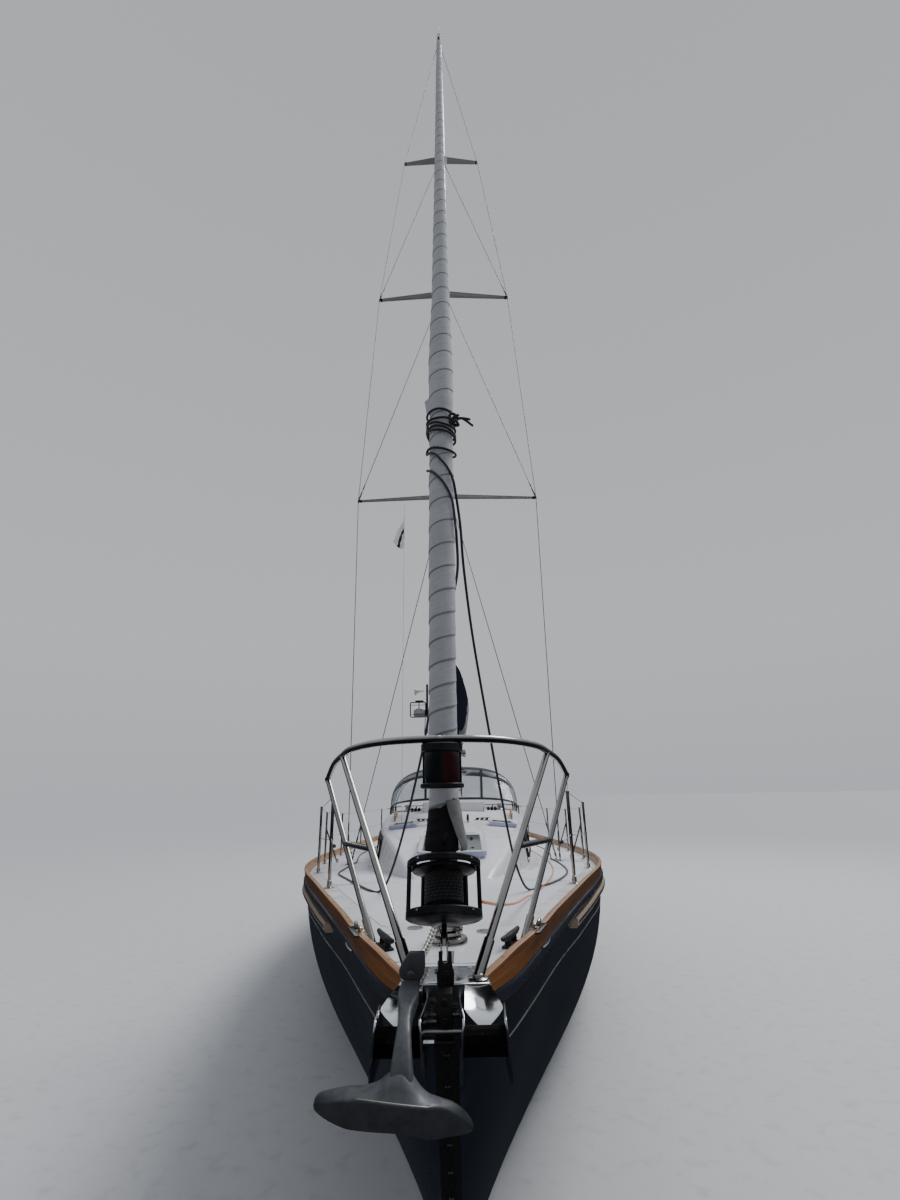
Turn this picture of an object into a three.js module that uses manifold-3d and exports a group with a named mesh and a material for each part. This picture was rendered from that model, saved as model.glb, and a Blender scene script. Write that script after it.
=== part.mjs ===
// Sailing yacht, a masthead sloop of about 12.5 m on deck, afloat with her genoa furled.
// Millimetres. X points to port, Y aft and Z up. Inside the boat group Y is the station: the
// distance aft of the bow platform's front edge. The group moves the origin amidships, at the waterline.
import * as THREE from 'three';
import { mergeVertices } from 'three/addons/utils/BufferGeometryUtils.js';
import Module from 'manifold-3d';

const wasm = await Module();
wasm.setup();

const MIDSHIP_STATION = 6400;
const SEAT_GAP = 0.3;

// Hull: station, half beam at the deck, deck height, bottom height, bilge fullness, turn of bilge, bow flare.
const HULL_SECTIONS = [
  [60, 118, 1510, 1425, 1.0, 1.0, 0],
  [300, 219, 1490, 1150, 1.0, 1.0, 0],
  [1000, 460, 1481, 330, 1.0, 1.0, 0],
  [1900, 768, 1463, -230, 1.15, 1.05, 25],
  [2900, 1092, 1422, -420, 1.75, 1.25, 75],
  [4000, 1390, 1352, -510, 2.2, 1.45, 40],
  [5200, 1645, 1282, -550, 2.6, 1.6, 10],
  [6500, 1830, 1222, -555, 2.9, 1.75, 0],
  [8000, 1910, 1175, -500, 3.0, 1.8, 0],
  [9500, 1870, 1155, -370, 2.9, 1.8, 0],
  [11000, 1690, 1170, -170, 2.7, 1.8, 0],
  [12450, 1400, 1205, 60, 2.5, 1.8, 0],
];
const FLARE_POWER = 8;
const HULL_ANGLES = [0, 5, 11, 20, 31, 43, 55, 67, 79];
const HULL_STATION_COUNT = 26;
const DECK_CROWN = 0.03;
const TRANSOM_RAKE = 0.2;
const STEM_STATION = 60;
const TRANSOM_STATION = 12450;

// Coachroof: station, half width at the deck, half width at the roof, roof edge height, roof crown.
const ROOF_SECTIONS = [
  [2740, 300, 262, 1415, 6],
  [2960, 400, 345, 1505, 14],
  [3150, 470, 405, 1545, 20],
  [3700, 620, 550, 1642, 28],
  [4300, 760, 688, 1684, 38],
  [5200, 900, 828, 1704, 44],
  [6400, 1030, 955, 1745, 52],
  [7500, 1090, 1015, 1775, 55],
  [8600, 1120, 1045, 1800, 58],
];
const ROOF_FRONT = 2740;
const ROOF_BACK = 8600;
const ROOF_WALL = 40;
const WINDOW_BOTTOM = 1440;
const WINDOW_TOP = 1620;
const WINDOW_SPANS = [[4500, 5400], [5600, 6650], [6850, 7900]];
const PANE_THICK = 8;

const COCKPIT = { front: 8780, back: 11800, half: 400, wheelFront: 10760, wheelHalf: 620, floor: 600 };
const TUB = { front: 8700, back: 11860, half: 930, bottom: 555 };
const LOCKER = { front: 9250, back: 10600, inner: 450, outer: 900, depth: 420, ledge: 40, lid: 32 };
const CABIN = { front: 3060, step: 4300, back: 8480, frontHalf: 330, half: 700, frontFloor: 640, floor: 60 };
const ENGINE = { front: 8540, back: 9420, half: 290, bottom: -290, top: 330 };
const COAMING = { front: 8625, back: 12080, inner: 960, outer: 1170, top: 1492, sternWidth: 130 };

const MAST = { base: 5130, head: 5310, foot: 1764, top: 16560, long: 105, wide: 72 };
const SPREADERS = [
  { name: 'lower_spreaders', height: 6030, reach: 1282, sweep: 155 },
  { name: 'middle_spreaders', height: 9800, reach: 1065, sweep: 125 },
  { name: 'upper_spreaders', height: 13050, reach: 674, sweep: 80 },
];
const CHAINPLATE = { half: 1255, cap: 5440, lower: 5720 };
const STAY = { footStation: 30, footHeight: 1575, headHeight: 16440 };
const WIRE_RADIUS = 5;
const SHROUD_RADIUS = 5;
const DRUM = { bottom: 1698, top: 1852, radius: 117, spool: 62, neck: 40, neckRise: 45 };
const GENOA_TOP = 16050;
const WAND_HEIGHT = 500;
const GOOSENECK = { height: 2760, reach: 170 };
const BOOM = { back: 9750, radius: 62 };

const PULPIT = { front: 30, top: 2225, radius: 12.5 };
const STANCHIONS = [2560, 4300, 6050, 7800, 9500, 11050];
const STANCHION_HEIGHT = 625;

const PROPELLER = { station: 10940, height: -500, radius: 205, shaftTilt: 0.185 };
const RUDDER = { axis: 11730, front: 11590, top: -150, bottom: -1560, topChord: 600, bottomChord: 430 };
const KEEL = { bottom: -1950, rootFront: 4700, rootBack: 7250, tipFront: 5350, tipBack: 7200 };
const WHEEL = { station: 11120, height: 1330, radius: 430 };

const paint = (color, roughness, metalness) => new THREE.MeshStandardMaterial({ color, roughness, metalness });
const MATERIALS = {
  navy: paint(0x0b1020, 0.12, 0.0),
  deck: paint(0xe6e6e2, 0.5, 0.0),
  teak: paint(0x9a6130, 0.6, 0.0),
  steel: paint(0xb9bcc0, 0.25, 1.0),
  galvanised: paint(0x8b8f92, 0.55, 0.8),
  alloy: paint(0xd9dadb, 0.4, 0.7),
  black: paint(0x141416, 0.5, 0.0),
  sail: paint(0xd9dadd, 0.85, 0.0),
  canvas: paint(0x141a2c, 0.9, 0.0),
  smoked: paint(0x1c2630, 0.1, 0.0),
  antifoul: paint(0x1c2a4a, 0.8, 0.0),
  bronze: paint(0x8c6a35, 0.4, 0.9),
};

// Reads a row of a station table by smooth interpolation between its rows.
function rowAt(table, station) {
  let k = 0;
  while (k < table.length - 2 && station > table[k + 1][0]) k += 1;
  const before = table[Math.max(k - 1, 0)];
  const a = table[k];
  const b = table[k + 1];
  const after = table[Math.min(k + 2, table.length - 1)];
  const span = b[0] - a[0];
  const t = Math.min(Math.max((station - a[0]) / span, 0), 1);
  const slope = (p, q, i) => (q[i] - p[i]) / (q[0] - p[0]);
  return a.map((value, i) => {
    if (i === 0) return station;
    const mid = slope(a, b, i);
    const start = k === 0 ? mid : (slope(before, a, i) + mid) / 2;
    const end = k + 2 === table.length ? mid : (mid + slope(b, after, i)) / 2;
    const t2 = t * t;
    const t3 = t2 * t;
    return value * (2 * t3 - 3 * t2 + 1) + b[i] * (3 * t2 - 2 * t3)
      + span * (start * (t3 - 2 * t2 + t) + end * (t3 - t2));
  });
}

const hullRow = (station) => rowAt(HULL_SECTIONS, station);
const range = (count) => Array.from({ length: count }, (_, i) => i);
const spread = (from, to, count) => range(count).map((i) => from + ((to - from) * i) / (count - 1));

// Half breadth of the hull's side at a height; the flare adds breadth close under the deck.
function hullHalf(station, height) {
  const [, beam, deck, keel, full, turn, flare] = hullRow(station);
  const depth = Math.min(Math.max((deck - height) / (deck - keel), 0), 1);
  return (beam - flare) * (1 - depth ** full) ** (1 / turn) + flare * (1 - depth) ** FLARE_POWER;
}

// Height of the crowned deck.
function deckHeight(station, x = 0) {
  const [, beam, deck] = hullRow(station);
  return deck + DECK_CROWN * beam * (1 - (x / beam) ** 2);
}

function outward(geometry) {
  const solid = geometry.index ? geometry : mergeVertices(geometry);
  const position = solid.attributes.position;
  const index = solid.index.array;
  const [a, b, c] = [new THREE.Vector3(), new THREE.Vector3(), new THREE.Vector3()];
  let volume = 0;
  for (let i = 0; i < index.length; i += 3) {
    a.fromBufferAttribute(position, index[i]);
    b.fromBufferAttribute(position, index[i + 1]);
    c.fromBufferAttribute(position, index[i + 2]);
    volume += a.dot(b.cross(c));
  }
  if (volume < 0) {
    for (let i = 0; i < index.length; i += 3) [index[i], index[i + 1]] = [index[i + 1], index[i]];
  }
  return solid;
}

function solidOf(geometry) {
  let bare = geometry.clone();
  bare.deleteAttribute('normal');
  bare.deleteAttribute('uv');
  bare = outward(mergeVertices(bare, 1e-3));
  return new wasm.Manifold(new wasm.Mesh({
    numProp: 3,
    vertProperties: new Float32Array(bare.attributes.position.array),
    triVerts: new Uint32Array(bare.index.array),
  }));
}

function geometryOf(solid) {
  const mesh = solid.getMesh();
  const geometry = new THREE.BufferGeometry();
  const positions = new Float32Array(mesh.numVert * 3);
  for (const i of range(mesh.numVert)) {
    for (const j of range(3)) positions[i * 3 + j] = mesh.vertProperties[i * mesh.numProp + j];
  }
  geometry.setAttribute('position', new THREE.BufferAttribute(positions, 3));
  geometry.setIndex(new THREE.BufferAttribute(new Uint32Array(mesh.triVerts), 1));
  return geometry;
}

const join = (...solids) => solids.flat().reduce((whole, next) => whole.add(next));
const cut = (whole, ...tools) => tools.flat().reduce((rest, tool) => rest.subtract(tool), whole);
const moved = (solid, x, y, z) => solid.translate([x, y, z]);
const mirrored = (solid) => solid.mirror([1, 0, 0]);

function box(x0, x1, y0, y1, z0, z1) {
  const geometry = new THREE.BoxGeometry(x1 - x0, y1 - y0, z1 - z0);
  geometry.translate((x0 + x1) / 2, (y0 + y1) / 2, (z0 + z1) / 2);
  return solidOf(geometry);
}

// A box centred on a point and tilted about X, then turned about Z.
function slab(centre, size, tilt = 0, turn = 0) {
  const geometry = new THREE.BoxGeometry(...size);
  geometry.rotateX(tilt);
  geometry.rotateZ(turn);
  geometry.translate(...centre);
  return solidOf(geometry);
}

function rod(from, to, radius, sides = 8, endRadius = radius) {
  const start = new THREE.Vector3(...from);
  const along = new THREE.Vector3(...to).sub(start);
  const geometry = new THREE.CylinderGeometry(endRadius, radius, along.length(), sides);
  const up = new THREE.Vector3(0, 1, 0);
  geometry.applyQuaternion(new THREE.Quaternion().setFromUnitVectors(up, along.clone().normalize()));
  geometry.translate(...start.addScaledVector(along, 0.5).toArray());
  return solidOf(geometry);
}

function tube(points, radius, sides = 8, steps = 24) {
  const path = new THREE.CatmullRomCurve3(points.map((p) => new THREE.Vector3(...p)), false, 'centripetal');
  const shape = new THREE.Shape(range(sides).map((i) => {
    const angle = (i * 2 * Math.PI) / sides;
    return new THREE.Vector2(radius * Math.cos(angle), radius * Math.sin(angle));
  }));
  return solidOf(new THREE.ExtrudeGeometry(shape, { extrudePath: path, steps, bevelEnabled: false }));
}

// A turned piece: profile rows are radius, height. It stands on Z at the centre, then tilts about X.
function turned(centre, profile, sides = 16, tilt = 0) {
  const geometry = new THREE.LatheGeometry(profile.map(([r, z]) => new THREE.Vector2(r, z)), sides);
  geometry.rotateX(Math.PI / 2 + tilt);
  geometry.translate(...centre);
  return solidOf(geometry);
}

// Skin through closed rings of equal length, capped at both ends. A band's ring runs along its
// outside and back along its inside, so its caps join opposite points.
function loft(rings, band = false) {
  const size = rings[0].length;
  const positions = rings.flat(2);
  const index = [];
  for (const r of range(rings.length - 1)) {
    for (const i of range(size)) {
      const a = r * size + i;
      const b = r * size + ((i + 1) % size);
      // Port and starboard quads split along mirrored diagonals.
      if (rings[r][i][0] + rings[r][(i + 1) % size][0] < 0) index.push(a, b, a + size, b, b + size, a + size);
      else index.push(a, b, b + size, a, b + size, a + size);
    }
  }
  const last = (rings.length - 1) * size;
  for (const [ring, base, turn] of [[rings[0], 0, 1], [rings.at(-1), last, 0]]) {
    const face = (p, q, r) => index.push(...(turn ? [q, p, r] : [p, q, r]));
    if (band) {
      for (const i of range(size / 2 - 1)) {
        const [a, b, c, d] = [i, i + 1, size - 2 - i, size - 1 - i].map((k) => base + k);
        face(a, b, c);
        face(a, c, d);
      }
    } else {
      const middle = positions.length / 3;
      positions.push(...[0, 1, 2].map((axis) => ring.reduce((sum, p) => sum + p[axis], 0) / size));
      for (const i of range(size)) face(base + i, base + ((i + 1) % size), middle);
    }
  }
  const geometry = new THREE.BufferGeometry();
  geometry.setAttribute('position', new THREE.BufferAttribute(new Float32Array(positions), 3));
  geometry.setIndex(index);
  return solidOf(geometry);
}

// A bar of rectangular section that follows the stations; corners(station) gives its corner points.
const rail = (from, to, count, corners) => loft(spread(from, to, count).map((s) => (
  corners(s).map(([x, z]) => [x, s, z])
)));

// Hull

function hullRing(station) {
  const [, beam, deck, keel, full] = hullRow(station);
  const aft = station === TRANSOM_STATION ? TRANSOM_RAKE : 0;
  const side = HULL_ANGLES.map((degrees) => {
    const depth = Math.sin(THREE.MathUtils.degToRad(degrees)) ** (2 / full);
    const z = deck - depth * (deck - keel);
    return [hullHalf(station, z), z];
  });
  const section = [
    ...side,
    [0, keel],
    ...side.toReversed().map(([x, z]) => [-x, z]),
    ...[-0.5, 0, 0.5].map((part) => [part * beam, deckHeight(station, part * beam)]),
  ];
  return section.map(([x, z]) => [x, station + aft * (deck - z), z]);
}

const bareHull = loft([...spread(STEM_STATION, TRANSOM_STATION, HULL_STATION_COUNT)].map((s) => hullRing(s)));

function seatedOnDeck(solid) {
  return cut(solid, moved(bareHull, 0, 0, SEAT_GAP));
}

// Trims a port side piece that also laps the topsides.
function seatedOnSide(solid) {
  return cut(solid, moved(bareHull, 0, 0, SEAT_GAP), moved(bareHull, SEAT_GAP, 0, 0));
}

function lockerSpace(side, margin = 0) {
  const top = deckHeight(LOCKER.front, LOCKER.inner) + 40;
  const ledge = deckHeight(LOCKER.front, LOCKER.outer) - LOCKER.lid - 6;
  const lidSpace = box(LOCKER.inner - margin, LOCKER.outer + margin, LOCKER.front - margin,
    LOCKER.back + margin, ledge, top);
  const { inner, outer, front, back, ledge: rim, depth } = LOCKER;
  const bin = box(inner + rim, outer - rim, front + rim, back - rim, ledge - depth, ledge + 10);
  const space = join(lidSpace, bin);
  return side < 0 ? mirrored(space) : space;
}

function shaftPoint(station) {
  return [0, station, PROPELLER.height + (PROPELLER.station - station) * PROPELLER.shaftTilt];
}

function hull() {
  const open = 1700;
  const cabin = join(
    box(-CABIN.frontHalf, CABIN.frontHalf, CABIN.front, CABIN.step + 1, CABIN.frontFloor, open),
    box(-CABIN.half, CABIN.half, CABIN.step, CABIN.back, CABIN.floor, open),
  );
  const engineRoom = box(-ENGINE.half - 60, ENGINE.half + 60, CABIN.back - 300, ENGINE.back + 40,
    ENGINE.bottom - SEAT_GAP, ENGINE.top + 60);
  const shaftBore = rod(shaftPoint(ENGINE.back), shaftPoint(10300), 26, 12);
  const stockBore = rod([0, RUDDER.axis, -300], [0, RUDDER.axis, 320], 37.3, 16);
  return cut(bareHull, cabin, engineRoom, tubSpace(0), shaftBore, stockBore);
}

// The recess in the hull for the cockpit moulding.
const tubSpace = (inset) => box(-TUB.half + inset, TUB.half - inset, TUB.front + inset, TUB.back - inset,
  TUB.bottom + inset, TUB.bottom + 2000);

// The cockpit moulding: seats, well and lockers, level with the side decks.
function cockpitTub() {
  const open = 1700;
  const well = join(
    box(-COCKPIT.half, COCKPIT.half, COCKPIT.front, COCKPIT.back, COCKPIT.floor, open),
    box(-COCKPIT.wheelHalf, COCKPIT.wheelHalf, COCKPIT.wheelFront, COCKPIT.back, COCKPIT.floor, open),
  );
  return cut(bareHull.intersect(tubSpace(SEAT_GAP)), well, lockerSpace(1), lockerSpace(-1));
}

const TOE_RAIL = { front: STEM_STATION + 8, height: 85, wide: 42, top: 30, lap: 2, taper: 260, leanTaper: 700 };
const RUB_RAIL = { front: 1500, back: TRANSOM_STATION - 60, below: 118, half: 26, proud: 38, sunk: 30 };

// Slope of the topsides just under the deck edge.
const sideSlope = (s) => (hullHalf(s, hullRow(s)[2]) - hullHalf(s, hullRow(s)[2] - 100)) / 100;

// The toe rail tapers to the platform at its front end and leans out with the topsides.
function toeRail() {
  const bar = rail(TOE_RAIL.front, TRANSOM_STATION - 30, 26, (s) => {
    const [, beam, deck] = hullRow(s);
    const rise = Math.min((s - TOE_RAIL.front) / TOE_RAIL.taper, 1);
    const height = TOE_RAIL.height * (0.47 + 0.53 * rise);
    const lean = sideSlope(s) * Math.min((s - TOE_RAIL.front) / TOE_RAIL.leanTaper, 1);
    const [low, outer] = [beam + TOE_RAIL.lap, beam + TOE_RAIL.lap + height * lean];
    return [[beam - TOE_RAIL.wide, deck - 6], [low, deck - 6], [outer, deck + height],
      [outer - TOE_RAIL.top, deck + height]];
  });
  return seatedOnSide(bar);
}

function rubRail() {
  const { front, back, below, half, proud, sunk } = RUB_RAIL;
  const bar = rail(front, back, 24, (s) => {
    const height = hullRow(s)[2] - below;
    const face = hullHalf(s, height);
    return [[face - sunk, height - half], [face + proud * 0.7, height - half], [face + proud, height - half * 0.5],
      [face + proud, height + half * 0.5], [face + proud * 0.7, height + half], [face - sunk, height + half]];
  });
  return seatedOnSide(bar);
}

function foil(front, back, thick, z, points = 9) {
  const side = range(points).map((i) => {
    const along = (1 - Math.cos((i * Math.PI) / (points - 1))) / 2;
    const half = 2.6 * thick * (Math.sqrt(along) - along) * (1 - 0.35 * along);
    return [Math.max(half, 2), front + along * (back - front), z];
  });
  return [...side, ...side.toReversed().map(([x, y]) => [-x, y, z])];
}

function keel() {
  const fin = loft([
    foil(KEEL.rootFront, KEEL.rootBack, 260, -380),
    foil(KEEL.rootFront + 120, KEEL.rootBack, 250, -700),
    foil(KEEL.tipFront - 60, KEEL.tipBack, 230, KEEL.bottom + 300),
    foil(KEEL.tipFront, KEEL.tipBack + 40, 300, KEEL.bottom + 150),
    foil(KEEL.tipFront + 20, KEEL.tipBack + 40, 290, KEEL.bottom),
  ]);
  return cut(fin, moved(bareHull, 0, 0, -SEAT_GAP));
}

function rudder() {
  const blade = loft([
    foil(RUDDER.front, RUDDER.front + RUDDER.topChord, 105, RUDDER.top),
    foil(RUDDER.front + 40, RUDDER.front + 40 + RUDDER.bottomChord, 70, RUDDER.bottom),
  ]);
  return join(blade, rod([0, RUDDER.axis, RUDDER.top - 200], [0, RUDDER.axis, 300], 36.5, 16));
}

function propeller() {
  const [centre, tail] = [shaftPoint(PROPELLER.station), shaftPoint(PROPELLER.station + 75)];
  const shaft = rod(shaftPoint(ENGINE.back + 3), centre, 15, 12);
  const hub = rod(shaftPoint(PROPELLER.station - 45), tail, 34, 12, 18);
  const blades = range(3).map((i) => {
    const geometry = new THREE.BoxGeometry(74, 12, PROPELLER.radius - 22);
    geometry.translate(0, 0, PROPELLER.radius / 2 + 11);
    geometry.rotateZ(0.5);
    geometry.rotateY((i * 2 * Math.PI) / 3);
    geometry.rotateX(-Math.atan(PROPELLER.shaftTilt));
    geometry.translate(...centre);
    return solidOf(geometry);
  });
  return join(shaft, hub, blades);
}

function shaftStrut() {
  const station = PROPELLER.station - 130;
  const [from, to] = [shaftPoint(station - 60), shaftPoint(station + 60)];
  const leg = slab([0, station, shaftPoint(station)[2] + 170], [14, 80, 340]);
  const barrel = rod(from, to, 30, 16);
  const bore = rod(shaftPoint(station - 90), shaftPoint(station + 90), 16, 16);
  return cut(join(leg, barrel), bore, moved(bareHull, 0, 0, -SEAT_GAP));
}

// Coachroof

function roofLoft(grow, from = ROOF_FRONT, to = ROOF_BACK, drop = 60) {
  const shoulder = 62;
  return loft(spread(from, to, 14).map((s) => {
    const [, base, roof, edge, crown] = rowAt(ROOF_SECTIONS, s);
    const low = hullRow(s)[2] - drop;
    const arch = [1, 0.5, 0, -0.5, -1].map((part) => {
      const x = part * (roof - 45 + grow);
      return [x, edge + grow + crown * (1 - part ** 2)];
    });
    return [
      [base + grow, low], [roof + 12 + grow, edge - shoulder], [roof - 8 + grow, edge - 14 + grow], ...arch,
      [-roof + 8 - grow, edge - 14 + grow], [-roof - 12 - grow, edge - shoulder], [-base - grow, low],
    ].map(([x, z]) => [x, s, z]);
  }));
}

function roofHeight(station, x = 0) {
  const [, , roof, edge, crown] = rowAt(ROOF_SECTIONS, station);
  return edge + crown * (1 - (x / (roof - 45)) ** 2);
}

const HATCH = { front: 3150, length: 560, half: 275, lid: 26, tilt: Math.atan(105 / 550), rim: 18 };
const SIDE_HATCH = { front: 4740, length: 430, inner: 400, width: 300, lid: 26, rim: 18 };
const SLIDE = { half: 395, front: 7950, back: 8640, bottom: 1868, thick: 38, travel: 610, opening: 330 };
const GARAGE = { half: 460, front: 7120, back: 8010, top: 1948, wall: 24 };

function hatchFrame() {
  const middle = HATCH.front + HATCH.length / 2;
  const base = roofHeight(middle);
  return { middle, base };
}

// A slab lying in the forward hatch's plane; lift is measured square to the roof there.
function hatchSlab(half, length, low, high) {
  const { middle, base } = hatchFrame();
  const lift = (low + high) / 2;
  const centre = [0, middle - lift * Math.sin(HATCH.tilt), base + lift * Math.cos(HATCH.tilt)];
  return slab(centre, [half * 2, length, high - low], HATCH.tilt);
}

function sideHatchSlab(side, inset, low, high) {
  const middle = SIDE_HATCH.front + SIDE_HATCH.length / 2;
  const x = SIDE_HATCH.inner + SIDE_HATCH.width / 2;
  const centre = [side * x, middle, roofHeight(middle, x) + (low + high) / 2];
  const geometry = new THREE.BoxGeometry(SIDE_HATCH.width - inset, SIDE_HATCH.length - inset, high - low);
  geometry.rotateX(0.02);
  geometry.rotateY(side * 0.09);
  geometry.translate(...centre);
  return solidOf(geometry);
}

function coachroof() {
  const outer = roofLoft(0);
  const inner = roofLoft(-ROOF_WALL, ROOF_FRONT + 230, ROOF_BACK - ROOF_WALL, 200);
  const windows = WINDOW_SPANS.flatMap(([from, to]) => [-1, 1].map((side) => (
    slab([side * 1000, (from + to) / 2, (WINDOW_BOTTOM + WINDOW_TOP) / 2],
      [700, to - from, WINDOW_TOP - WINDOW_BOTTOM])
  )));
  const garage = cut(
    box(-GARAGE.half, GARAGE.half, GARAGE.front, GARAGE.back, roofHeight(GARAGE.front) - 60, GARAGE.top),
    box(-GARAGE.half + GARAGE.wall, GARAGE.half - GARAGE.wall, GARAGE.front + GARAGE.wall, GARAGE.back + 10,
      roofHeight(GARAGE.front) - 90, GARAGE.top - GARAGE.wall),
  );
  const runners = [-1, 1].map((side) => slab([side * 352, (GARAGE.front + ROOF_BACK) / 2 + 15, SLIDE.bottom - 40],
    [18, ROOF_BACK - GARAGE.front - 40, 80 - 2 * SEAT_GAP]));
  const rims = [hatchSlab(HATCH.half - 12, HATCH.length - 24, -60, HATCH.rim - SEAT_GAP),
    ...[-1, 1].map((side) => sideHatchSlab(side, 20, -30, SIDE_HATCH.rim - SEAT_GAP))];
  const doorway = box(-SLIDE.opening, SLIDE.opening, GARAGE.back - 10, ROOF_BACK + 50, 1300, 2200);
  const holes = [hatchSlab(HATCH.half - 45, HATCH.length - 90, -200, 200),
    ...[-1, 1].map((side) => sideHatchSlab(side, 80, -150, 100))];
  const mastStep = box(-110, 110, MAST.base - 150, MAST.base + 150, roofHeight(MAST.base) - 70, MAST.foot - SEAT_GAP);
  const shell = cut(join(outer, garage, runners, rims, mastStep), inner);
  const below = box(-700, 700, GARAGE.front + GARAGE.wall, GARAGE.back, 1500, roofHeight(GARAGE.front) - 20);
  return seatedOnDeck(cut(shell, windows, doorway, holes, below.intersect(inner)));
}

function windowPane() {
  const strip = box(500, 1300, WINDOW_SPANS[0][0] - 90, WINDOW_SPANS[2][1] + 90, WINDOW_BOTTOM - 50, WINDOW_TOP + 40);
  return cut(roofLoft(PANE_THICK + SEAT_GAP), roofLoft(SEAT_GAP)).intersect(strip);
}

function forwardHatch() {
  return hatchSlab(HATCH.half, HATCH.length, HATCH.rim, HATCH.rim + HATCH.lid);
}

const sideHatch = (side) => sideHatchSlab(side, 0, SIDE_HATCH.rim, SIDE_HATCH.rim + SIDE_HATCH.lid);

function companionwayHatch() {
  const lid = box(-SLIDE.half, SLIDE.half, SLIDE.front, SLIDE.back, SLIDE.bottom, SLIDE.bottom + SLIDE.thick);
  const grip = box(-120, 120, SLIDE.back - 30, SLIDE.back, SLIDE.bottom + SLIDE.thick - 1, SLIDE.bottom + SLIDE.thick + 20);
  return join(lid, grip);
}

function washboards() {
  return box(-SLIDE.opening - 18, SLIDE.opening + 18, ROOF_BACK + SEAT_GAP, ROOF_BACK + 22,
    deckHeight(ROOF_BACK, 0) + 12, SLIDE.bottom - 8);
}

function handrail() {
  const [from, to] = [5900, 7000];
  const height = 62;
  const x = (s) => rowAt(ROOF_SECTIONS, s)[2] - 160;
  const at = (s, lift) => [x(s), s, roofHeight(s, x(s)) + lift];
  const bar = tube(spread(from, to, 5).map((s) => at(s, height)), 17, 6, 8);
  const feet = spread(from + 60, to - 60, 4).map((s) => rod(at(s, -10), at(s, height), 15, 6));
  return cut(join(bar, feet), roofLoft(SEAT_GAP));
}

// Cockpit

function coamings() {
  const side = rail(COAMING.front, COAMING.back, 8, () => (
    [[COAMING.inner, 1100], [COAMING.outer, 1100], [COAMING.outer - 25, COAMING.top], [COAMING.inner + 15, COAMING.top]]
  ));
  const stern = box(-COAMING.inner - 20, COAMING.inner + 20, COAMING.back - COAMING.sternWidth, COAMING.back,
    1100, COAMING.top - 60);
  return seatedOnDeck(join(side, mirrored(side), stern));
}

function lockerLid(side) {
  const low = deckHeight(LOCKER.front, LOCKER.outer) - LOCKER.lid - 6 + SEAT_GAP;
  const lid = box(LOCKER.inner + 6, LOCKER.outer - 6, LOCKER.front + 6, LOCKER.back - 6, low, low + LOCKER.lid + 22);
  return side < 0 ? mirrored(lid) : lid;
}

function pedestal() {
  const [x, y] = [0, WHEEL.station - 175];
  const column = rod([x, y, COCKPIT.floor + SEAT_GAP], [x, y, WHEEL.height + 60], 75, 14, 62);
  const foot = rod([x, y, COCKPIT.floor + SEAT_GAP], [x, y, COCKPIT.floor + 30], 130, 14);
  const hub = rod([0, y, WHEEL.height], [0, WHEEL.station - 18.6, WHEEL.height], 42, 14);
  const bowl = turned([x, y, WHEEL.height + 58], [[0, 0], [85, 0], [85, 60], [55, 115], [0, 130]], 14);
  return join(column, foot, hub, bowl);
}

function steeringWheel() {
  const centre = [0, WHEEL.station, WHEEL.height];
  const rim = new THREE.TorusGeometry(WHEEL.radius, 13, 6, 24);
  rim.rotateX(Math.PI / 2);
  rim.translate(...centre);
  const spokes = range(6).map((i) => {
    const angle = (i * Math.PI) / 3 + Math.PI / 6;
    const reach = WHEEL.radius - 4;
    const tip = [reach * Math.cos(angle), WHEEL.station, WHEEL.height + reach * Math.sin(angle)];
    return rod(centre, tip, 7, 6);
  });
  return join(solidOf(rim), spokes, rod([0, WHEEL.station - 18, WHEEL.height], [0, WHEEL.station + 30, WHEEL.height], 36, 12));
}

function winch(side) {
  const x = side * (COAMING.inner + COAMING.outer) / 2;
  const profile = [[0, 0], [88, 0], [88, 22], [60, 40], [52, 90], [66, 128], [66, 150], [30, 158], [0, 158]];
  return turned([x, 10150, COAMING.top + SEAT_GAP], profile, 16);
}

function superArch(half, base, top, power, count) {
  return range(count).map((i) => {
    const angle = (Math.PI * i) / (count - 1);
    const [c, s] = [Math.cos(angle), Math.sin(angle)];
    return [Math.sign(c) * half * Math.abs(c) ** (2 / power), base + (top - base) * Math.abs(s) ** (2 / power)];
  });
}

// Dodger arches: station at the foot, station at the top, half width, foot height, top height.
const DODGER_ARCHES = [
  [8030, 8050, 1050, 1835, 1975],
  [8640, 8500, 1105, 1800, 2475],
  [8900, 8900, 1125, 1640, 2530],
  [9260, 9480, 1130, 1560, 2520],
];
const DODGER_POWER = 2.9;

function archPoints(row, grow, count) {
  const [footStation, topStation, half, foot, top] = row;
  return superArch(half + grow, foot, top + grow, DODGER_POWER, count).map(([x, z]) => (
    [x, footStation + ((topStation - footStation) * (z - foot)) / (top - foot), z]
  ));
}

function dodgerFrame(grow = 0) {
  const hoops = [DODGER_ARCHES[1], DODGER_ARCHES[3]].map((row) => archPoints(row, -27, 13));
  const foot = [1065, 9080, COAMING.top + SEAT_GAP];
  const hoopTubes = hoops.map((points) => {
    const ends = [[foot[0], foot[1], foot[2] + 14], [-foot[0], foot[1], foot[2] + 14]];
    return tube([ends[0], ...points, ends[1]], 12 + grow, 6, 30);
  });
  const shoes = [-1, 1].map((side) => box(side * foot[0] - 22, side * foot[0] + 22, foot[1] - 45, foot[1] + 45,
    foot[2], foot[2] + 26));
  return cut(join(hoopTubes, shoes), moved(roofLoft(0), 0, 0, SEAT_GAP));
}

function dodgerCanopy() {
  const skin = (row) => {
    const outside = archPoints(row, 0, 15);
    const inside = archPoints(row, -14, 15);
    return [...outside, ...inside.toReversed()];
  };
  const canopy = loft(DODGER_ARCHES.map(skin), true);
  return cut(canopy, dodgerFrame(0.6), roofLoft(3));
}

// Bow

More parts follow.
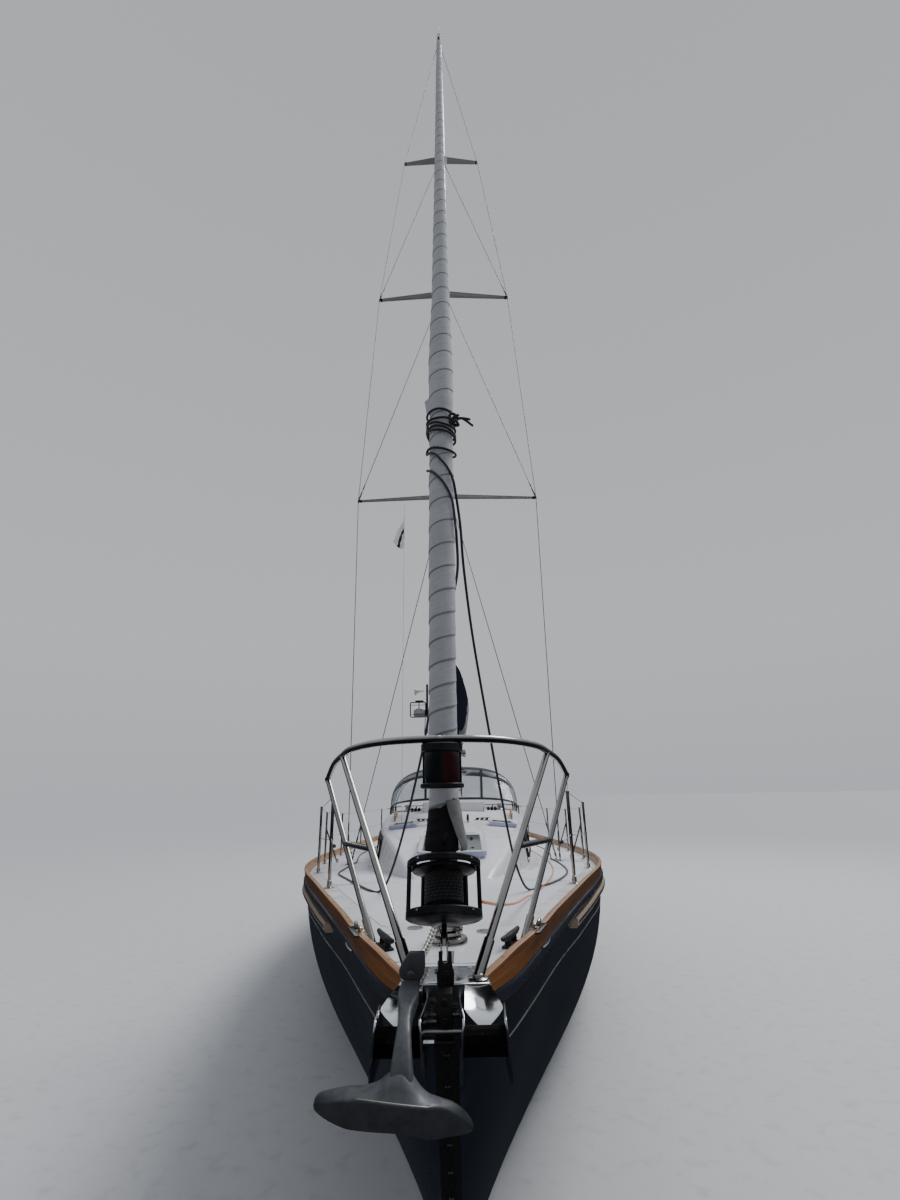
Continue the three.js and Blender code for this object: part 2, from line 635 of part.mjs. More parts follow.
const PLATFORM = { top: 1552, thick: 62, half: 128, front: -4, back: 170 };
const SLOTS = [[-172, -52], [46, 160]];
const CHEEK = 6;
const SIDE_PLAY = 0.4;
const ROLLER = { station: -165, height: 1472, radius: 32 };

// The polished platform between the toe rails, flat at its front end.
function platformPlate(low, high, inset = 0) {
  const rows = [[PLATFORM.front, PLATFORM.half], [TOE_RAIL.front - 4, PLATFORM.half], [TOE_RAIL.front - 3, 0],
    [PLATFORM.back, 0]];
  return loft(rows.map(([s, wide]) => {
    const half = (wide || hullRow(s)[1] - TOE_RAIL.wide - 2) - inset;
    return [[half, s, low], [half, s, high], [-half, s, high], [-half, s, low]];
  }));
}

function bowFitting() {
  const { top, thick } = PLATFORM;
  const cheekOutline = [[40, -36], [-20, -32], [-120, -27], [-196, -20], [-214, -36], [-222, -140], [-190, -158],
    [-60, -165], [40, -130]];
  const cheeks = SLOTS.flat().map((x, i) => {
    const [from, to] = i % 2 === 0 ? [x - CHEEK, x] : [x, x + CHEEK];
    return loft([from, to].map((side) => cheekOutline.map(([s, z]) => [side, s, top + z])));
  });
  const chute = [[10, -4], [-40, -16], [-85, -38], [-112, -66]];
  const floor = loft([SLOTS[0][0] - 2, SLOTS[1][1] + 2].map((x) => (
    [...chute.map(([s, z]) => [x, s, top + z]), ...chute.toReversed().map(([s, z]) => [x, s + 4, top + z - 9])]
  )), true);
  const apron = box(-PLATFORM.half, PLATFORM.half, 2, 12, top - 120, top - 4);
  const strap = loft([-22, 22].map((x) => [
    [x, 30, top - 44], [x, -2, top - 4], [x, -40, top - 12], [x, -52, top - 110], [x, -20, top - 150], [x, 30, top - 150],
  ]));
  const plate = platformPlate(top - thick, top);
  const skirt = box(-PLATFORM.half, PLATFORM.half, 8, 40, top - 130, top - 4);
  const stemhead = [-1, 1].map((side) => box(side * 16 - 4, side * 16 + 4, STAY.footStation - 28, STAY.footStation + 28,
    top - 10, STAY.footHeight + 14));
  const body = join(plate, apron, skirt, strap, cheeks, floor, stemhead);
  const gaps = [[0, 0, 1], [0, -1, 0], [0, -1, 1], [1, 0, 0], [-1, 0, 0]];
  return cut(body, gaps.map((way) => moved(bareHull, ...way.map((part) => part * SEAT_GAP))));
}

function anchorRoller([from, to]) {
  const [y, z] = [ROLLER.station, ROLLER.height];
  return rod([from + SIDE_PLAY, y, z], [to - SIDE_PLAY, y, z], ROLLER.radius, 14);
}

// Anchor: shank rows are station, height, half depth.
const ANCHOR = { x: -92, shankHalf: 11, clawX: -104, clawHeight: 1385, clawHalf: 177, clawRise: 49, roll: 0.113 };
const SHANK = [[-8, 1588, 22], [-60, 1570, 24], [-165, 1532, 27], [-225, 1508, 28], [-268, 1466, 28], [-288, 1425, 30],
  [-292, 1392, 34]];

function anchor() {
  const { x, shankHalf: wide } = ANCHOR;
  const shank = loft(SHANK.map(([s, z, deep], i, all) => {
    const [ds, dz] = i === 0 ? [all[1][0] - s, all[1][1] - z] : [s - all[i - 1][0], z - all[i - 1][1]];
    const length = Math.hypot(ds, dz);
    const [ns, nz] = [-dz / length, ds / length];
    return [[x - wide, s + ns * deep, z + nz * deep], [x + wide, s + ns * deep, z + nz * deep],
      [x + wide, s - ns * deep, z - nz * deep], [x - wide, s - ns * deep, z - nz * deep]];
  }));
  const head = loft([-24, -4].map((s) => [[-38, 1574], [-38, 1612], [-22, 1638], [22, 1638], [38, 1612], [38, 1574], [24, 1556],
    [-24, 1556]].map(([dx, z]) => [x + dx, s, z])));
  const bolt = rod([x, -33, 1604], [x, -20, 1604], 15, 12);
  // The claw curves back to its tips; each ring runs over its top, its crease and its lower lip.
  const claw = loft(spread(-1, 1, 13).map((part) => {
    const cx = ANCHOR.clawX + ANCHOR.clawHalf * part;
    const middle = ANCHOR.clawHeight - ANCHOR.roll * ANCHOR.clawHalf * part;
    const rise = ANCHOR.clawRise * Math.sqrt(1 - (part * 0.97) ** 2);
    const back = 62 * part ** 2;
    return [[-285, 1], [-330, 0.25], [-318, -1], [-304, -1], [-312, 0.2], [-268, 1]].map(([s, lift]) => (
      [cx, s + back, middle + rise * lift]
    ));
  }));
  const { station: y, height: z, radius } = ROLLER;
  return cut(join(shank, head, bolt, claw), rod([-200, y, z], [-40, y, z], radius + SEAT_GAP, 28));
}

function windlass() {
  const y = 740;
  const profile = [[0, 0], [74, 0], [74, 34], [44, 42], [34, 58], [52, 80], [52, 92], [0, 96]];
  return seatedOnDeck(turned([0, y, deckHeight(y) - 12], profile, 16));
}

function bowCleat(side) {
  const [x, y] = [side * 248, 690];
  const base = deckHeight(y, x);
  const turn = side * THREE.MathUtils.degToRad(22);
  const at = (reach, lift) => [x + reach * Math.sin(turn), y + reach * Math.cos(turn), base + lift];
  const horns = rod(at(-105, 50), at(105, 50), 11, 8);
  const feet = [-32, 32].map((shift) => rod(at(shift, -10), at(shift, 50), 13, 8));
  return seatedOnDeck(join(horns, feet, slab(at(0, 0), [40, 110, 16], 0, -turn)));
}

function mirrorPoints(points) {
  return [...points.map(([x, y, z]) => [-x, y, z]).toReversed(), ...points];
}

function pulpit() {
  const half = [[40, PULPIT.front, PULPIT.top], [200, PULPIT.front + 75, PULPIT.top], [340, PULPIT.front + 290, PULPIT.top - 2],
    [435, PULPIT.front + 580, PULPIT.top - 8], [520, PULPIT.front + 830, PULPIT.top - 30], [600, PULPIT.front + 1080, PULPIT.top - 88]];
  const top = tube(mirrorPoints(half), PULPIT.radius, 8, 30);
  const between = (from, to, part) => from.map((value, i) => value + (to[i] - value) * part);
  const sides = [-1, 1].flatMap((side) => {
    const frontLeg = [[side * 430, PULPIT.front + 560, PULPIT.top - 8], [side * 96, 30, PLATFORM.top + 12]];
    const aftLeg = [[side * 598, PULPIT.front + 1074, PULPIT.top - 86], [side * 300, 720, deckHeight(720, 300) - 10]];
    return [
      rod(...frontLeg, PULPIT.radius, 6),
      rod(...aftLeg, PULPIT.radius, 6),
      rod(between(...frontLeg, 0.515), between(...aftLeg, 0.44), PULPIT.radius, 6),
      rod([side * 96, 30, PLATFORM.top + SEAT_GAP], [side * 96, 30, PLATFORM.top + 26], 27, 10, 17),
    ];
  });
  return seatedOnDeck(join(top, sides));
}

function navLight() {
  const top = PULPIT.top - PULPIT.radius - SEAT_GAP;
  const shape = new THREE.Shape();
  shape.absarc(0, 0, 66, Math.PI, Math.PI * 2, false);
  shape.lineTo(66, 45);
  shape.lineTo(-66, 45);
  const geometry = new THREE.ExtrudeGeometry(shape, { depth: 145, bevelEnabled: false, curveSegments: 12 });
  geometry.translate(0, PULPIT.front + 24, top - 145);
  return solidOf(geometry);
}

function pushpit() {
  const top = (s) => hullRow(s)[2] + 620;
  const half = [[60, 12330, top(12330)], [900, 12320, top(12330)], [1200, 12230, top(12230)], [1345, 11950, top(11950)],
    [1425, 11500, top(11500)]];
  const upper = tube(mirrorPoints(half), 12.5, 6, 18);
  const lower = tube(mirrorPoints(half.map(([x, y, z]) => [x, y, z - 300])), 11, 6, 18);
  const legs = [-1, 1].flatMap((side) => [[900, 12320], [1345, 11950], [1425, 11500]].map(([x, y]) => (
    rod([side * x, y, top(y) - 2], [side * x, y, deckHeight(y, x) - 10], 12.5, 6)
  )));
  return seatedOnDeck(join(upper, lower, legs));
}

function lifelines() {
  const inset = 120;
  const foot = (s) => [hullRow(s)[1] - inset, s, deckHeight(s, hullRow(s)[1] - inset)];
  const posts = STANCHIONS.map((s) => {
    const [x, y, z] = foot(s);
    return join(rod([x, y, z - 10], [x, y, z + STANCHION_HEIGHT], 12.5, 6), rod([x, y, z - 10], [x, y, z + 60], 22, 6));
  });
  const wire = (lift, start, end) => {
    const points = [start, ...STANCHIONS.map((s) => foot(s).map((value, i) => (i === 2 ? value + lift : value))), end];
    return points.slice(1).map((point, i) => rod(points[i], point, 4, 4));
  };
  const upper = wire(STANCHION_HEIGHT - 12, [604, PULPIT.front + 1104, PULPIT.top - 96], [1429, 11460, 1790]);
  const lower = wire(320, [525, 985, 1835], [1429, 11460, 1490]);
  return seatedOnDeck(join(posts, upper, lower));
}

// Rig

const mastStation = (z) => MAST.base + ((MAST.head - MAST.base) * (z - MAST.foot)) / (MAST.top - MAST.foot);

function mastRing(z, scale) {
  return range(16).map((i) => {
    const angle = (i * Math.PI) / 8;
    return [MAST.wide * scale * Math.cos(angle), mastStation(z) + MAST.long * scale * Math.sin(angle), z];
  });
}

function spreaderSolid({ height, reach, sweep }, grow) {
  const y = mastStation(height);
  const section = (x, aft, rise, chord, thick) => {
    const z = height + rise;
    return [[x, y + aft - chord / 2 - grow, z], [x, y + aft - chord / 4, z + thick / 2 + grow],
      [x, y + aft + chord / 3, z + thick / 2 + grow], [x, y + aft + chord / 2 + grow, z],
      [x, y + aft + chord / 3, z - thick / 2 - grow], [x, y + aft - chord / 4, z - thick / 2 - grow]];
  };
  const tip = reach - 14;
  return loft([
    section(-tip, sweep, 42, 62, 22), section(-MAST.wide, 0, 0, 128, 36), section(MAST.wide, 0, 0, 128, 36),
    section(tip, sweep, 42, 62, 22),
  ]);
}

function mast() {
  const tube = loft([mastRing(MAST.foot, 1), mastRing(MAST.top - 2600, 1), mastRing(MAST.top - 60, 0.72)]);
  const crane = box(-38, 38, MAST.head - 190, MAST.head + 210, MAST.top - 120, MAST.top);
  const gooseneck = box(-26, 26, mastStation(GOOSENECK.height) + MAST.long - 30, MAST.base + GOOSENECK.reach + 28,
    GOOSENECK.height - 46, GOOSENECK.height - 30);
  const upperJaw = moved(gooseneck, 0, 0, 76);
  const wand = rod([0, MAST.head - 90, MAST.top - 10], [0, MAST.head - 90, MAST.top + WAND_HEIGHT], 6, 6);
  const slots = SPREADERS.map((row) => spreaderSolid(row, SEAT_GAP));
  return cut(join(tube, crane, gooseneck, upperJaw, wand), slots);
}

const gooseneckPoint = [0, MAST.base + GOOSENECK.reach, GOOSENECK.height];

function boom() {
  const [, y, z] = gooseneckPoint;
  const eye = rod([0, y, z - 29.6], [0, y, z + 29.6], 22, 12);
  const neck = rod([0, y, z], [0, y + 120, z], 20, 8);
  const spar = loft([y + 95, BOOM.back].map((s) => range(12).map((i) => {
    const angle = (i * Math.PI) / 6;
    return [BOOM.radius * Math.cos(angle), s, z + 1.35 * BOOM.radius * Math.sin(angle)];
  })));
  return join(eye, neck, spar);
}

// Sail cover: station, half width, bottom height above the boom, top height above the boom, shift to port.
const COVER_SECTIONS = [
  [5295, 168, -10, 890, 38],
  [5480, 190, -40, 840, 34],
  [5900, 190, -80, 620, 22],
  [6800, 180, -85, 440, 8],
  [8200, 160, -85, 330, 0],
  [9300, 120, -80, 240, 0],
];

function sailCover() {
  const cover = loft(COVER_SECTIONS.map(([s, half, low, high, aside]) => range(14).map((i) => {
    const angle = (i * Math.PI) / 7;
    const lift = Math.sin(angle);
    const mid = (low + high) / 2;
    const width = half * (1 - 0.38 * Math.max(lift, 0));
    return [aside + width * Math.cos(angle), s, GOOSENECK.height + mid + ((high - low) / 2) * lift];
  })));
  const [, y, z] = gooseneckPoint;
  const spar = rod([0, y - 60, z], [0, BOOM.back, z], 10, 6);
  const boomSpace = loft([y - 40, BOOM.back + 100].map((s) => range(12).map((i) => {
    const angle = (i * Math.PI) / 6;
    return [(BOOM.radius + 1) * Math.cos(angle), s, z + (1.35 * BOOM.radius + 1) * Math.sin(angle)];
  })));
  const jaw = box(-34, 34, y - 60, y + 60, z - 60, z + 60);
  return cut(cover, boomSpace, spar, jaw);
}

const stayPoint = (z) => {
  const part = (z - STAY.footHeight) / (STAY.headHeight - STAY.footHeight);
  return [0, STAY.footStation + part * (MAST.head - 150 - STAY.footStation), z];
};

function forestay() {
  const fork = box(-11.6, 11.6, STAY.footStation - 22, STAY.footStation + 22, PLATFORM.top + SEAT_GAP,
    STAY.footHeight + 50);
  const head = rod(stayPoint(STAY.headHeight - 200), stayPoint(STAY.headHeight - 4), 9, 8);
  return join(fork, rod(stayPoint(STAY.footHeight), stayPoint(STAY.headHeight - 4), WIRE_RADIUS, 6), head);
}

const stayLean = Math.atan2(stayPoint(STAY.headHeight)[1] - STAY.footStation, STAY.headHeight - STAY.footHeight);
const drumLength = (DRUM.top - DRUM.bottom) / Math.cos(stayLean) - 4;
const GENOA_BOTTOM = DRUM.bottom + (drumLength + DRUM.neckRise) * Math.cos(stayLean)
  + DRUM.neck * Math.sin(stayLean) + 0.5;

// Furled genoa: height, radius.
const GENOA_SECTIONS = [
  [GENOA_BOTTOM, 50], [2300, 54], [3300, 63], [4000, 71], [4700, 80], [5000, 76], [5600, 68], [7200, 60],
  [9200, 55], [12000, 51], [GENOA_TOP, 44],
];

function alongStay(sections, sides) {
  return loft(sections.map(([z, radius]) => {
    const [, y] = stayPoint(z);
    return range(sides).map((i) => {
      const angle = (i * 2 * Math.PI) / sides;
      return [radius * Math.cos(angle), y + radius * Math.sin(angle), z];
    });
  }));
}

function stayBore(radius) {
  return rod(stayPoint(STAY.footHeight - 60), stayPoint(STAY.headHeight + 200), radius, 8);
}

function furledGenoa() {
  return cut(alongStay(GENOA_SECTIONS, 14), stayBore(11));
}

function stayTurned(profile, bore, sides = 16) {
  return cut(turned(stayPoint(DRUM.bottom), profile, sides, -stayLean), stayBore(bore));
}

function furlerDrum() {
  const flange = DRUM.radius - 16;
  return stayTurned([
    [0, 14], [flange, 14], [flange, 24], [DRUM.spool, 34], [DRUM.spool, drumLength - 40],
    [flange, drumLength - 28], [flange, drumLength - 18], [DRUM.neck + 6, drumLength - 8],
    [DRUM.neck, drumLength + DRUM.neckRise], [0, drumLength + DRUM.neckRise],
  ], 5.8);
}

function furlerCage() {
  const ring = (low, high) => stayTurned([[DRUM.radius - 9, low], [DRUM.radius, low], [DRUM.radius, high],
    [DRUM.radius - 9, high], [DRUM.radius - 9, low]], 8);
  const base = stayTurned([[0, -16], [60, -16], [DRUM.radius, -2], [DRUM.radius, 7], [0, 7]], WIRE_RADIUS + 1);
  const struts = range(8).map((i) => {
    const angle = (i * Math.PI) / 4 + Math.PI / 8;
    const [x, y] = [(DRUM.radius - 5) * Math.cos(angle), (DRUM.radius - 5) * Math.sin(angle)];
    const [from, to] = [stayPoint(DRUM.bottom), stayPoint(DRUM.top)];
    const lean = (y * (to[1] - from[1])) / (to[2] - from[2]);
    return rod([x, from[1] + y, from[2] - lean], [x, to[1] + y, to[2] - lean], 6, 4);
  });
  return cut(join(ring(0, 16), ring(drumLength - 12, drumLength + 4), base, struts), stayBore(WIRE_RADIUS + 1));
}

function backstay() {
  const foot = [0, TRANSOM_STATION - 70, deckHeight(TRANSOM_STATION - 70) - 10];
  const head = [0, MAST.head + 217, MAST.top - 60];
  const plate = box(-6, 6, foot[1] - 30, foot[1] + 30, foot[2], foot[2] + 90);
  return seatedOnDeck(join(rod([0, foot[1], foot[2] + 70], head, WIRE_RADIUS, 6), plate));
}

function spreaderTip({ height, reach, sweep }) {
  return [reach - 2, mastStation(height) + sweep, height + 42];
}

function capShroud() {
  const tips = SPREADERS.map(spreaderTip);
  const root = (z, drop) => [MAST.wide * 0.93, mastStation(z) + 10, z - drop];
  const foot = [CHAINPLATE.half, CHAINPLATE.cap, deckHeight(CHAINPLATE.cap, CHAINPLATE.half)];
  const points = [foot, ...tips, [44, MAST.head + 20, MAST.top - 90]];
  const legs = points.slice(1).map((point, i) => rod(points[i], point, SHROUD_RADIUS, 6));
  const cups = tips.map(([x, y, z]) => rod([x, y, z - 18], [x, y, z + 18], 11, 6));
  const diagonals = [1, 2].map((i) => rod(tips[i - 1], root(SPREADERS[i].height, 110), SHROUD_RADIUS, 6));
  const plate = box(foot[0] - 5, foot[0] + 5, foot[1] - 25, foot[1] + 25, foot[2] - 15, foot[2] + 70);
  const turnbuckle = rod([foot[0], foot[1], foot[2] + 50], foot.map((v, i) => v + [2, 2, 330][i]), 11, 8);
  const shroud = join(legs, cups, diagonals, plate, turnbuckle);
  const spreaders = SPREADERS.map((row) => spreaderSolid(row, SEAT_GAP));
  const mastSpace = loft([mastRing(MAST.foot, 1.005), mastRing(MAST.top - 2600, 1.005), mastRing(MAST.top - 60, 0.725)]);
  return cut(seatedOnDeck(shroud), spreaders, mastSpace);
}

function lowerShroud() {
  const foot = [CHAINPLATE.half, CHAINPLATE.lower, deckHeight(CHAINPLATE.lower, CHAINPLATE.half)];
  const z = SPREADERS[0].height - 130;
  const head = [MAST.wide + 1, mastStation(z) + 18, z];
  const plate = box(foot[0] - 5, foot[0] + 5, foot[1] - 25, foot[1] + 25, foot[2] - 15, foot[2] + 70);
  const mastSpace = loft([mastRing(MAST.foot, 1.005), mastRing(MAST.top - 2600, 1.005)]);
  return cut(seatedOnDeck(join(rod([foot[0], foot[1], foot[2] + 40], head, SHROUD_RADIUS, 6), plate)), mastSpace);
}

function engine() {
  return box(-ENGINE.half, ENGINE.half, ENGINE.front, ENGINE.back - 30, ENGINE.bottom, ENGINE.top);
}

const boat = new THREE.Group();
boat.position.y = -MIDSHIP_STATION;

function add(name, solid, material) {
  const mesh = new THREE.Mesh(geometryOf(solid), material.clone());
  mesh.name = name;
  boat.add(mesh);
}

function addPair(name, solid, material) {
  add(`port_${name}`, solid, material);
  add(`starboard_${name}`, mirrored(solid), material);
}

add('hull', hull(), MATERIALS.navy);
add('cockpit_tub', cockpitTub(), MATERIALS.deck);
add('keel', keel(), MATERIALS.antifoul);
add('rudder', rudder(), MATERIALS.antifoul);
add('propeller', propeller(), MATERIALS.bronze);
add('shaft_strut', shaftStrut(), MATERIALS.bronze);
add('engine', engine(), MATERIALS.galvanised);
add('coachroof', coachroof(), MATERIALS.deck);
addPair('cabin_window', windowPane(), MATERIALS.smoked);
addPair('toe_rail', toeRail(), MATERIALS.teak);
addPair('rub_rail', rubRail(), MATERIALS.teak);
add('forward_hatch', forwardHatch(), MATERIALS.smoked);
add('port_hatch', sideHatch(1), MATERIALS.smoked);
add('starboard_hatch', sideHatch(-1), MATERIALS.smoked);
add('companionway_hatch', companionwayHatch(), MATERIALS.deck);
add('washboards', washboards(), MATERIALS.teak);
addPair('handrail', handrail(), MATERIALS.teak);
add('cockpit_coamings', coamings(), MATERIALS.deck);
add('port_locker_lid', lockerLid(1), MATERIALS.teak);
add('starboard_locker_lid', lockerLid(-1), MATERIALS.teak);
add('steering_pedestal', pedestal(), MATERIALS.steel);
add('steering_wheel', steeringWheel(), MATERIALS.steel);
add('port_winch', winch(1), MATERIALS.steel);
add('starboard_winch', winch(-1), MATERIALS.steel);
add('dodger_frame', dodgerFrame(), MATERIALS.steel);
add('dodger_canopy', dodgerCanopy(), MATERIALS.canvas);
add('bow_fitting', bowFitting(), MATERIALS.steel);
add('starboard_anchor_roller', anchorRoller(SLOTS[0]), MATERIALS.black);
add('port_anchor_roller', anchorRoller(SLOTS[1]), MATERIALS.black);
add('anchor', anchor(), MATERIALS.galvanised);
add('windlass', windlass(), MATERIALS.steel);
add('port_bow_cleat', bowCleat(1), MATERIALS.black);
add('starboard_bow_cleat', bowCleat(-1), MATERIALS.black);
add('pulpit', pulpit(), MATERIALS.steel);
add('nav_light', navLight(), MATERIALS.black);
add('pushpit', pushpit(), MATERIALS.steel);
addPair('lifelines', lifelines(), MATERIALS.steel);
add('mast', mast(), MATERIALS.alloy);
for (const row of SPREADERS) add(row.name, spreaderSolid(row, 0), MATERIALS.alloy);
add('boom', boom(), MATERIALS.alloy);
add('sail_cover', sailCover(), MATERIALS.canvas);
add('forestay', forestay(), MATERIALS.steel);
add('furled_genoa', furledGenoa(), MATERIALS.sail);
add('furler_drum', furlerDrum(), MATERIALS.black);
add('furler_cage', furlerCage(), MATERIALS.black);
add('backstay', backstay(), MATERIALS.steel);
addPair('cap_shroud', capShroud(), MATERIALS.steel);
addPair('lower_shroud', lowerShroud(), MATERIALS.steel);

export default boat;
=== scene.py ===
"""Sailing yacht afloat with her genoa furled. Metres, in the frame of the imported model."""

from math import atan2, copysign, cos, exp, log, pi, radians, sin, sqrt

import bmesh
import bpy
from mathutils import Matrix, Vector, noise


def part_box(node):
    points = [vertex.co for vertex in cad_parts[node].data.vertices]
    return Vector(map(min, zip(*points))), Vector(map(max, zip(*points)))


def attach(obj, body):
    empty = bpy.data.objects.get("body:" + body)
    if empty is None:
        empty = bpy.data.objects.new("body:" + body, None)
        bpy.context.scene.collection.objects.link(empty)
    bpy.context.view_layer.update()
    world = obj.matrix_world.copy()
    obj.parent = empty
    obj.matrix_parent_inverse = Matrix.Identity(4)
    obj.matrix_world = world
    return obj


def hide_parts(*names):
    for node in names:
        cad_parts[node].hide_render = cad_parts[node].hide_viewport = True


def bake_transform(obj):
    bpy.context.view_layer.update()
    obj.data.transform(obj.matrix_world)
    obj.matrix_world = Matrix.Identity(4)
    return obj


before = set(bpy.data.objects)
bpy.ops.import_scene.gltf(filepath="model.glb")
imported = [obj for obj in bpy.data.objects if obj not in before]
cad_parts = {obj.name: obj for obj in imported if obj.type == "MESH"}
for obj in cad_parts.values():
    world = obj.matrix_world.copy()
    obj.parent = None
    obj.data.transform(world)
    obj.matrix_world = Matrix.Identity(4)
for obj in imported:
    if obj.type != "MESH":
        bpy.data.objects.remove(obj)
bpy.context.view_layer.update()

# Stations of the origin and the rudder stock; radii of rails and of rigging.
MIDSHIP = 6.4
STOCK = 11.73
TUBE, WIRE = 0.0125, 0.005
PORT, STARBOARD = 1, -1
SIDES = {PORT: "port", STARBOARD: "starboard"}
X, Y, Z = (1, 0, 0), (0, 1, 0), (0, 0, 1)


def vec(x, y, z):
    return Vector((x, y, z))


def at(x, s, z):
    """A point given by its distance to port, its station and its height."""
    return Vector((x, s - MIDSHIP, z))


def up(height):
    return Vector((0, 0, height))


def mm(*numbers):
    """Pairs given in millimetres, as metres."""
    return [(a / 1000, b / 1000) for a, b in zip(numbers[::2], numbers[1::2])]


def clamp(value, low=0.0, high=1.0):
    return min(max(value, low), high)


def spread(start, end, count):
    return [start + (end - start) * i / (count - 1) for i in range(count)]


def circle(count):
    return [2 * pi * k / count for k in range(count)]


def helix(radius, pitch, turns, start, steps=28):
    """Points of a coil about Z that begins on the X axis."""
    return [vec(radius * cos(2 * pi * k / steps), radius * sin(2 * pi * k / steps), start + pitch * k / steps)
            for k in range(turns * steps + 1)]


def squared(angle, power):
    """Cosine and sine of a rounded square; the lower the power, the squarer."""
    c, s = cos(angle), sin(angle)
    return copysign(abs(c) ** power, c), copysign(abs(s) ** power, s)


def table_row(table, s):
    """Smooth interpolation between the rows of a station table."""
    k = 0
    while k < len(table) - 2 and s > table[k + 1][0]:
        k += 1
    before, a = table[max(k - 1, 0)], table[k]
    b, after = table[k + 1], table[min(k + 2, len(table) - 1)]
    span = b[0] - a[0]
    t = clamp((s - a[0]) / span)
    row = [s]
    for i in range(1, len(a)):
        middle = (b[i] - a[i]) / span
        start = middle if k == 0 else ((a[i] - before[i]) / (a[0] - before[0]) + middle) / 2
        end = middle if k + 2 == len(table) else (middle + (after[i] - b[i]) / (after[0] - b[0])) / 2
        row.append(a[i] * (2 * t**3 - 3 * t**2 + 1) + b[i] * (3 * t**2 - 2 * t**3)
                   + span * (start * (t**3 - 2 * t**2 + t) + end * (t**3 - t**2)))
    return row


def lerp_table(table, x):
    """Straight interpolation in rows of x, value."""
    for (x0, v0), (x1, v1) in zip(table, table[1:]):
        if x <= x1:
            return v0 + (v1 - v0) * clamp((x - x0) / (x1 - x0))
    return table[-1][1]


# Hull: station, half beam, deck height, bottom height, bilge fullness, turn of bilge, bow flare.
HULL = [
    [0.06, 0.118, 1.51, 1.425, 1, 1, 0],
    [0.3, 0.219, 1.49, 1.15, 1, 1, 0],
    [1.0, 0.46, 1.481, 0.33, 1, 1, 0],
    [1.9, 0.768, 1.463, -0.23, 1.15, 1.05, 0.025],
    [2.9, 1.092, 1.422, -0.42, 1.75, 1.25, 0.075],
    [4.0, 1.39, 1.352, -0.51, 2.2, 1.45, 0.04],
    [5.2, 1.645, 1.282, -0.55, 2.6, 1.6, 0.01],
    [6.5, 1.83, 1.222, -0.555, 2.9, 1.75, 0],
    [8.0, 1.91, 1.175, -0.5, 3.0, 1.8, 0],
    [9.5, 1.87, 1.155, -0.37, 2.9, 1.8, 0],
    [11.0, 1.69, 1.17, -0.17, 2.7, 1.8, 0],
    [12.45, 1.4, 1.205, 0.06, 2.5, 1.8, 0],
]
STEM, TRANSOM = 0.06, 12.45
DECK_CROWN = 0.03

# Coachroof: station, half width at the deck, half width at the roof, roof edge height, crown.
ROOF = [
    [2.74, 0.3, 0.262, 1.415, 0.006],
    [2.96, 0.4, 0.345, 1.505, 0.014],
    [3.15, 0.47, 0.405, 1.545, 0.02],
    [3.7, 0.62, 0.55, 1.642, 0.028],
    [4.3, 0.76, 0.688, 1.684, 0.038],
    [5.2, 0.9, 0.828, 1.704, 0.044],
    [6.4, 1.03, 0.955, 1.745, 0.052],
    [7.5, 1.09, 1.015, 1.775, 0.055],
    [8.6, 1.12, 1.045, 1.8, 0.058],
]


def hull_half(s, z):
    _, beam, deck, keel, full, turn, flare = table_row(HULL, s)
    depth = clamp((deck - z) / (deck - keel))
    return (beam - flare) * (1 - depth**full) ** (1 / turn) + flare * (1 - depth) ** 8


def deck_edge(s):
    """Half beam and height of the deck's edge."""
    return table_row(HULL, s)[1:3]


def deck_height(s, x=0.0):
    beam, deck = deck_edge(s)
    return deck + DECK_CROWN * beam * (1 - (x / beam) ** 2)


def on_deck(x, s, lift=0.0):
    return at(x, s, deck_height(s, x) + lift)


def roof_half(s):
    return table_row(ROOF, s)[2]


def roof_height(s, x=0.0):
    _, _, roof, edge, crown = table_row(ROOF, s)
    return edge + crown * (1 - (x / (roof - 0.045)) ** 2)


def on_roof(x, s, lift=0.0):
    return at(x, s, roof_height(s, abs(x)) + lift)


def show(name, data):
    made = bpy.data.objects.new(name, data)
    bpy.context.scene.collection.objects.link(made)
    return made


# Camera

LENS = 16.884
CAMERA = Vector((0.044, -8.25, 2.052))
PITCH, YAW, ROLL = (radians(a) for a in (19.102, 0.238, 1.088))


def make_camera():
    data = bpy.data.cameras.new("camera")
    data.lens, data.sensor_width = LENS, 36.0
    data.clip_start, data.clip_end = 0.05, 1000.0
    forward = vec(-sin(YAW) * cos(PITCH), cos(YAW) * cos(PITCH), sin(PITCH))
    level = forward.cross(Vector(Z)).normalized()
    above = level.cross(forward)
    right, top = level * cos(ROLL) - above * sin(ROLL), above * cos(ROLL) + level * sin(ROLL)
    camera = show("camera", data)
    camera.matrix_world = Matrix((right, top, -forward)).transposed().to_4x4()
    camera.location = CAMERA
    bpy.context.scene.camera = camera


make_camera()


# Materials


def toned(color, share):
    return tuple(share * c for c in color)


def add_node(tree, kind, values=(), **settings):
    """A shader node; a value is a number, a colour or another node's output."""
    made = tree.nodes.new("ShaderNode" + kind)
    for key, value in settings.items():
        setattr(made, key, value)
    for key, value in dict(values).items():
        if isinstance(value, bpy.types.NodeSocket):
            tree.links.new(value, made.inputs[key])
        else:
            made.inputs[key].default_value = value
    return made


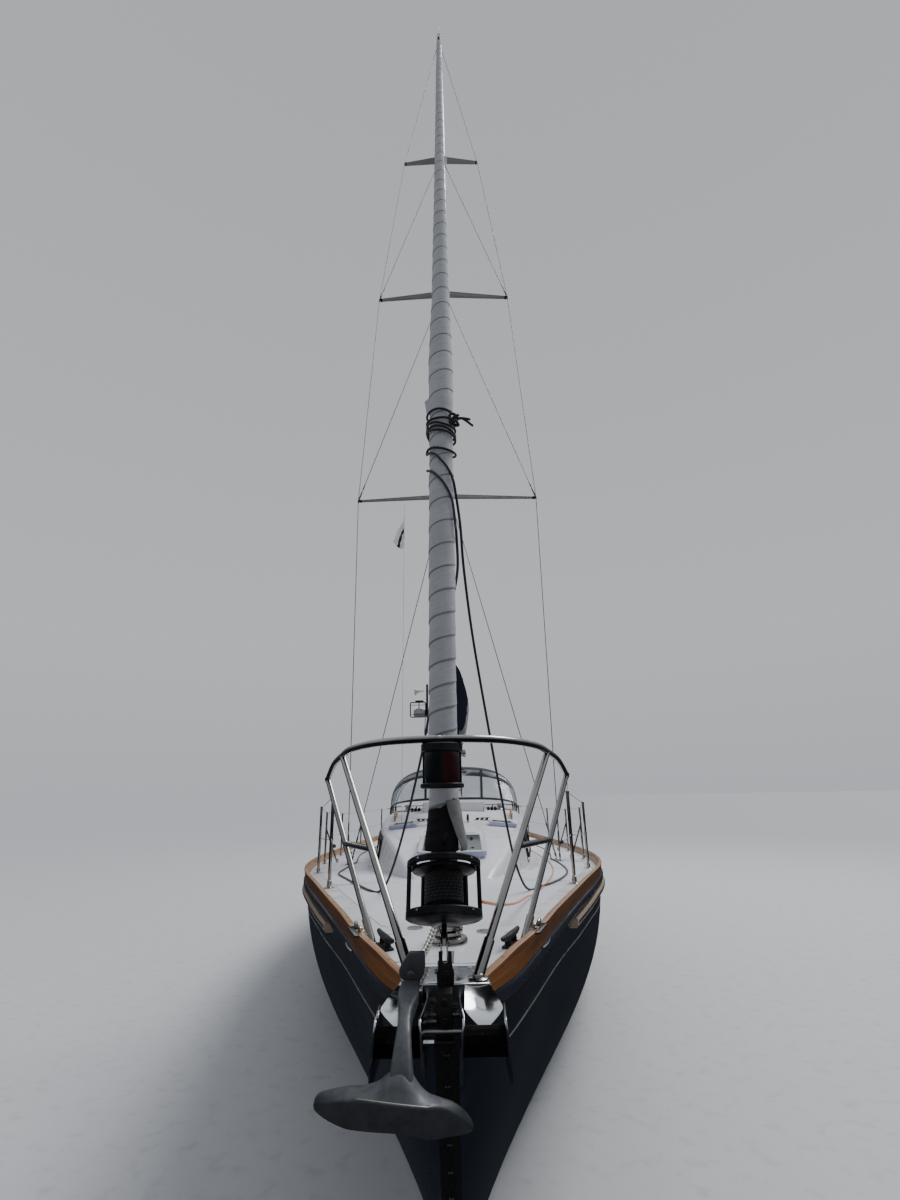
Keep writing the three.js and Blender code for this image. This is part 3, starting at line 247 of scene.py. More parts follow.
class Look:
    """A Principled material built up from procedural layers."""

    NAMES = {"coat": "Coat Weight", "coat_rough": "Coat Roughness", "specular": "Specular IOR Level",
             "sheen": "Sheen Weight", "sheen_rough": "Sheen Roughness", "alpha": "Alpha"}

    def __init__(self, name, color, roughness, metallic=0.0, coords="Object", **sockets):
        self.made = bpy.data.materials.new(name)
        self.made.use_nodes = True
        self.tree = self.made.node_tree
        self.shader = self.tree.nodes["Principled BSDF"].inputs
        self.coords = add_node(self.tree, "TexCoord").outputs[coords]
        self.color, self.bump = (*color, 1.0), None
        values = {"Base Color": self.color, "Roughness": roughness, "Metallic": metallic}
        values.update({self.NAMES[key]: value for key, value in sockets.items()})
        for key, value in values.items():
            self.shader[key].default_value = value

    def texture(self, kind, out, stretch, turn, values, **settings):
        where = add_node(self.tree, "Mapping", {"Scale": stretch, "Rotation": turn, "Vector": self.coords})
        values["Vector"] = where.outputs["Vector"]
        return add_node(self.tree, kind, values, **settings).outputs[out]

    def noise(self, scale, stretch=(1, 1, 1), detail=4.0, distortion=0.0):
        return self.texture("TexNoise", "Fac", stretch, (0, 0, 0),
                            {"Scale": scale, "Detail": detail, "Distortion": distortion})

    def wave(self, scale, direction, stretch=(1, 1, 1), turn=(0, 0, 0)):
        return self.texture("TexWave", "Fac", stretch, turn, {"Scale": scale}, bands_direction=direction)

    def cells(self, scale):
        return self.texture("TexVoronoi", "Distance", (1, 1, 1), (0, 0, 0), {"Scale": scale})

    def height(self):
        return add_node(self.tree, "SeparateXYZ", {0: self.coords}).outputs["Z"]

    def product(self, a, b, operation="MULTIPLY"):
        return add_node(self.tree, "Math", {0: a, 1: b}, operation=operation).outputs[0]

    def ranged(self, factor, low, high, start=0.0, end=1.0):
        return add_node(self.tree, "MapRange", {"From Min": low, "From Max": high, "To Min": start, "To Max": end,
                                                "Value": factor}).outputs["Result"]

    def tint(self, factor, color, low=0.4, high=0.6, most=1.0):
        """Mixes the colour so far towards another as the factor goes from low to high."""
        share = self.ranged(factor, low, high, 0.0, most)
        mix = add_node(self.tree, "Mix", {0: share, 6: self.color, 7: (*color, 1.0)}, data_type="RGBA")
        self.color = mix.outputs[2]
        self.tree.links.new(self.color, self.shader["Base Color"])
        return self

    def gloss(self, factor, start, end, low=0.3, high=0.7):
        self.tree.links.new(self.ranged(factor, low, high, start, end), self.shader["Roughness"])
        return self

    def relief(self, factor, height, strength=1.0):
        values = {"Distance": height, "Strength": strength, "Height": factor}
        if self.bump:
            values["Normal"] = self.bump
        self.bump = add_node(self.tree, "Bump", values).outputs["Normal"]
        self.tree.links.new(self.bump, self.shader["Normal"])
        return self


def make_navy():
    look = Look("navy_topsides", (0.0035, 0.0055, 0.012), 0.13, coat=0.35, coat_rough=0.04, specular=0.35)
    look.tint(look.noise(0.7, (1, 1, 3)), (0.006, 0.009, 0.018))
    look.tint(look.noise(9.0, (1, 1, 0.06), 6.0), (0.022, 0.026, 0.032), 0.56, 0.8, 0.5)
    height = look.height()
    low_down = look.product(look.ranged(height, 0.5, 0.08), look.noise(14.0, (1, 1, 0.4), 8.0))
    look.tint(low_down, (0.05, 0.055, 0.05), 0.25, 0.75, 0.5)
    for top, color in ((0.08, (0.012, 0.02, 0.05)), (0.06, (0.25, 0.26, 0.27)), (0.02, (0.010, 0.017, 0.045))):
        look.tint(height, color, top + 0.001, top)
    look.gloss(look.noise(6.0, detail=6.0), 0.09, 0.2)
    look.relief(look.noise(45.0, detail=2.0), 0.00012, 0.5)
    return look.relief(look.noise(1.4, (1, 1, 0.6), 1.0), 0.004, 0.35).made


def make_gelcoat(name, color, shade, roughness=0.3):
    look = Look(name, color, roughness, coat=0.3, coat_rough=0.15, specular=0.4)
    look.tint(look.noise(1.3, detail=6.0), shade, 0.42, 0.7)
    look.tint(look.noise(35.0, detail=6.0), toned(shade, 0.8), 0.6, 0.78, 0.6)
    look.gloss(look.noise(8.0, detail=5.0), roughness - 0.08, roughness + 0.16)
    return look.relief(look.noise(30.0, detail=2.0), 0.0002, 0.4).made


def make_nonskid():
    look = Look("deck_nonskid", (0.6, 0.615, 0.65), 0.72, specular=0.3)
    look.tint(look.noise(1.1, detail=7.0), (0.52, 0.535, 0.57), 0.4, 0.7)
    look.tint(look.noise(24.0, detail=8.0), (0.42, 0.42, 0.42), 0.58, 0.85, 0.7)
    pyramids = look.product(*(look.wave(52.0, axis, turn=(0, 0, 0.785)) for axis in "XY"))
    look.tint(pyramids, (0.68, 0.69, 0.72), 0.2, 0.8, 0.35)
    return look.relief(pyramids, 0.0012, 0.8).made


def make_wood(name, color, dark, light, roughness, coat, pores=0.5):
    look = Look(name, color, roughness, coords="UV", coat=coat, coat_rough=0.08, specular=0.4)
    look.tint(look.noise(3.0, (0.35, 22, 1), 6.0, 0.6), dark, 0.38, 0.62)
    look.tint(look.noise(5.0, (0.25, 45, 1), 5.0, 0.3), light, 0.5, 0.72, 0.8)
    look.tint(look.noise(40.0, (0.12, 18, 1), 3.0), toned(dark, 0.55), 0.6, 0.75, pores)
    look.tint(look.noise(0.9, (1, 3, 1), 2.0), toned(dark, 0.8), 0.5, 0.75, 0.55)
    look.gloss(look.noise(14.0, (0.4, 8, 1), 5.0), roughness - 0.1, roughness + 0.15)
    return look.relief(look.noise(40.0, (0.1, 20, 1), 4.0), 0.0004, 0.5).made


def make_steel(name="stainless", color=(0.36, 0.355, 0.345), low=0.07, high=0.22):
    look = Look(name, color, 0.15, 1.0)
    look.tint(look.noise(7.0, detail=8.0), toned(color, 0.72), 0.48, 0.75)
    look.tint(look.noise(60.0, (1, 1, 0.3), 6.0), (0.3, 0.22, 0.15), 0.7, 0.85, 0.25)
    look.gloss(look.noise(18.0, detail=8.0), low, high)
    return look.relief(look.noise(220.0, (1, 1, 0.08), 2.0), 0.00006, 0.5).made


def make_galvanised(name, color, roughness=0.5):
    look = Look(name, color, roughness, 0.75)
    look.tint(look.cells(70.0), toned(color, 1.15), 0.2, 0.7, 0.35)
    look.tint(look.noise(26.0, detail=9.0), toned(color, 0.55), 0.5, 0.72, 0.7)
    look.tint(look.noise(9.0, detail=9.0), (0.16, 0.1, 0.06), 0.66, 0.8, 0.5)
    look.gloss(look.noise(40.0, detail=6.0), roughness - 0.14, roughness + 0.18)
    look.relief(look.noise(90.0, detail=5.0), 0.0006, 0.5)
    return look.relief(look.cells(45.0), 0.0005, 0.35).made


def make_black(name, color, roughness=0.42, specular=0.25):
    look = Look(name, color, roughness, specular=specular)
    look.tint(look.noise(12.0, detail=8.0), (0.022, 0.022, 0.024), 0.5, 0.8)
    look.tint(look.noise(90.0, detail=6.0), (0.09, 0.09, 0.09), 0.66, 0.85, 0.5)
    look.gloss(look.noise(25.0, detail=6.0), roughness - 0.14, roughness + 0.16)
    return look.relief(look.noise(160.0, detail=3.0), 0.00025, 0.5).made


def make_spar(name, color, roughness=0.32, metallic=0.0):
    look = Look(name, color, roughness, metallic, coat=0.2, coat_rough=0.2)
    look.tint(look.noise(3.0, (1, 1, 0.15), 6.0), toned(color, 0.84), 0.42, 0.7)
    look.tint(look.noise(30.0, (1, 1, 0.05), 8.0), toned(color, 0.6), 0.6, 0.82, 0.5)
    look.gloss(look.noise(9.0, detail=5.0), roughness - 0.1, roughness + 0.15)
    return look.relief(look.noise(120.0, (1, 1, 0.05), 2.0), 0.0001, 0.5).made


def make_cloth(name, color, light, dark, threads, creases, sheen=0.25):
    look = Look(name, color, 0.85, coords="UV", sheen=sheen, sheen_rough=0.5, specular=0.2)
    look.tint(look.noise(2.2, (1, 1, 1), 5.0), light, 0.45, 0.72, 0.8)
    look.tint(look.noise(9.0, (1, 2.5, 1), 7.0), dark, 0.5, 0.75, 0.55)
    look.tint(look.noise(120.0, detail=3.0), dark, 0.55, 0.8, 0.35)
    look.relief(look.noise(5.0, (1, 2, 1), 3.0, 0.4), creases, 0.5)
    weave = look.product(look.wave(threads, "X"), look.wave(threads, "Y"), "ADD")
    return look.relief(weave, 0.00035, 0.6).made


def make_rope(name, color, fleck):
    look = Look(name, color, 0.75, coords="UV", sheen=0.2, sheen_rough=0.5, specular=0.2)
    braid = look.product(*(look.wave(42.0, "DIAGONAL", (1, lay, 1)) for lay in (1, -1)))
    look.tint(braid, fleck, 0.25, 0.75, 0.8)
    look.tint(look.noise(4.0, (1, 3, 1), 6.0), toned(color, 0.6), 0.5, 0.75, 0.6)
    return look.relief(braid, 0.0012, 0.8).made


def make_vinyl():
    look = Look("clear_vinyl", (0.36, 0.4, 0.45), 0.12, coords="UV", alpha=0.36, specular=0.6)
    look.tint(look.noise(3.0, (1, 0.5, 1), 4.0), (0.7, 0.73, 0.76), 0.5, 0.7)
    look.gloss(look.noise(6.0, detail=5.0), 0.06, 0.3)
    return look.relief(look.noise(2.6, (1, 0.6, 1), 2.0, 0.8), 0.03, 0.7).made


def make_acrylic(name, color, roughness=0.07):
    look = Look(name, color, roughness, coat=0.5, coat_rough=0.03, specular=0.5)
    look.tint(look.noise(2.5, detail=3.0), toned(color, 1.6), 0.4, 0.7)
    look.tint(look.noise(50.0, detail=8.0), (0.2, 0.2, 0.2), 0.66, 0.9, 0.3)
    look.gloss(look.noise(14.0, detail=6.0), roughness - 0.03, roughness + 0.12)
    return look.relief(look.noise(3.0, detail=1.0), 0.0006, 0.3).made


def make_paint(name, color, shade, roughness, rough_height=0.0008, scale=60.0):
    look = Look(name, color, roughness)
    look.tint(look.noise(4.0, detail=8.0), shade, 0.42, 0.68)
    look.tint(look.noise(scale, detail=5.0), toned(shade, 0.7), 0.55, 0.8, 0.6)
    look.gloss(look.noise(22.0, detail=5.0), roughness - 0.1, roughness + 0.1)
    return look.relief(look.noise(scale, detail=4.0), rough_height, 0.6).made


NAVY = make_navy()
WHITE = make_gelcoat("deck_gelcoat", (0.7, 0.715, 0.74), (0.6, 0.615, 0.645))
LINER = make_gelcoat("cabin_liner", (0.62, 0.6, 0.55), (0.52, 0.5, 0.45), 0.5)
GREY_BAND = make_gelcoat("grey_moulding", (0.026, 0.03, 0.041), (0.017, 0.02, 0.029), 0.16)
NONSKID = make_nonskid()
VARNISHED, RAIL_TOP, BARE_TEAK, PLUG = (make_wood(f"teak_{name}", *rest) for name, *rest in (
    ("varnished", (0.215, 0.083, 0.019), (0.125, 0.043, 0.010), (0.31, 0.135, 0.036), 0.34, 0.4),
    ("rail_top", (0.36, 0.2, 0.095), (0.24, 0.125, 0.058), (0.46, 0.29, 0.165), 0.5, 0.2),
    ("weathered", (0.3, 0.235, 0.17), (0.19, 0.14, 0.1), (0.4, 0.33, 0.25), 0.72, 0.0, 0.8),
    ("plug", (0.16, 0.08, 0.035), (0.1, 0.05, 0.02), (0.2, 0.11, 0.05), 0.6, 0.0)))
STEEL = make_steel()
RIGGING = make_steel("rigging_wire", (0.22, 0.22, 0.23), 0.3, 0.5)
POLISHED = make_steel("polished_fitting", (0.66, 0.67, 0.69), 0.05, 0.2)
DARK_STEEL = make_steel("weathered_steel", (0.3, 0.3, 0.3), 0.2, 0.42)
TANG = make_galvanised("weathered_tang", (0.034, 0.032, 0.03), 0.5)
GALVANISED = make_galvanised("galvanised_iron", (0.1, 0.106, 0.116), 0.56)
CHAIN = make_galvanised("galvanised_chain", (0.3, 0.3, 0.28), 0.42)
BRONZE = make_galvanised("propeller_bronze", (0.42, 0.27, 0.11), 0.38)
BLACK = make_black("black_anodised", (0.005, 0.005, 0.006), 0.48, 0.18)
MATT_BLACK = make_black("black_plastic", (0.008, 0.008, 0.009), 0.55)
# Black rubber darkened further and almost without specular: partly the rollers' own black, partly painted shade between
# the cheeks.
ROLLER_IN_SHADE = make_black("roller_rubber_and_painted_shade", (0.0025, 0.0025, 0.003), 0.8, 0.05)
GREY_PLASTIC = make_black("grey_plastic", (0.26, 0.27, 0.28), 0.45)
SEALANT = make_black("deck_sealant", (0.12, 0.12, 0.125), 0.6)
SPAR = make_spar("spar_paint", (0.56, 0.57, 0.57))
SPREADER = make_spar("spreader_alloy", (0.3, 0.31, 0.3), 0.4, 0.5)
STRIPE = make_spar("stripe_silver", (0.62, 0.63, 0.62), 0.3, 0.6)
SAIL, SEAM_TAPE_AND_SHADE, TACK_CLOTH, FOLD_CLOTH, CANVAS, BINDING, FLAG_WHITE, FLAG_DARK = (make_cloth(*row) for row in (
    ("sailcloth", (0.285, 0.292, 0.31), (0.35, 0.36, 0.38), (0.215, 0.222, 0.236), 150.0, 0.006),
    # Darker cloth for the lip of each turn: partly edge tape, partly painted shadow under the overlapping edge.
    ("sailcloth_edge_tape_and_shade", (0.13, 0.135, 0.14), (0.18, 0.18, 0.19), (0.08, 0.08, 0.09), 150.0, 0.002),
    ("tack_patch", (0.006, 0.0055, 0.007), (0.014, 0.013, 0.016), (0.003, 0.003, 0.0035), 220.0, 0.004, 0.05),
    ("tack_fold", (0.115, 0.117, 0.112), (0.2, 0.2, 0.195), (0.05, 0.052, 0.05), 150.0, 0.006),
    ("canvas_navy", (0.008, 0.010, 0.024), (0.014, 0.017, 0.036), (0.005, 0.006, 0.012), 170.0, 0.012),
    ("binding_navy", (0.006, 0.007, 0.013), (0.012, 0.013, 0.02), (0.003, 0.003, 0.006), 260.0, 0.001),
    ("bunting_white", (0.72, 0.72, 0.73), (0.8, 0.8, 0.8), (0.6, 0.6, 0.62), 260.0, 0.002),
    ("bunting_dark", (0.02, 0.022, 0.035), (0.03, 0.03, 0.05), (0.01, 0.01, 0.02), 260.0, 0.002)))
BLACK_ROPE = make_rope("black_braid", (0.012, 0.013, 0.016), (0.04, 0.042, 0.05))
ORANGE_ROPE = make_rope("orange_braid", (0.62, 0.2, 0.09), (0.78, 0.36, 0.22))
GREY_ROPE = make_rope("grey_braid", (0.3, 0.32, 0.35), (0.5, 0.52, 0.55))
SPOOL_LINE = make_rope("spool_line", (0.006, 0.006, 0.007), (0.016, 0.014, 0.013))
VINYL = make_vinyl()
SMOKED = make_acrylic("smoked_acrylic", (0.02, 0.026, 0.034))
BLUE_EDGE = make_acrylic("acrylic_edge", (0.27, 0.29, 0.46), 0.2)
GREEN_LENS = make_acrylic("lens_green", (0.0007, 0.0025, 0.0035), 0.14)
RED_LENS = make_acrylic("lens_red", (0.02, 0.0012, 0.0018), 0.14)
WHITE_LENS = make_acrylic("lens_white", (0.4, 0.42, 0.42), 0.12)
ANTIFOULING = make_paint("antifouling", (0.012, 0.02, 0.05), (0.02, 0.032, 0.06), 0.8, 0.0015)
ENGINE_PAINT = make_paint("engine_enamel", (0.26, 0.3, 0.3), (0.2, 0.23, 0.23), 0.4)


# Shapes


class Shape:
    """Points and faces of one piece, with a material index and UVs in metres for each face."""

    def __init__(self):
        self.points, self.faces, self.uvs, self.slots = [], [], [], []

    def add(self, points, faces, uvs, slots):
        base = len(self.points)
        self.points += [Vector(p) for p in points]
        self.faces += [[base + i for i in face] for face in faces]
        self.uvs += uvs
        self.slots += slots

    def join(self, other):
        self.add(other.points, other.faces, other.uvs, other.slots)

    def flip(self):
        """Turns it into its mirror image across the centreline."""
        self.points = [vec(-p.x, p.y, p.z) for p in self.points]
        return self

    def mirror(self):
        """Adds the mirror image across the centreline."""
        other = Shape()
        other.join(self)
        self.join(other.flip())
        return self


def loft(shape, rings, slot=0, closed=True, ends=True, loop=False, pick=None):
    """Skin through rings of equal length. pick(j) gives a strip round the ring its own material."""
    rows = [[Vector(p) for p in ring] for ring in rings]
    count, size = len(rows), len(rows[0])
    along, around = [0.0], [0.0]
    for a, b in zip(rows, rows[1:] + rows[:1]):
        along.append(along[-1] + sum((q - p).length for p, q in zip(a, b)) / size)
    middle = rows[count // 2]
    for p, q in zip(middle, middle[1:] + middle[:1]):
        around.append(around[-1] + (q - p).length)
    faces, uvs, slots = [], [], []
    for i in range(count - 1 + loop):
        for j in range(size - 1 + closed):
            k, m = (i + 1) % count, (j + 1) % size
            faces.append([i * size + j, i * size + m, k * size + m, k * size + j])
            uvs.append([(along[i], around[j]), (along[i], around[j + 1]),
                        (along[i + 1], around[j + 1]), (along[i + 1], around[j])])
            slots.append(pick(j) if pick else slot)
    if ends and not loop:
        for i in (0, count - 1):
            faces.append([i * size + j for j in range(size)])
            uvs.append([(p.x + p.y, p.z) for p in rows[i]])
            slots.append(slot)
    shape.add([p for ring in rows for p in ring], faces, uvs, slots)


def curve_at(a, b, c, d, t):
    """Catmull-Rom between b and c."""
    return 0.5 * (2 * b + (c - a) * t + (2 * a - 5 * b + 4 * c - d) * t**2 + (3 * b - a - 3 * c + d) * t**3)


def smooth(points, steps=6):
    """A smooth line through the points, with so many steps between two of them."""
    pts = [Vector(p) for p in points]
    pts = [pts[0], *pts, pts[-1]]
    return [curve_at(*pts[i : i + 4], k / steps) for i in range(len(pts) - 3) for k in range(steps)] + [pts[-1]]


def tube(shape, path, radius, sides=12, slot=0, loop=False):
    """A round bar along a path; radius may be a list of one value for each point."""
    pts = [Vector(p) for p in path]
    radii = radius if isinstance(radius, list) else [radius] * len(pts)
    last = len(pts) - 1
    side = (pts[1] - pts[0]).normalized().orthogonal().normalized()
    rings = []
    for i, p in enumerate(pts):
        before, after = (pts[i - 1], pts[(i + 1) % len(pts)]) if loop else (pts[max(i - 1, 0)], pts[min(i + 1, last)])
        along = (after - before).normalized()
        side = (side - along * side.dot(along)).normalized()
        other = along.cross(side)
        rings.append([p + radii[i] * (side * cos(a) + other * sin(a)) for a in circle(sides)])
    loft(shape, rings, slot, loop=loop)


def rod(shape, start, end, radius, sides=12, slot=0, end_radius=None):
    tube(shape, [start, end], [radius, end_radius or radius], sides, slot)


def axes(origin, x_axis, y_axis):
    """A frame with the given origin and first two axes."""
    x, y = Vector(x_axis).normalized(), Vector(y_axis).normalized()
    return Matrix.Translation(origin) @ Matrix((x, y, x.cross(y))).transposed().to_4x4()


def facing_ahead(point):
    return axes(point, X, Z)


def facing_port(point):
    return axes(point, Y, Z)


def placed(place):
    """A place is a frame, or a point for one that stands upright there."""
    return place if isinstance(place, Matrix) else Matrix.Translation(place)


def turned(shape, profile, place, sides=40, slot=0, loop=False, pick=None):
    """A lathe piece: profile rows are radius and height along the place's Z."""
    place = placed(place)
    rings = [[place @ vec(max(r, 0.0004) * cos(a), max(r, 0.0004) * sin(a), h) for a in circle(sides)]
             for r, h in profile]
    start = len(shape.slots)
    loft(shape, rings, slot, loop=loop)
    if pick:
        for i in range(len(profile) - 1):
            for j in range(sides):
                shape.slots[start + i * sides + j] = pick(i)


def round_edges(made, edges, bevel, segments):
    if bevel:
        bmesh.ops.bevel(made, geom=edges, offset=bevel, segments=segments, profile=0.5, affect="EDGES")


def pour(shape, made, place, slot):
    """Adds a bmesh, with UVs along the two axes that each face lies in, the part's longer one first."""
    place = placed(place)
    made.normal_update()
    made.verts.index_update()
    spans = [max(v.co[k] for v in made.verts) - min(v.co[k] for v in made.verts) for k in range(3)]
    faces, uvs = [], []
    for face in made.faces:
        flat = max(range(3), key=lambda k: abs(face.normal[k]))
        a, b = sorted((k for k in range(3) if k != flat), key=lambda k: -spans[k])
        faces.append([v.index for v in face.verts])
        uvs.append([(v.co[a], v.co[b]) for v in face.verts])
    shape.add([place @ v.co for v in made.verts], faces, uvs, [slot] * len(faces))
    made.free()


def block(shape, low, high, bevel=0.004, slot=0, place=(0, 0, 0), segments=2):
    """A box with rounded edges between two corners."""
    made = bmesh.new()
    bmesh.ops.create_cube(made, size=1.0)
    bmesh.ops.scale(made, vec=Vector(high) - Vector(low), verts=made.verts)
    round_edges(made, made.edges[:], bevel, segments)
    bmesh.ops.translate(made, vec=(Vector(high) + Vector(low)) / 2, verts=made.verts)
    pour(shape, made, place, slot)


def slab(shape, x0, x1, s0, s1, z0, z1, bevel=0.004, slot=0, segments=2):
    """A block given by its limits across, along and in height."""
    block(shape, at(x0, s0, z0), at(x1, s1, z1), bevel, slot, segments=segments)


def plate(shape, outline, thick, place, bevel=0.0015, slot=0, segments=2):
    """A plate with rounded edges: its outline in the place's X and Y, its thickness along Z."""
    made = bmesh.new()
    face = made.faces.new([made.verts.new((x, y, 0)) for x, y in outline])
    grown = bmesh.ops.extrude_face_region(made, geom=[face])["geom"]
    lifted = [v for v in grown if isinstance(v, bmesh.types.BMVert)]
    bmesh.ops.translate(made, verts=lifted, vec=(0, 0, thick))
    bmesh.ops.recalc_face_normals(made, faces=made.faces)
    rims = [e for e in made.edges if abs(e.verts[0].co.z - e.verts[1].co.z) < 1e-6]
    round_edges(made, rims, bevel, segments)
    pour(shape, made, place, slot)


def shell(shape, grid, thick, slot=0):
    """A thin closed sheet over a grid of points."""
    rows = [[Vector(p) for p in row] for row in grid]
    n, m = len(rows), len(rows[0])

    def behind(i, j):
        a = rows[min(i + 1, n - 1)][j] - rows[max(i - 1, 0)][j]
        b = rows[i][min(j + 1, m - 1)] - rows[i][max(j - 1, 0)]
        return rows[i][j] - a.cross(b).normalized() * thick

    size, base = 2 * m, len(shape.points)
    loft(shape, [rows[i] + [behind(i, j) for j in range(m)][::-1] for i in range(n)], slot, ends=False)
    for i in (0, n - 1):
        for j in range(m - 1):
            quad = [i * size + j, i * size + j + 1, i * size + size - 2 - j, i * size + size - 1 - j]
            shape.faces.append([base + k for k in quad])
            shape.uvs.append(mm(0, 0, 10, 0, 10, 10, 0, 10))
            shape.slots.append(slot)


def shade(mesh, angle):
    mesh.shade_smooth()
    mesh.set_sharp_from_angle(angle=radians(angle))


def mesh_of(name, shape, looks, angle):
    mesh = bpy.data.meshes.new(name)
    mesh.from_pydata([tuple(p) for p in shape.points], [], shape.faces)
    layer = mesh.uv_layers.new(name="UVMap")
    layer.data.foreach_set("uv", [c for uv in shape.uvs for pair in uv for c in pair])
    mesh.polygons.foreach_set("material_index", shape.slots)
    for look in looks:
        mesh.materials.append(look)
    made = bmesh.new()
    made.from_mesh(mesh)
    bmesh.ops.remove_doubles(made, verts=made.verts, dist=2e-5)
    bmesh.ops.dissolve_degenerate(made, dist=1e-6, edges=made.edges)
    bmesh.ops.recalc_face_normals(made, faces=made.faces)
    made.to_mesh(mesh)
    made.free()
    shade(mesh, angle)
    return mesh


def piece(name, shape, looks, body="root", replaces=(), angle=38):
    looks = looks if isinstance(looks, list) else [looks]
    made = show(name, mesh_of(name, shape, looks, angle))
    if body:
        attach(made, body)
    if replaces:
        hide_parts(*replaces)
    return made


def both_sides(name, shape, looks, replaces=""):
    """The port piece and its mirror image, each in place of its side's node."""
    for side in SIDES.values():
        nodes = [f"{side}_{replaces}"] if replaces else ()
        piece(f"{side}_{name}", shape, looks, replaces=nodes)
        shape.flip()


def carve(thing, tools, angle=38):
    """Cuts the tools' shapes out of a piece."""
    cutters = []
    for k, tool in enumerate(tools):
        cutter = show(f"cutter{k}", mesh_of(f"cutter{k}", tool, thing.data.materials[:], angle))
        modifier = thing.modifiers.new(f"cut{k}", "BOOLEAN")
        modifier.object, modifier.operation, modifier.solver = cutter, "DIFFERENCE", "EXACT"
        cutters.append(cutter)
    bpy.context.view_layer.update()
    result = bpy.data.meshes.new_from_object(thing.evaluated_get(bpy.context.evaluated_depsgraph_get()))
    thing.modifiers.clear()
    thing.data = result
    shade(result, angle)
    for cutter in cutters:
        bpy.data.objects.remove(cutter)


def dress(node, look, bevel=0.0, angle=32):
    """Gives a kept CAD node its material and softens its edges."""
    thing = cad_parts[node]
    if not thing.data.materials:
        thing.data.materials.append(look)
    for holder in thing.material_slots:
        holder.material = look
    shade(thing.data, angle)
    if bevel:
        modifier = thing.modifiers.new("edges", "BEVEL")
        modifier.width, modifier.segments, modifier.limit_method = bevel, 2, "ANGLE"
        modifier.angle_limit, modifier.harden_normals = radians(30), False


def round_loop(half_x, half_y, radius, per=8):
    """A closed rectangle with rounded corners, as points in X and Y."""
    loop = []
    for cx, cy, start in ((1, 1, 0), (-1, 1, 90), (-1, -1, 180), (1, -1, 270)):
        for k in range(per + 1):
            a = radians(start + 90 * k / per)
            loop.append((cx * (half_x - radius) + radius * cos(a), cy * (half_y - radius) + radius * sin(a)))
    return loop


# The stay and the sail rolled on it

STAY_FOOT, STAY_HEAD = at(0, 0.03, 1.575), at(0, 5.16, 16.44)
STAY = (STAY_HEAD - STAY_FOOT).normalized()


def stay_at(z):
    return STAY_FOOT + STAY * ((z - STAY_FOOT.z) / STAY.z)


def stay_place(z):
    """A frame on the stay: Z runs up it and X points to port."""
    return axes(stay_at(z), X, STAY.cross(Vector(X)))


GENOA_LOW, GENOA_TOP = 1.9, 16.05
GENOA = [(1.9, 0.05), (2.3, 0.054), (3.3, 0.063), (4.0, 0.071), (4.7, 0.08), (5.0, 0.076), (5.6, 0.068), (7.2, 0.06),
         (9.2, 0.055), (12.0, 0.051), (16.05, 0.044)]


def genoa_radius(z):
    for (z0, r0), (z1, r1) in zip(GENOA, GENOA[1:]):
        if z <= z1:
            t = clamp((z - z0) / (z1 - z0))
            return r0 + (r1 - r0) * t * t * (3 - 2 * t)
    return GENOA[-1][1]


def round_sail(angle, z, gap=0.0):
    """A point round the rolled sail; angle 0 is to port and 270 straight ahead."""
    a, r = radians(angle), genoa_radius(z) + gap
    return stay_at(z) + vec(r * cos(a), r * sin(a), 0)


# Slack lines

SHEET = 0.014
LIMP = {"stiffness": "limp", "lay": "loose"}
TURNING = (3.45, 2.2)


def cord_piece(name, path, diameter, look, turning=None, **facts):
    """A cord on the hull, or, when turning heights are given, a cord left unattached to any body; the heights
    themselves are not used.
    """
    shape = Shape()
    tube(shape, path, diameter / 2, 10)
    made = piece(name, shape, look, None if turning else "root", angle=180)
    if turning:
        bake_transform(made)


def sheet_route(side, start):
    """A jib sheet: down from the clew's wraps to the foredeck, then aft along the side deck to its winch."""
    deck = mm(490, 2080, 570, 2220, 730, 2560, 900, 3100, 1030, 3750)
    if side == STARBOARD:
        deck = mm(455, 2100, 530, 2200, 650, 2520, 840, 3100, 1050, 3850)
    deck += mm(1120, 4500, 1185, 5400, 1205, 5800, 1320, 6600, 1430, 7600, 1430, 8400, 1410, 8950)
    aft = [at(side * x, s, z) for x, s, z in (
        (1.34, 9.45, 1.27), (1.225, 9.85, 1.5), (1.15, 10.05, 1.575), (1.131, 10.15, 1.58))]
    return smooth(start + [on_deck(side * x, s, SHEET / 2 + 0.003) for x, s in deck] + aft, 8)


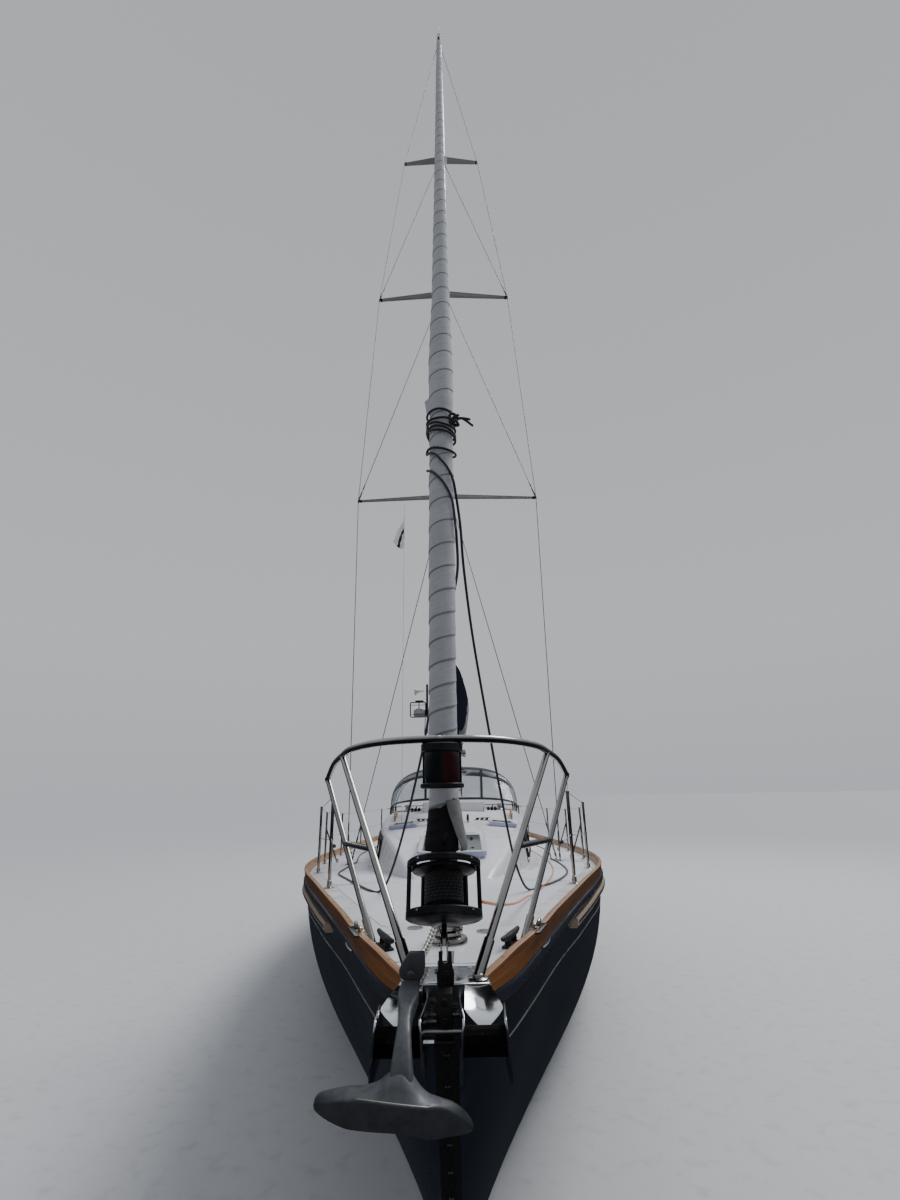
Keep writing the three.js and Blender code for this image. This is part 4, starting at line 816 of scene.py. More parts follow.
def make_lines():
    wrapped = {
        PORT: [(183, 3.81), (222, 3.784), (249, 3.755), (270, 3.71), (291, 3.667), (307, 3.628), (321, 3.592),
               (340, 3.53)],
        STARBOARD: [(193, 3.672), (223, 3.642), (240, 3.62), (260, 3.582), (278, 3.545), (294, 3.505), (307, 3.468),
                    (319, 3.426), (328, 3.37), (338, 3.29), (352, 3.21)],
    }
    falling = {
        PORT: [(0.093, 0.76, 3.36), (0.108, 0.87, 3.16), (0.152, 1.068, 2.833), (0.24, 1.376, 2.356),
               (0.297, 1.574, 2.074), (0.37, 1.80, 1.735), (0.43, 1.94, 1.56)],
        STARBOARD: [(0.072, 0.76, 3.10), (0.03, 0.97, 2.98), (-0.03, 1.13, 2.82), (-0.12, 1.38, 2.38),
                    (-0.206, 1.60, 2.067), (-0.30, 1.80, 1.77), (-0.385, 1.97, 1.565)],
    }
    for side, name in SIDES.items():
        start = [round_sail(a, z, SHEET / 2 + 0.0015) for a, z in wrapped[side]] + [at(*p) for p in falling[side]]
        cord_piece(f"{name}_jib_sheet", sheet_route(side, start), SHEET, BLACK_ROPE, TURNING, **LIMP)
    led = ((0.117, 0.125, 1.735), (0.178, 0.46, 1.672), (0.235, 0.75, 1.622), (0.296, 1.05, 1.575),
           (0.36, 1.34, 1.54), (0.425, 1.62, 1.516))
    flat = mm(500, 1900, 600, 2250, 700, 2650, 830, 3300, 950, 4050, 1050, 4900, 1120, 5900, 1165, 7000, 1190, 8000,
              1205, 8700)
    furl = smooth([at(*p) for p in led] + [on_deck(x, s, 0.008) for x, s in flat]
                  + [at(1.196, 8.95, 1.215), at(1.182, 9.15, 1.24)], 8)
    cord_piece("furling_line", furl, 0.010, ORANGE_ROPE, **LIMP)


make_lines()


# Hull and deck

RING_SIDES = 30
NAVY_SLOT, WHITE_SLOT, LINER_SLOT = 0, 1, 2
RAKED_FROM, RAKE = 11.955, 0.2


def hull_ring(s, deck_steps=10):
    _, beam, deck, keel, full, _, _ = table_row(HULL, s)
    rake = RAKE * clamp((s - RAKED_FROM) / (TRANSOM - RAKED_FROM))
    side = []
    for k in range(RING_SIDES):
        z = deck - sin(radians(90 * k / RING_SIDES)) ** (2 / full) * (deck - keel)
        side.append((hull_half(s, z), z))
    top = [(-beam + 2 * beam * k / deck_steps) for k in range(1, deck_steps)]
    section = side + [(0, keel)] + [(-x, z) for x, z in side[::-1]] + [(x, deck_height(s, x)) for x in top]
    return [at(x, s + rake * (deck - z), z) for x, z in section]


def hull_box(*limits, slot=LINER_SLOT):
    shape = Shape()
    slab(shape, *limits, 0, slot)
    return shape


def make_hull():
    stations = spread(STEM, 1.5, 20)[:-1] + spread(1.5, RAKED_FROM, 70)[:-1] + spread(RAKED_FROM, TRANSOM, 5)
    shape, shaft, stock = Shape(), Shape(), Shape()
    loft(shape, [hull_ring(s) for s in stations], pick=lambda j: NAVY_SLOT if j < 2 * RING_SIDES else WHITE_SLOT)
    hull = piece("hull_skin", shape, [NAVY, WHITE, LINER], replaces=["hull"], angle=40)
    rod(shaft, at(0, 9.42, -0.2188), at(0, 10.3, -0.3816), 0.026, 16, LINER_SLOT)
    rod(stock, at(0, STOCK, -0.3), at(0, STOCK, 0.32), 0.0373, 16, LINER_SLOT)
    rooms = ((-0.33, 0.33, 3.06, 4.301, 0.64, 1.7), (-0.7, 0.7, 4.3, 8.48, 0.06, 1.7),
             (-0.35, 0.35, 8.18, 9.46, -0.2903, 0.39), (-0.93, 0.93, 8.7, 11.86, 0.555, 2.5))
    carve(hull, [hull_box(*room) for room in rooms] + [shaft, stock], angle=40)


def strip_rings(s0, s1, count, corners):
    return [[at(x, s, z) for x, z in corners(s)] for s in spread(s0, s1, count)]


def row_of_plugs(shape, start, pitch, count, corner, inset, profile, slot):
    """Wooden plugs over the screws, along one corner of a rail."""
    for k in range(count):
        s = start + pitch * k
        x, z = corner(s)
        turned(shape, profile, at(x - inset, s, z), 10, slot)


def toe_corners(s):
    beam, deck = deck_edge(s)
    height = 0.085 * (0.47 + 0.53 * min((s - 0.068) / 0.26, 1))
    slope = (hull_half(s, deck) - hull_half(s, deck - 0.1)) / 0.1
    low, top, r = beam + 0.002, deck + height, 0.006
    outer = low + height * slope * min((s - 0.068) / 0.7, 1)
    lean = (outer - low) / height
    return [(beam - 0.042, deck - 0.008), (low, deck - 0.008), (low + lean * height * 0.5, deck + height * 0.5),
            (outer - lean * r, top - r), (outer - 0.3 * r, top - 0.3 * r), (outer - r, top),
            (outer - 0.03 + r, top), (outer - 0.03 + 0.3 * r, top - 0.3 * r), (outer - 0.03, top - r)]


def rub_corners(s):
    z = deck_edge(s)[1] - 0.118
    face = hull_half(s, z)
    proud = 0.038 * (0.75 + 0.25 * clamp((s - 1.5) / 0.05))
    outside = ((0.72, -0.026), (0.92, -0.02), (1, -0.01), (1, 0.01), (0.92, 0.02), (0.72, 0.026))
    return [(face - 0.03, z - 0.026), *((face + proud * k, z + dz) for k, dz in outside), (face - 0.03, z + 0.026)]


def make_rails():
    toe, rub, strip = Shape(), Shape(), []
    loft(toe, strip_rings(0.068, 12.42, 110, toe_corners), pick=lambda j: 0 if j in (1, 2, 3) else 1)
    row_of_plugs(toe, 0.22, 0.21, 58, lambda s: toe_corners(s)[5], 0.011, mm(6, -2, 6, 0.4, 0, 0.7), 2)
    both_sides("toe_rail_wood", toe, [VARNISHED, RAIL_TOP, PLUG], "toe_rail")
    loft(rub, strip_rings(1.8, 12.39, 88, rub_corners))
    row_of_plugs(rub, 1.88, 0.2, 53, lambda s: rub_corners(s)[6], 0.013, mm(5.5, -2, 5.5, 0.6, 0, 0.9), 1)
    for s in spread(1.83, 12.37, 88):
        x, z = rub_corners(s)[4][0], deck_edge(s)[1] - 0.118
        strip.append([at(x + 0.007 * cos(a) - 0.002, s, z + 0.009 * sin(a)) for a in spread(-pi / 2, pi / 2, 7)])
    loft(rub, strip, 2)
    x, z = hull_half(1.83, 1.3), deck_edge(1.83)[1] - 0.118
    slab(rub, x + 0.004, x + 0.028, 1.81, 1.86, z - 0.008, z + 0.006, 0.003, 2)
    both_sides("rub_rail_wood", rub, [BARE_TEAK, PLUG, STEEL], "rub_rail")


def band_ring(s, half=0.034, proud=0.024):
    """The half-round moulding under the toe rail."""
    middle = deck_edge(s)[1] - 0.043
    ring = []
    for a in spread(-pi / 2, pi / 2, 11):
        z = middle + half * sin(a)
        ring.append(at(hull_half(s, z) + proud * cos(a) ** 0.8 * (1 if abs(a) < 1.57 else 0), s, z))
    return ring + [at(hull_half(s, z) - 0.012, s, z) for z in (middle + half, middle - half)]


def stripe_ring(s, half=0.005):
    z = deck_edge(s)[1] - 0.29
    return [at(hull_half(s, z + dz) + out, s, z + dz)
            for dz, out in ((-half, 0.0012), (half, 0.0012), (half, -0.002), (-half, -0.002))]


def make_topside_trim():
    band, stripe = Shape(), Shape()
    loft(band, [band_ring(s) for s in spread(0.075, 12.43, 110)])
    piece("deck_edge_moulding", band.mirror(), GREY_BAND)
    loft(stripe, [stripe_ring(s) for s in spread(0.67, 12.2, 90)])
    loft(stripe, [stripe_ring(*row) for row in ((0.6, 0.0008), (0.64, 0.004), (0.68, 0.005))])
    piece("cove_stripe", stripe.mirror(), STRIPE)


def stem_at(x, z):
    """The station where the hull is as wide as x at height z."""
    low, high = -0.1, 1.5
    for _ in range(26):
        middle = (low + high) / 2
        low, high = (middle, high) if hull_half(middle, z) < max(abs(x), 0.003) else (low, middle)
    return low


def make_stem_band():
    shape = Shape()
    rows = [[at(x, stem_at(x, z) - 0.0015, z) for x in spread(0.034, -0.034, 11)] for z in spread(1.39, 0.1, 70)]
    shell(shape, rows, 0.003)
    for z in spread(1.33, 0.17, 11):
        turned(shape, mm(9, 0, 9, 2.5, 5.5, 5, 0, 5.5), facing_ahead(at(0, stem_at(0, z) - 0.003, z)), 14, 1)
    piece("stem_band", shape, [TANG, DARK_STEEL])


def panel(shape, s0, s1, inner, outer, height=0.003, count=40, base=deck_height, corner=0.07, ease=0.004):
    """A raised panel between two edges that follow the stations."""
    rings = []
    for s in spread(s0, s1, count):
        near = min(s - s0, s1 - s)
        inset = corner - sqrt(max(corner**2 - max(corner - near, 0) ** 2, 0)) if near < corner else 0
        inset = min(inset, (outer(s) - inner(s)) / 2 - 0.012)
        a, b = inner(s) + inset, outer(s) - inset
        xs = [a, a + ease] + spread(a + ease, b - ease, 8)[1:-1] + [b - ease, b]
        low = height * min(near / ease, 1) + 0.0002
        rings.append([at(x, s, base(s, x) + (0.0 if x in (a, b) else low)) for x in xs]
                     + [at(x, s, base(s, x) - 0.004) for x in xs[::-1]])
    loft(shape, rings)


def beside_roof(s):
    return table_row(ROOF, clamp(s, 2.74, 8.6))[1] + 0.07


def make_deck_panels():
    shape, lids, fills = Shape(), Shape(), Shape()
    for s0, s1, inner in ((1.02, 2.66, 0.03), (2.78, 4.2, 0), (4.3, 5.3, 0), (5.9, 7.6, 0), (7.7, 8.58, 0),
                          (8.68, 10.3, 1.23), (10.4, 12.05, 1.23), (12.1, 12.36, 0.03)):
        panel(shape, s0, s1, (lambda s, inner=inner: inner) if inner else beside_roof,
              lambda s: deck_edge(s)[0] - 0.17, count=12 if s0 > 12 else 40)
    piece("deck_nonskid_panels", shape.mirror(), NONSKID)
    for x0, x1, s0, s1 in ((0.018, 0.11, 0.432, 0.438), (0.018, 0.024, 0.432, 0.60), (0.135, 0.235, 0.505, 0.512),
                           (0.16, 0.20, 0.47, 0.482), (0.018, 0.30, 0.90, 0.906)):
        slab(lids, x0, x1, s0, s1, deck_height(s0, x0) - 0.004, deck_height(s0, x1) + 0.0012, 0.0004)
    piece("locker_lid_seams", lids.mirror(), SEALANT)
    for x, s in ((0.155, 0.91), (-0.15, 1.0)):
        turned(fills, mm(36, -2, 36, 3, 32, 5, 12, 6, 0, 6), on_deck(x, s), 32)
    piece("deck_fillers", fills, STEEL)


# Bow

PLATE_TOP = 1.552
CHEEKS = ((-0.172, -0.052), (0.046, 0.16))


def side_place(x):
    """Outlines run along the station and height; thickness to port."""
    return facing_port(at(x, 0, PLATE_TOP))


def roller_cheeks(shape, start, end):
    """The two plates on either side of a roller and the dished tongue between them."""
    nose = mm(-120, -27, -186, -21, -200, -22, -211, -32, -214.5, -45, -222, -132, -218, -146, -206, -155, -190, -158,
              -60, -165, 30, -130)
    for x, inward in ((start - 0.006, 1), (end, -1)):
        root = mm(30, -110, -52, -33) if abs(x) > 0.1 else mm(30, -36, -20, -32)
        made = Shape()
        plate(made, root + nose, 0.006, side_place(x), 0.002, segments=3)
        for p in made.points:
            p.x += inward * 0.008 * clamp((p.z - 1.478) / 0.04) * clamp((-p.y - MIDSHIP - 0.08) / 0.08)
        shape.join(made)
    profile = smooth([Vector((0, s, z)) for s, z in mm(20, -3, -4, -6, -40, -15, -75, -32, -100, -50, -118, -68)], 5)
    side = 1 if start > 0 else -1
    grid = []
    for part in spread(0, 1, 25):
        reach = 0.68 + 0.26 * (1 - abs(2 * part - 1)) ** 0.9
        dish = 0.012 * (1 - (2 * part - 1) ** 2)
        row = []
        for t in spread(0, reach, 20):
            k = t * (len(profile) - 1)
            i = min(int(k), len(profile) - 2)
            p = profile[i].lerp(profile[i + 1], k - i)
            near = 0.058 - 0.006 * t + 0.003 * (side < 0)
            far = 0.116 + (max(abs(start), abs(end)) - 0.119) * clamp(t / 0.62) ** 1.2
            across = near + (far - near) * (part if side > 0 else 1 - part)
            row.append(at(side * across, p.y, PLATE_TOP + p.z - dish * min(t * 2, 1)))
        grid.append(row)
    shell(shape, grid, 0.003)


def make_bow_fitting():
    shape = Shape()
    half, aft = (deck_edge(s)[0] - 0.044 for s in (0.065, 0.17))
    outline = [(-0.128, -0.004), (0.128, -0.004), (0.128, 0.0635), (half, 0.065), (aft, 0.17), (-aft, 0.17),
               (-half, 0.065), (-0.128, 0.0635)]
    plate(shape, outline, 0.062, axes(at(0, 0, PLATE_TOP - 0.062), X, Y), 0.004, segments=3)
    slab(shape, -0.128, 0.128, 0.002, 0.035, PLATE_TOP - 0.13, PLATE_TOP - 0.006, 0.003)
    for start, end in CHEEKS:
        roller_cheeks(shape, start, end)
    strap = mm(30, -44, -2, -4, -20, -6, -40, -14, -50, -50, -54, -100, -46, -125, -20, -150, 30, -150)
    plate(shape, strap, 0.044, side_place(-0.022), 0.004, 2, 3)
    toggle = mm(-22, -6, 25, -6, 26.5, 22, 22.5, 36, 20.5, 52, 20.5, 78, 9.5, 78, 9.5, 55, 6, 47.5, -3, 47.5,
                -6.5, 55, -6.5, 78, -17.5, 78, -17.5, 52, -19.5, 36, -23.5, 22)
    plate(shape, toggle, 0.012, facing_ahead(at(0.002, 0.004, PLATE_TOP)), 0.002, 2, 3)
    for x, s, z, size in ((0.003, -0.008, 0.022, 0.011), (0.0, -0.053, -0.03, 0.009), (0.002, -0.0535, -0.075, 0.009)):
        turned(shape, [(size, 0.0), (size, 0.003), (size * 0.8, 0.0045), (size * 0.75, 0.003), (0.0, 0.0035)],
               facing_ahead(at(x, s, PLATE_TOP + z)), 24, 2)
    for x0, x1, s, z, radius, sides, slot in (
            (-0.05, 0.045, -0.052, 1.4535, 0.0065, 16, 1), (-0.05, -0.028, -0.05, 1.429, 0.0085, 6, 0),
            (-0.028, 0.03, -0.05, 1.429, 0.005, 14, 2), (-0.028, 0.028, 0.03, 1.572, 0.006, 14, 1)):
        rod(shape, at(x0, s, z), at(x1, s, z), radius, sides, slot)
    for side in SIDES:
        plate(shape, mm(2, -10, 58, -10, 58, 24, 48, 37, 12, 37, 2, 24), 0.008, side_place(side * 0.016 - 0.004),
              0.002, 1)
        for s, x in ((0.11, 0.088), (0.15, 0.075), (0.02, 0.112)):
            turned(shape, mm(7, 0, 6.5, 1.2, 3, 2.2, 0, 2.4), at(side * x, s, PLATE_TOP), 16)
        rod(shape, at(side * 0.129, 0.0, PLATE_TOP - 0.012), at(side * 0.127, 0.055, PLATE_TOP - 0.012), 0.005, 10)
    piece("bow_fitting_polished", shape, [POLISHED, DARK_STEEL, TANG], replaces=["bow_fitting"], angle=32)
    # The rollers take near-black rubber that also paints the shade between the cheeks.
    for name in SIDES.values():
        dress(f"{name}_anchor_roller", ROLLER_IN_SHADE, 0.004)


# Anchor: outline of the claw seen from ahead, as distance to port and height.
CLAW = (
    mm(-303, 1378, -300.5, 1388, -293, 1398, -280, 1405.5, -262, 1412, -237, 1420.5, -210, 1426.5, -185, 1430,
       -165, 1434.5, -142, 1443, -125, 1455, -97, 1466, -72, 1456, -52, 1431, -32, 1414, -10, 1404, 16, 1393, 38, 1378,
       55, 1361, 64, 1349, 68, 1337),
    mm(-303, 1378, -300.5, 1369, -293, 1364.5, -277, 1360.5, -255, 1357.5, -223, 1356, -179, 1356.5, -125, 1356,
       -87, 1353, -57, 1346, -34, 1339, -4, 1334, 24, 1331, 45, 1327.5, 58, 1327.5, 64.5, 1330, 68, 1337),
    mm(-303, 1378, -285, 1388, -255, 1401, -225, 1414.5, -200, 1422.5, -178, 1424.5, -123, 1420.5, -61, 1412.5,
       -21, 1405, 0, 1396, 20, 1382, 45, 1360, 68, 1337),
)
# Shank: station, height, half depth, half width.
SHANK = [(-0.028, 1.557, 0.011, 0.0245), (-0.07, 1.55, 0.013, 0.0285), (-0.11, 1.5435, 0.017, 0.0275),
         (-0.145, 1.536, 0.021, 0.022), (-0.175, 1.5275, 0.024, 0.0165), (-0.205, 1.5145, 0.026, 0.016),
         (-0.235, 1.494, 0.028, 0.0195), (-0.262, 1.467, 0.029, 0.024), (-0.283, 1.436, 0.028, 0.0285),
         (-0.296, 1.405, 0.026, 0.034)]
SHANK_X = -0.094


def shank_rings():
    rings = []
    rows = smooth([Vector((s, z, 0)) for s, z, _, _ in SHANK], 5)
    for k, row in enumerate(rows):
        i = min(int(k / 5), len(SHANK) - 2)
        deep, wide = (a + (b - a) * (k / 5 - i) for a, b in zip(SHANK[i][2:], SHANK[i + 1][2:]))
        along = (rows[min(k + 1, len(rows) - 1)] - rows[max(k - 1, 0)]).normalized()
        ring = []
        for u, v in (squared(a, 0.45) for a in circle(24)):
            p = row + vec(-along.y, along.x, 0) * (v * deep)
            ring.append(at(SHANK_X + u * wide, p.x, p.y))
        rings.append(ring)
    return rings


def claw_ring(x, top, low, crease):
    """The claw's section: over the back, round the lip and under the face."""
    part = (x + 0.1175) / 0.1856
    bulge = 0.12 + 0.88 * clamp((0.98 - abs(part + 0.03)) / 0.5) ** 1.3
    thick = 0.013 * sqrt(max(1 - abs(part) ** 6, 0.0)) + 0.001
    lip = -0.291 + 0.05 * ((x + 0.1085) / 0.1745) ** 2
    nose, foot = lip - 0.0455 * bulge, lip - 0.018 * bulge
    tall = max(crease - low, 1e-4)
    face = [(lip, top), (lip + (nose - lip) * 0.35, top + (crease - top) * 0.2),
            (lip + (nose - lip) * 0.7, top + (crease - top) * 0.55), (nose + 0.004 * bulge, crease + 0.0006),
            (nose, crease - 0.035 * tall), (nose + 0.0002, crease - 0.1 * tall)]
    face += [(nose + (foot - nose) * a, crease - b * tall) for a, b in ((0.14, 0.3), (0.38, 0.55), (0.7, 0.8))]
    face += [(foot - 0.002, low + 0.05 * tall), (foot, low), (foot + thick * 0.5, low + thick * 0.12),
             (foot + thick, low + 0.12 * tall), (nose + (foot - nose) * 0.4 + thick, crease - 0.5 * tall),
             (nose + thick, crease - 0.08 * tall), (lip + (nose - lip) * 0.4 + thick, (top + crease) * 0.5),
             (lip + thick * 0.75, top - thick * 0.3), (lip + thick * 0.4, top)]
    return [at(x, s, z) for s, z in face]


def make_anchor():
    shape = Shape()
    loft(shape, shank_rings())
    head = mm(-101, -41, -81, -41, -65.5, -33.5, -56, -20, -53, 0, -54.5, 33.5, -97, 34.5, -121, 3, -126.5, -10,
              -124.5, -22, -116, -33)
    plate(shape, head, 0.02, facing_ahead(at(0, -0.004, 1.6)), 0.003)
    turned(shape, mm(15.5, 0, 15.5, 1.2, 0, 1.2), facing_ahead(at(-0.093, -0.0242, 1.579)), 32, 1)
    turned(shape, mm(11.2, 0, 11.2, 3.5, 9.5, 5, 5, 5.6, 0, 5.8), facing_ahead(at(-0.093, -0.0252, 1.579)), 32)
    tables = [[(p.x, p.z) for p in smooth([Vector((x, 0, z)) for x, z in line], 8)] for line in CLAW]
    xs = [-0.1175 - 0.1855 * cos(pi * part) for part in spread(0, 1, 91)]
    claw = [claw_ring(x, *(lerp_table(table, x) for table in tables)) for x in xs]
    loft(shape, claw)
    # A thin bead along the crease in the lighter chain galvanising: a painted highlight standing in for light caught by
    # the crease.
    ridge = [ring[3].lerp(ring[4], 0.5) for x, ring in zip(xs, claw) if -0.196 < x < -0.014]
    crease_highlight = []
    for k, p in enumerate(ridge):
        r = 0.0004 + 0.0021 * sin(pi * k / (len(ridge) - 1)) ** 0.4
        crease_highlight.append([p + vec(0, -r * 0.9 * cos(a), r * sin(a)) for a in circle(10)])
    loft(shape, crease_highlight, 2)
    piece("anchor_galvanised", shape, [GALVANISED, DARK_STEEL, CHAIN], replaces=["anchor"], angle=60)
    chain, links = Shape(), 26
    start, end = at(-0.082, 0.004, 1.60), at(-0.045, 0.68, 1.578)
    along = (end - start).normalized()
    for k in range(links):
        part = (k + 0.5) / links
        centre = start.lerp(end, part) - up(0.02 * sin(pi * part))
        across = Vector(X if k % 2 else Z)
        across = (across - along * across.dot(along)).normalized()
        link = [centre + along * (0.018 * cos(a)) + across * (0.0105 * sin(a)) for a in circle(14)]
        tube(chain, link, 0.0038, 7, loop=True)
    piece("anchor_chain", chain, CHAIN)


def make_windlass():
    shape = Shape()
    base = placed(at(0, 0.74, deck_height(0.74) - 0.012))
    turned(shape, mm(0, 0, 78, 0, 80, 6, 80, 22, 74, 32, 58, 38, 50, 40, 50, 44, 60, 47, 60, 52, 44, 58, 44, 62, 60, 68,
                     60, 74, 50, 78, 40, 84, 46, 94, 52, 100, 52, 106, 40, 109, 18, 109, 18, 106, 0, 106), base, 48)
    for a in circle(5):
        block(shape, (-0.004, 0.043, 0.046), (0.004, 0.062, 0.07), 0.001, 0, base @ Matrix.Rotation(a, 4, "Z"))
    piece("windlass_capstan", shape, STEEL, replaces=["windlass"])


def make_cleats():
    for side, name in SIDES.items():
        shape = Shape()
        centre = on_deck(side * 0.248, 0.69)
        turn = radians(22) * side
        along = vec(sin(turn), cos(turn), 0)
        parts = spread(-1, 1, 25)
        horn = [centre + along * (0.112 * t) + up(0.036 + 0.008 * abs(t) ** 3) for t in parts]
        tube(shape, horn, [0.0135 * (1 - 0.45 * abs(t) ** 2.2) if abs(t) < 0.99 else 0.004 for t in parts], 14)
        for t in (-0.36, 0.36):
            foot = centre + along * (0.112 * t)
            rod(shape, foot, foot + up(0.036), 0.014, 14, 0, 0.011)
        block(shape, (-0.02, -0.062, -0.012), (0.02, 0.062, 0.009), 0.004, 0,
              axes(centre, along.cross(up(1)), along))
        piece(f"{name}_bow_cleat_cast", shape, MATT_BLACK, replaces=[f"{name}_bow_cleat"])
    chock, station = Shape(), 0.60
    x, top = toe_corners(station)[5]
    run = vec(deck_edge(station + 0.1)[0] - deck_edge(station - 0.1)[0], 0.2, 0).normalized()
    centre, outer = at(x - 0.008, station, top), vec(run.y, -run.x, 0)
    plate(chock, round_loop(0.085, 0.026, 0.012, 5), 0.007, axes(centre, run, outer), 0.002)
    for t in (-0.05, 0.05):
        arch = [centre + run * (t + copysign(d, -t)) + up(h) for d, h in mm(-14, 2, -10, 11, 0, 17, 12, 17, 24, 12)]
        tube(chock, smooth(arch, 4), 0.007, 12)
    lip = [centre + run * t + outer * (0.03 + 0.006 * (1 - (t / 0.07) ** 2)) - up(0.055)
           for t in spread(-0.07, 0.07, 9)]
    tube(chock, lip, 0.006, 10)
    both_sides("bow_chock", chock, STEEL)


def foot_flange(shape, foot, radius=0.03, neck=0.05):
    turned(shape, [(radius, 0.0), (radius, 0.004), (radius * 0.92, 0.006), (radius * 0.62, 0.007), (0.0175, 0.011),
                   (0.0165, neck), (0.014, neck + 0.002)], foot, 24)
    for a in circle(3):
        out = 0.78 * radius
        turned(shape, mm(4, 0, 3.8, 1, 0, 1.8), foot + vec(out * cos(a + 0.4), out * sin(a + 0.4), 0.0055), 8)


def make_pulpit():
    half = [(0.0, 0.029, 2.225), (0.04, 0.03, 2.225), (0.2, 0.105, 2.225), (0.34, 0.32, 2.223), (0.435, 0.61, 2.217),
            (0.52, 0.86, 2.195), (0.6, 1.11, 2.137)]
    shape = Shape()
    tube(shape, smooth([at(-x, s, z) for x, s, z in half[:0:-1]] + [at(*p) for p in half], 8), TUBE, 20)
    for side in SIDES:
        front = [at(side * 0.43, 0.59, 2.217), at(side * 0.096, 0.03, PLATE_TOP + 0.006)]
        aft = [at(side * 0.598, 1.104, 2.139), on_deck(side * 0.3, 0.72)]
        for head, foot in (front, aft):
            rod(shape, head, foot, TUBE, 20)
            rod(shape, foot, foot + (head - foot).normalized() * 0.11, 0.0165, 20)
        rod(shape, front[0].lerp(front[1], 0.515), aft[0].lerp(aft[1], 0.44), 0.0115, 18)
        foot_flange(shape, at(side * 0.096, 0.03, PLATE_TOP), 0.03, 0.014)
        foot_flange(shape, aft[1], 0.036, 0.014)
        turned(shape, mm(0, -20, 11, -16, 14.5, -4, 14.5, 6, 0, 12), aft[0], 20)
        eye = [aft[0] + vec(0.0, 0.014 + 0.009 * cos(a), -0.018 + 0.009 * sin(a)) for a in circle(16)]
        tube(shape, eye, 0.0025, 8, loop=True)
    piece("pulpit_tubes", shape, STEEL, replaces=["pulpit"])


def make_nav_light():
    shape, top = Shape(), 2.225 - TUBE
    low = top - 0.14

    def body_loop(grow, z):
        r = 0.066 + grow
        front = [(-r * cos(a), -r * sin(a)) for a in spread(0.08, pi - 0.08, 25)]
        return [at(x, 0.054 + s, z) for x, s in [(-r, 0.045), (-r, 0.0), *front, (r, 0.0), (r, 0.045)]]

    for rings in (((0.0, low), (0.004, low + 0.003), (0.004, low + 0.013), (-0.004, low + 0.017)),
                  ((-0.004, top - 0.028), (0.002, top - 0.025), (0.002, top - 0.003), (-0.004, top))):
        loft(shape, [body_loop(grow, z) for grow, z in rings])
    for side in SIDES:
        lens = []
        for z in spread(low + 0.012, top - 0.02, 9):
            from_middle = abs(2 * (z - low - 0.012) / (top - 0.032 - low) - 1)
            wide = side * 0.058 * (1 - 0.05 * from_middle**6)
            lens.append([at(wide * sin(a), 0.054 - 0.058 * cos(a), z) for a in spread(0.0, 1.35, 30)]
                        + [at(side * 0.045, 0.09, z), at(0, 0.09, z)])
        loft(shape, lens, 1 if side == PORT else 2)
    for x0, x1, s0, s1, z0, z1, bevel, slot in (
            (-0.0635, -0.052, 0.052, 0.095, low + 0.004, top - 0.004, 0.003, 0),
            (0.052, 0.0635, 0.052, 0.095, low + 0.004, top - 0.004, 0.003, 0),
            (-0.06, 0.06, 0.088, 0.099, low + 0.002, top - 0.001, 0.003, 0),
            (-0.0015, 0.0015, -0.006, 0.02, low + 0.014, top - 0.024, 0.0005, 0),
            (-0.022, 0.022, 0.03, 0.09, top - 0.01, top + 0.004, 0.003, 3)):
        slab(shape, x0, x1, s0, s1, z0, z1, bevel, slot)
    for x in (-0.04, 0.04):
        turned(shape, mm(5, 0, 5, 3, 0, 4), facing_ahead(at(x, 0.003, low + 0.007)), 12, 3)
    piece("nav_light_bicolour", shape, [MATT_BLACK, RED_LENS, GREEN_LENS, STEEL],
          replaces=["nav_light"])


STANCHIONS = (2.56, 4.3, 6.05, 7.8, 9.5, 11.05)
WIRE_HEIGHTS = (0.32, 0.613)
GUARD_WIRE = 0.0026


def make_lifelines():
    shape = Shape()
    feet = [on_deck(deck_edge(s)[0] - 0.12, s) for s in STANCHIONS]
    for k, foot in enumerate(feet):
        tube(shape, [foot + up(h) for h in (0, 0.4, 0.613, 0.621, 0.625)], [TUBE, TUBE, TUBE, 0.0105, 0.006], 16)
        foot_flange(shape, foot, 0.038)
        for lift in WIRE_HEIGHTS:
            turned(shape, mm(14.5, -6, 15.5, 0, 14.5, 6), foot + up(lift), 16)
        if k in (2, 3):
            brace = foot + vec(-0.16, 0.0, 0.004)
            rod(shape, foot + up(0.42), brace, 0.0095, 12)
            foot_flange(shape, brace, 0.026)
    for lift, start, end in zip(WIRE_HEIGHTS[::-1], (at(0.604, 1.134, 2.129), at(0.525, 0.985, 1.835)),
                                (at(1.429, 11.46, 1.79), at(1.429, 11.46, 1.49))):
        points = [start] + [f + up(lift) for f in feet] + [end]
        for a, b in zip(points, points[1:]):
            tube(shape, [a.lerp(b, t) - up(0.02 * t * (1 - t)) for t in spread(0, 1, 9)], GUARD_WIRE, 8, 1)
        for a, b in ((points[0], points[1]), (points[-1], points[-2])):
            along = (b - a).normalized()
            rod(shape, a + along * 0.02, a + along * 0.15, 0.0055, 12)
            rod(shape, a + along * 0.05, a + along * 0.11, 0.0085, 6)
    both_sides("stanchions_and_wires", shape, [STEEL, make_steel("lifeline_wire", (0.5, 0.5, 0.5), 0.3, 0.5)],
               "lifelines")


# Furling gear and genoa

DRUM_LOW, DRUM_TOP, DRUM_RADIUS = 1.698, 1.852, 0.117
DRUM_LENGTH = (DRUM_TOP - DRUM_LOW) / STAY.z - 0.004


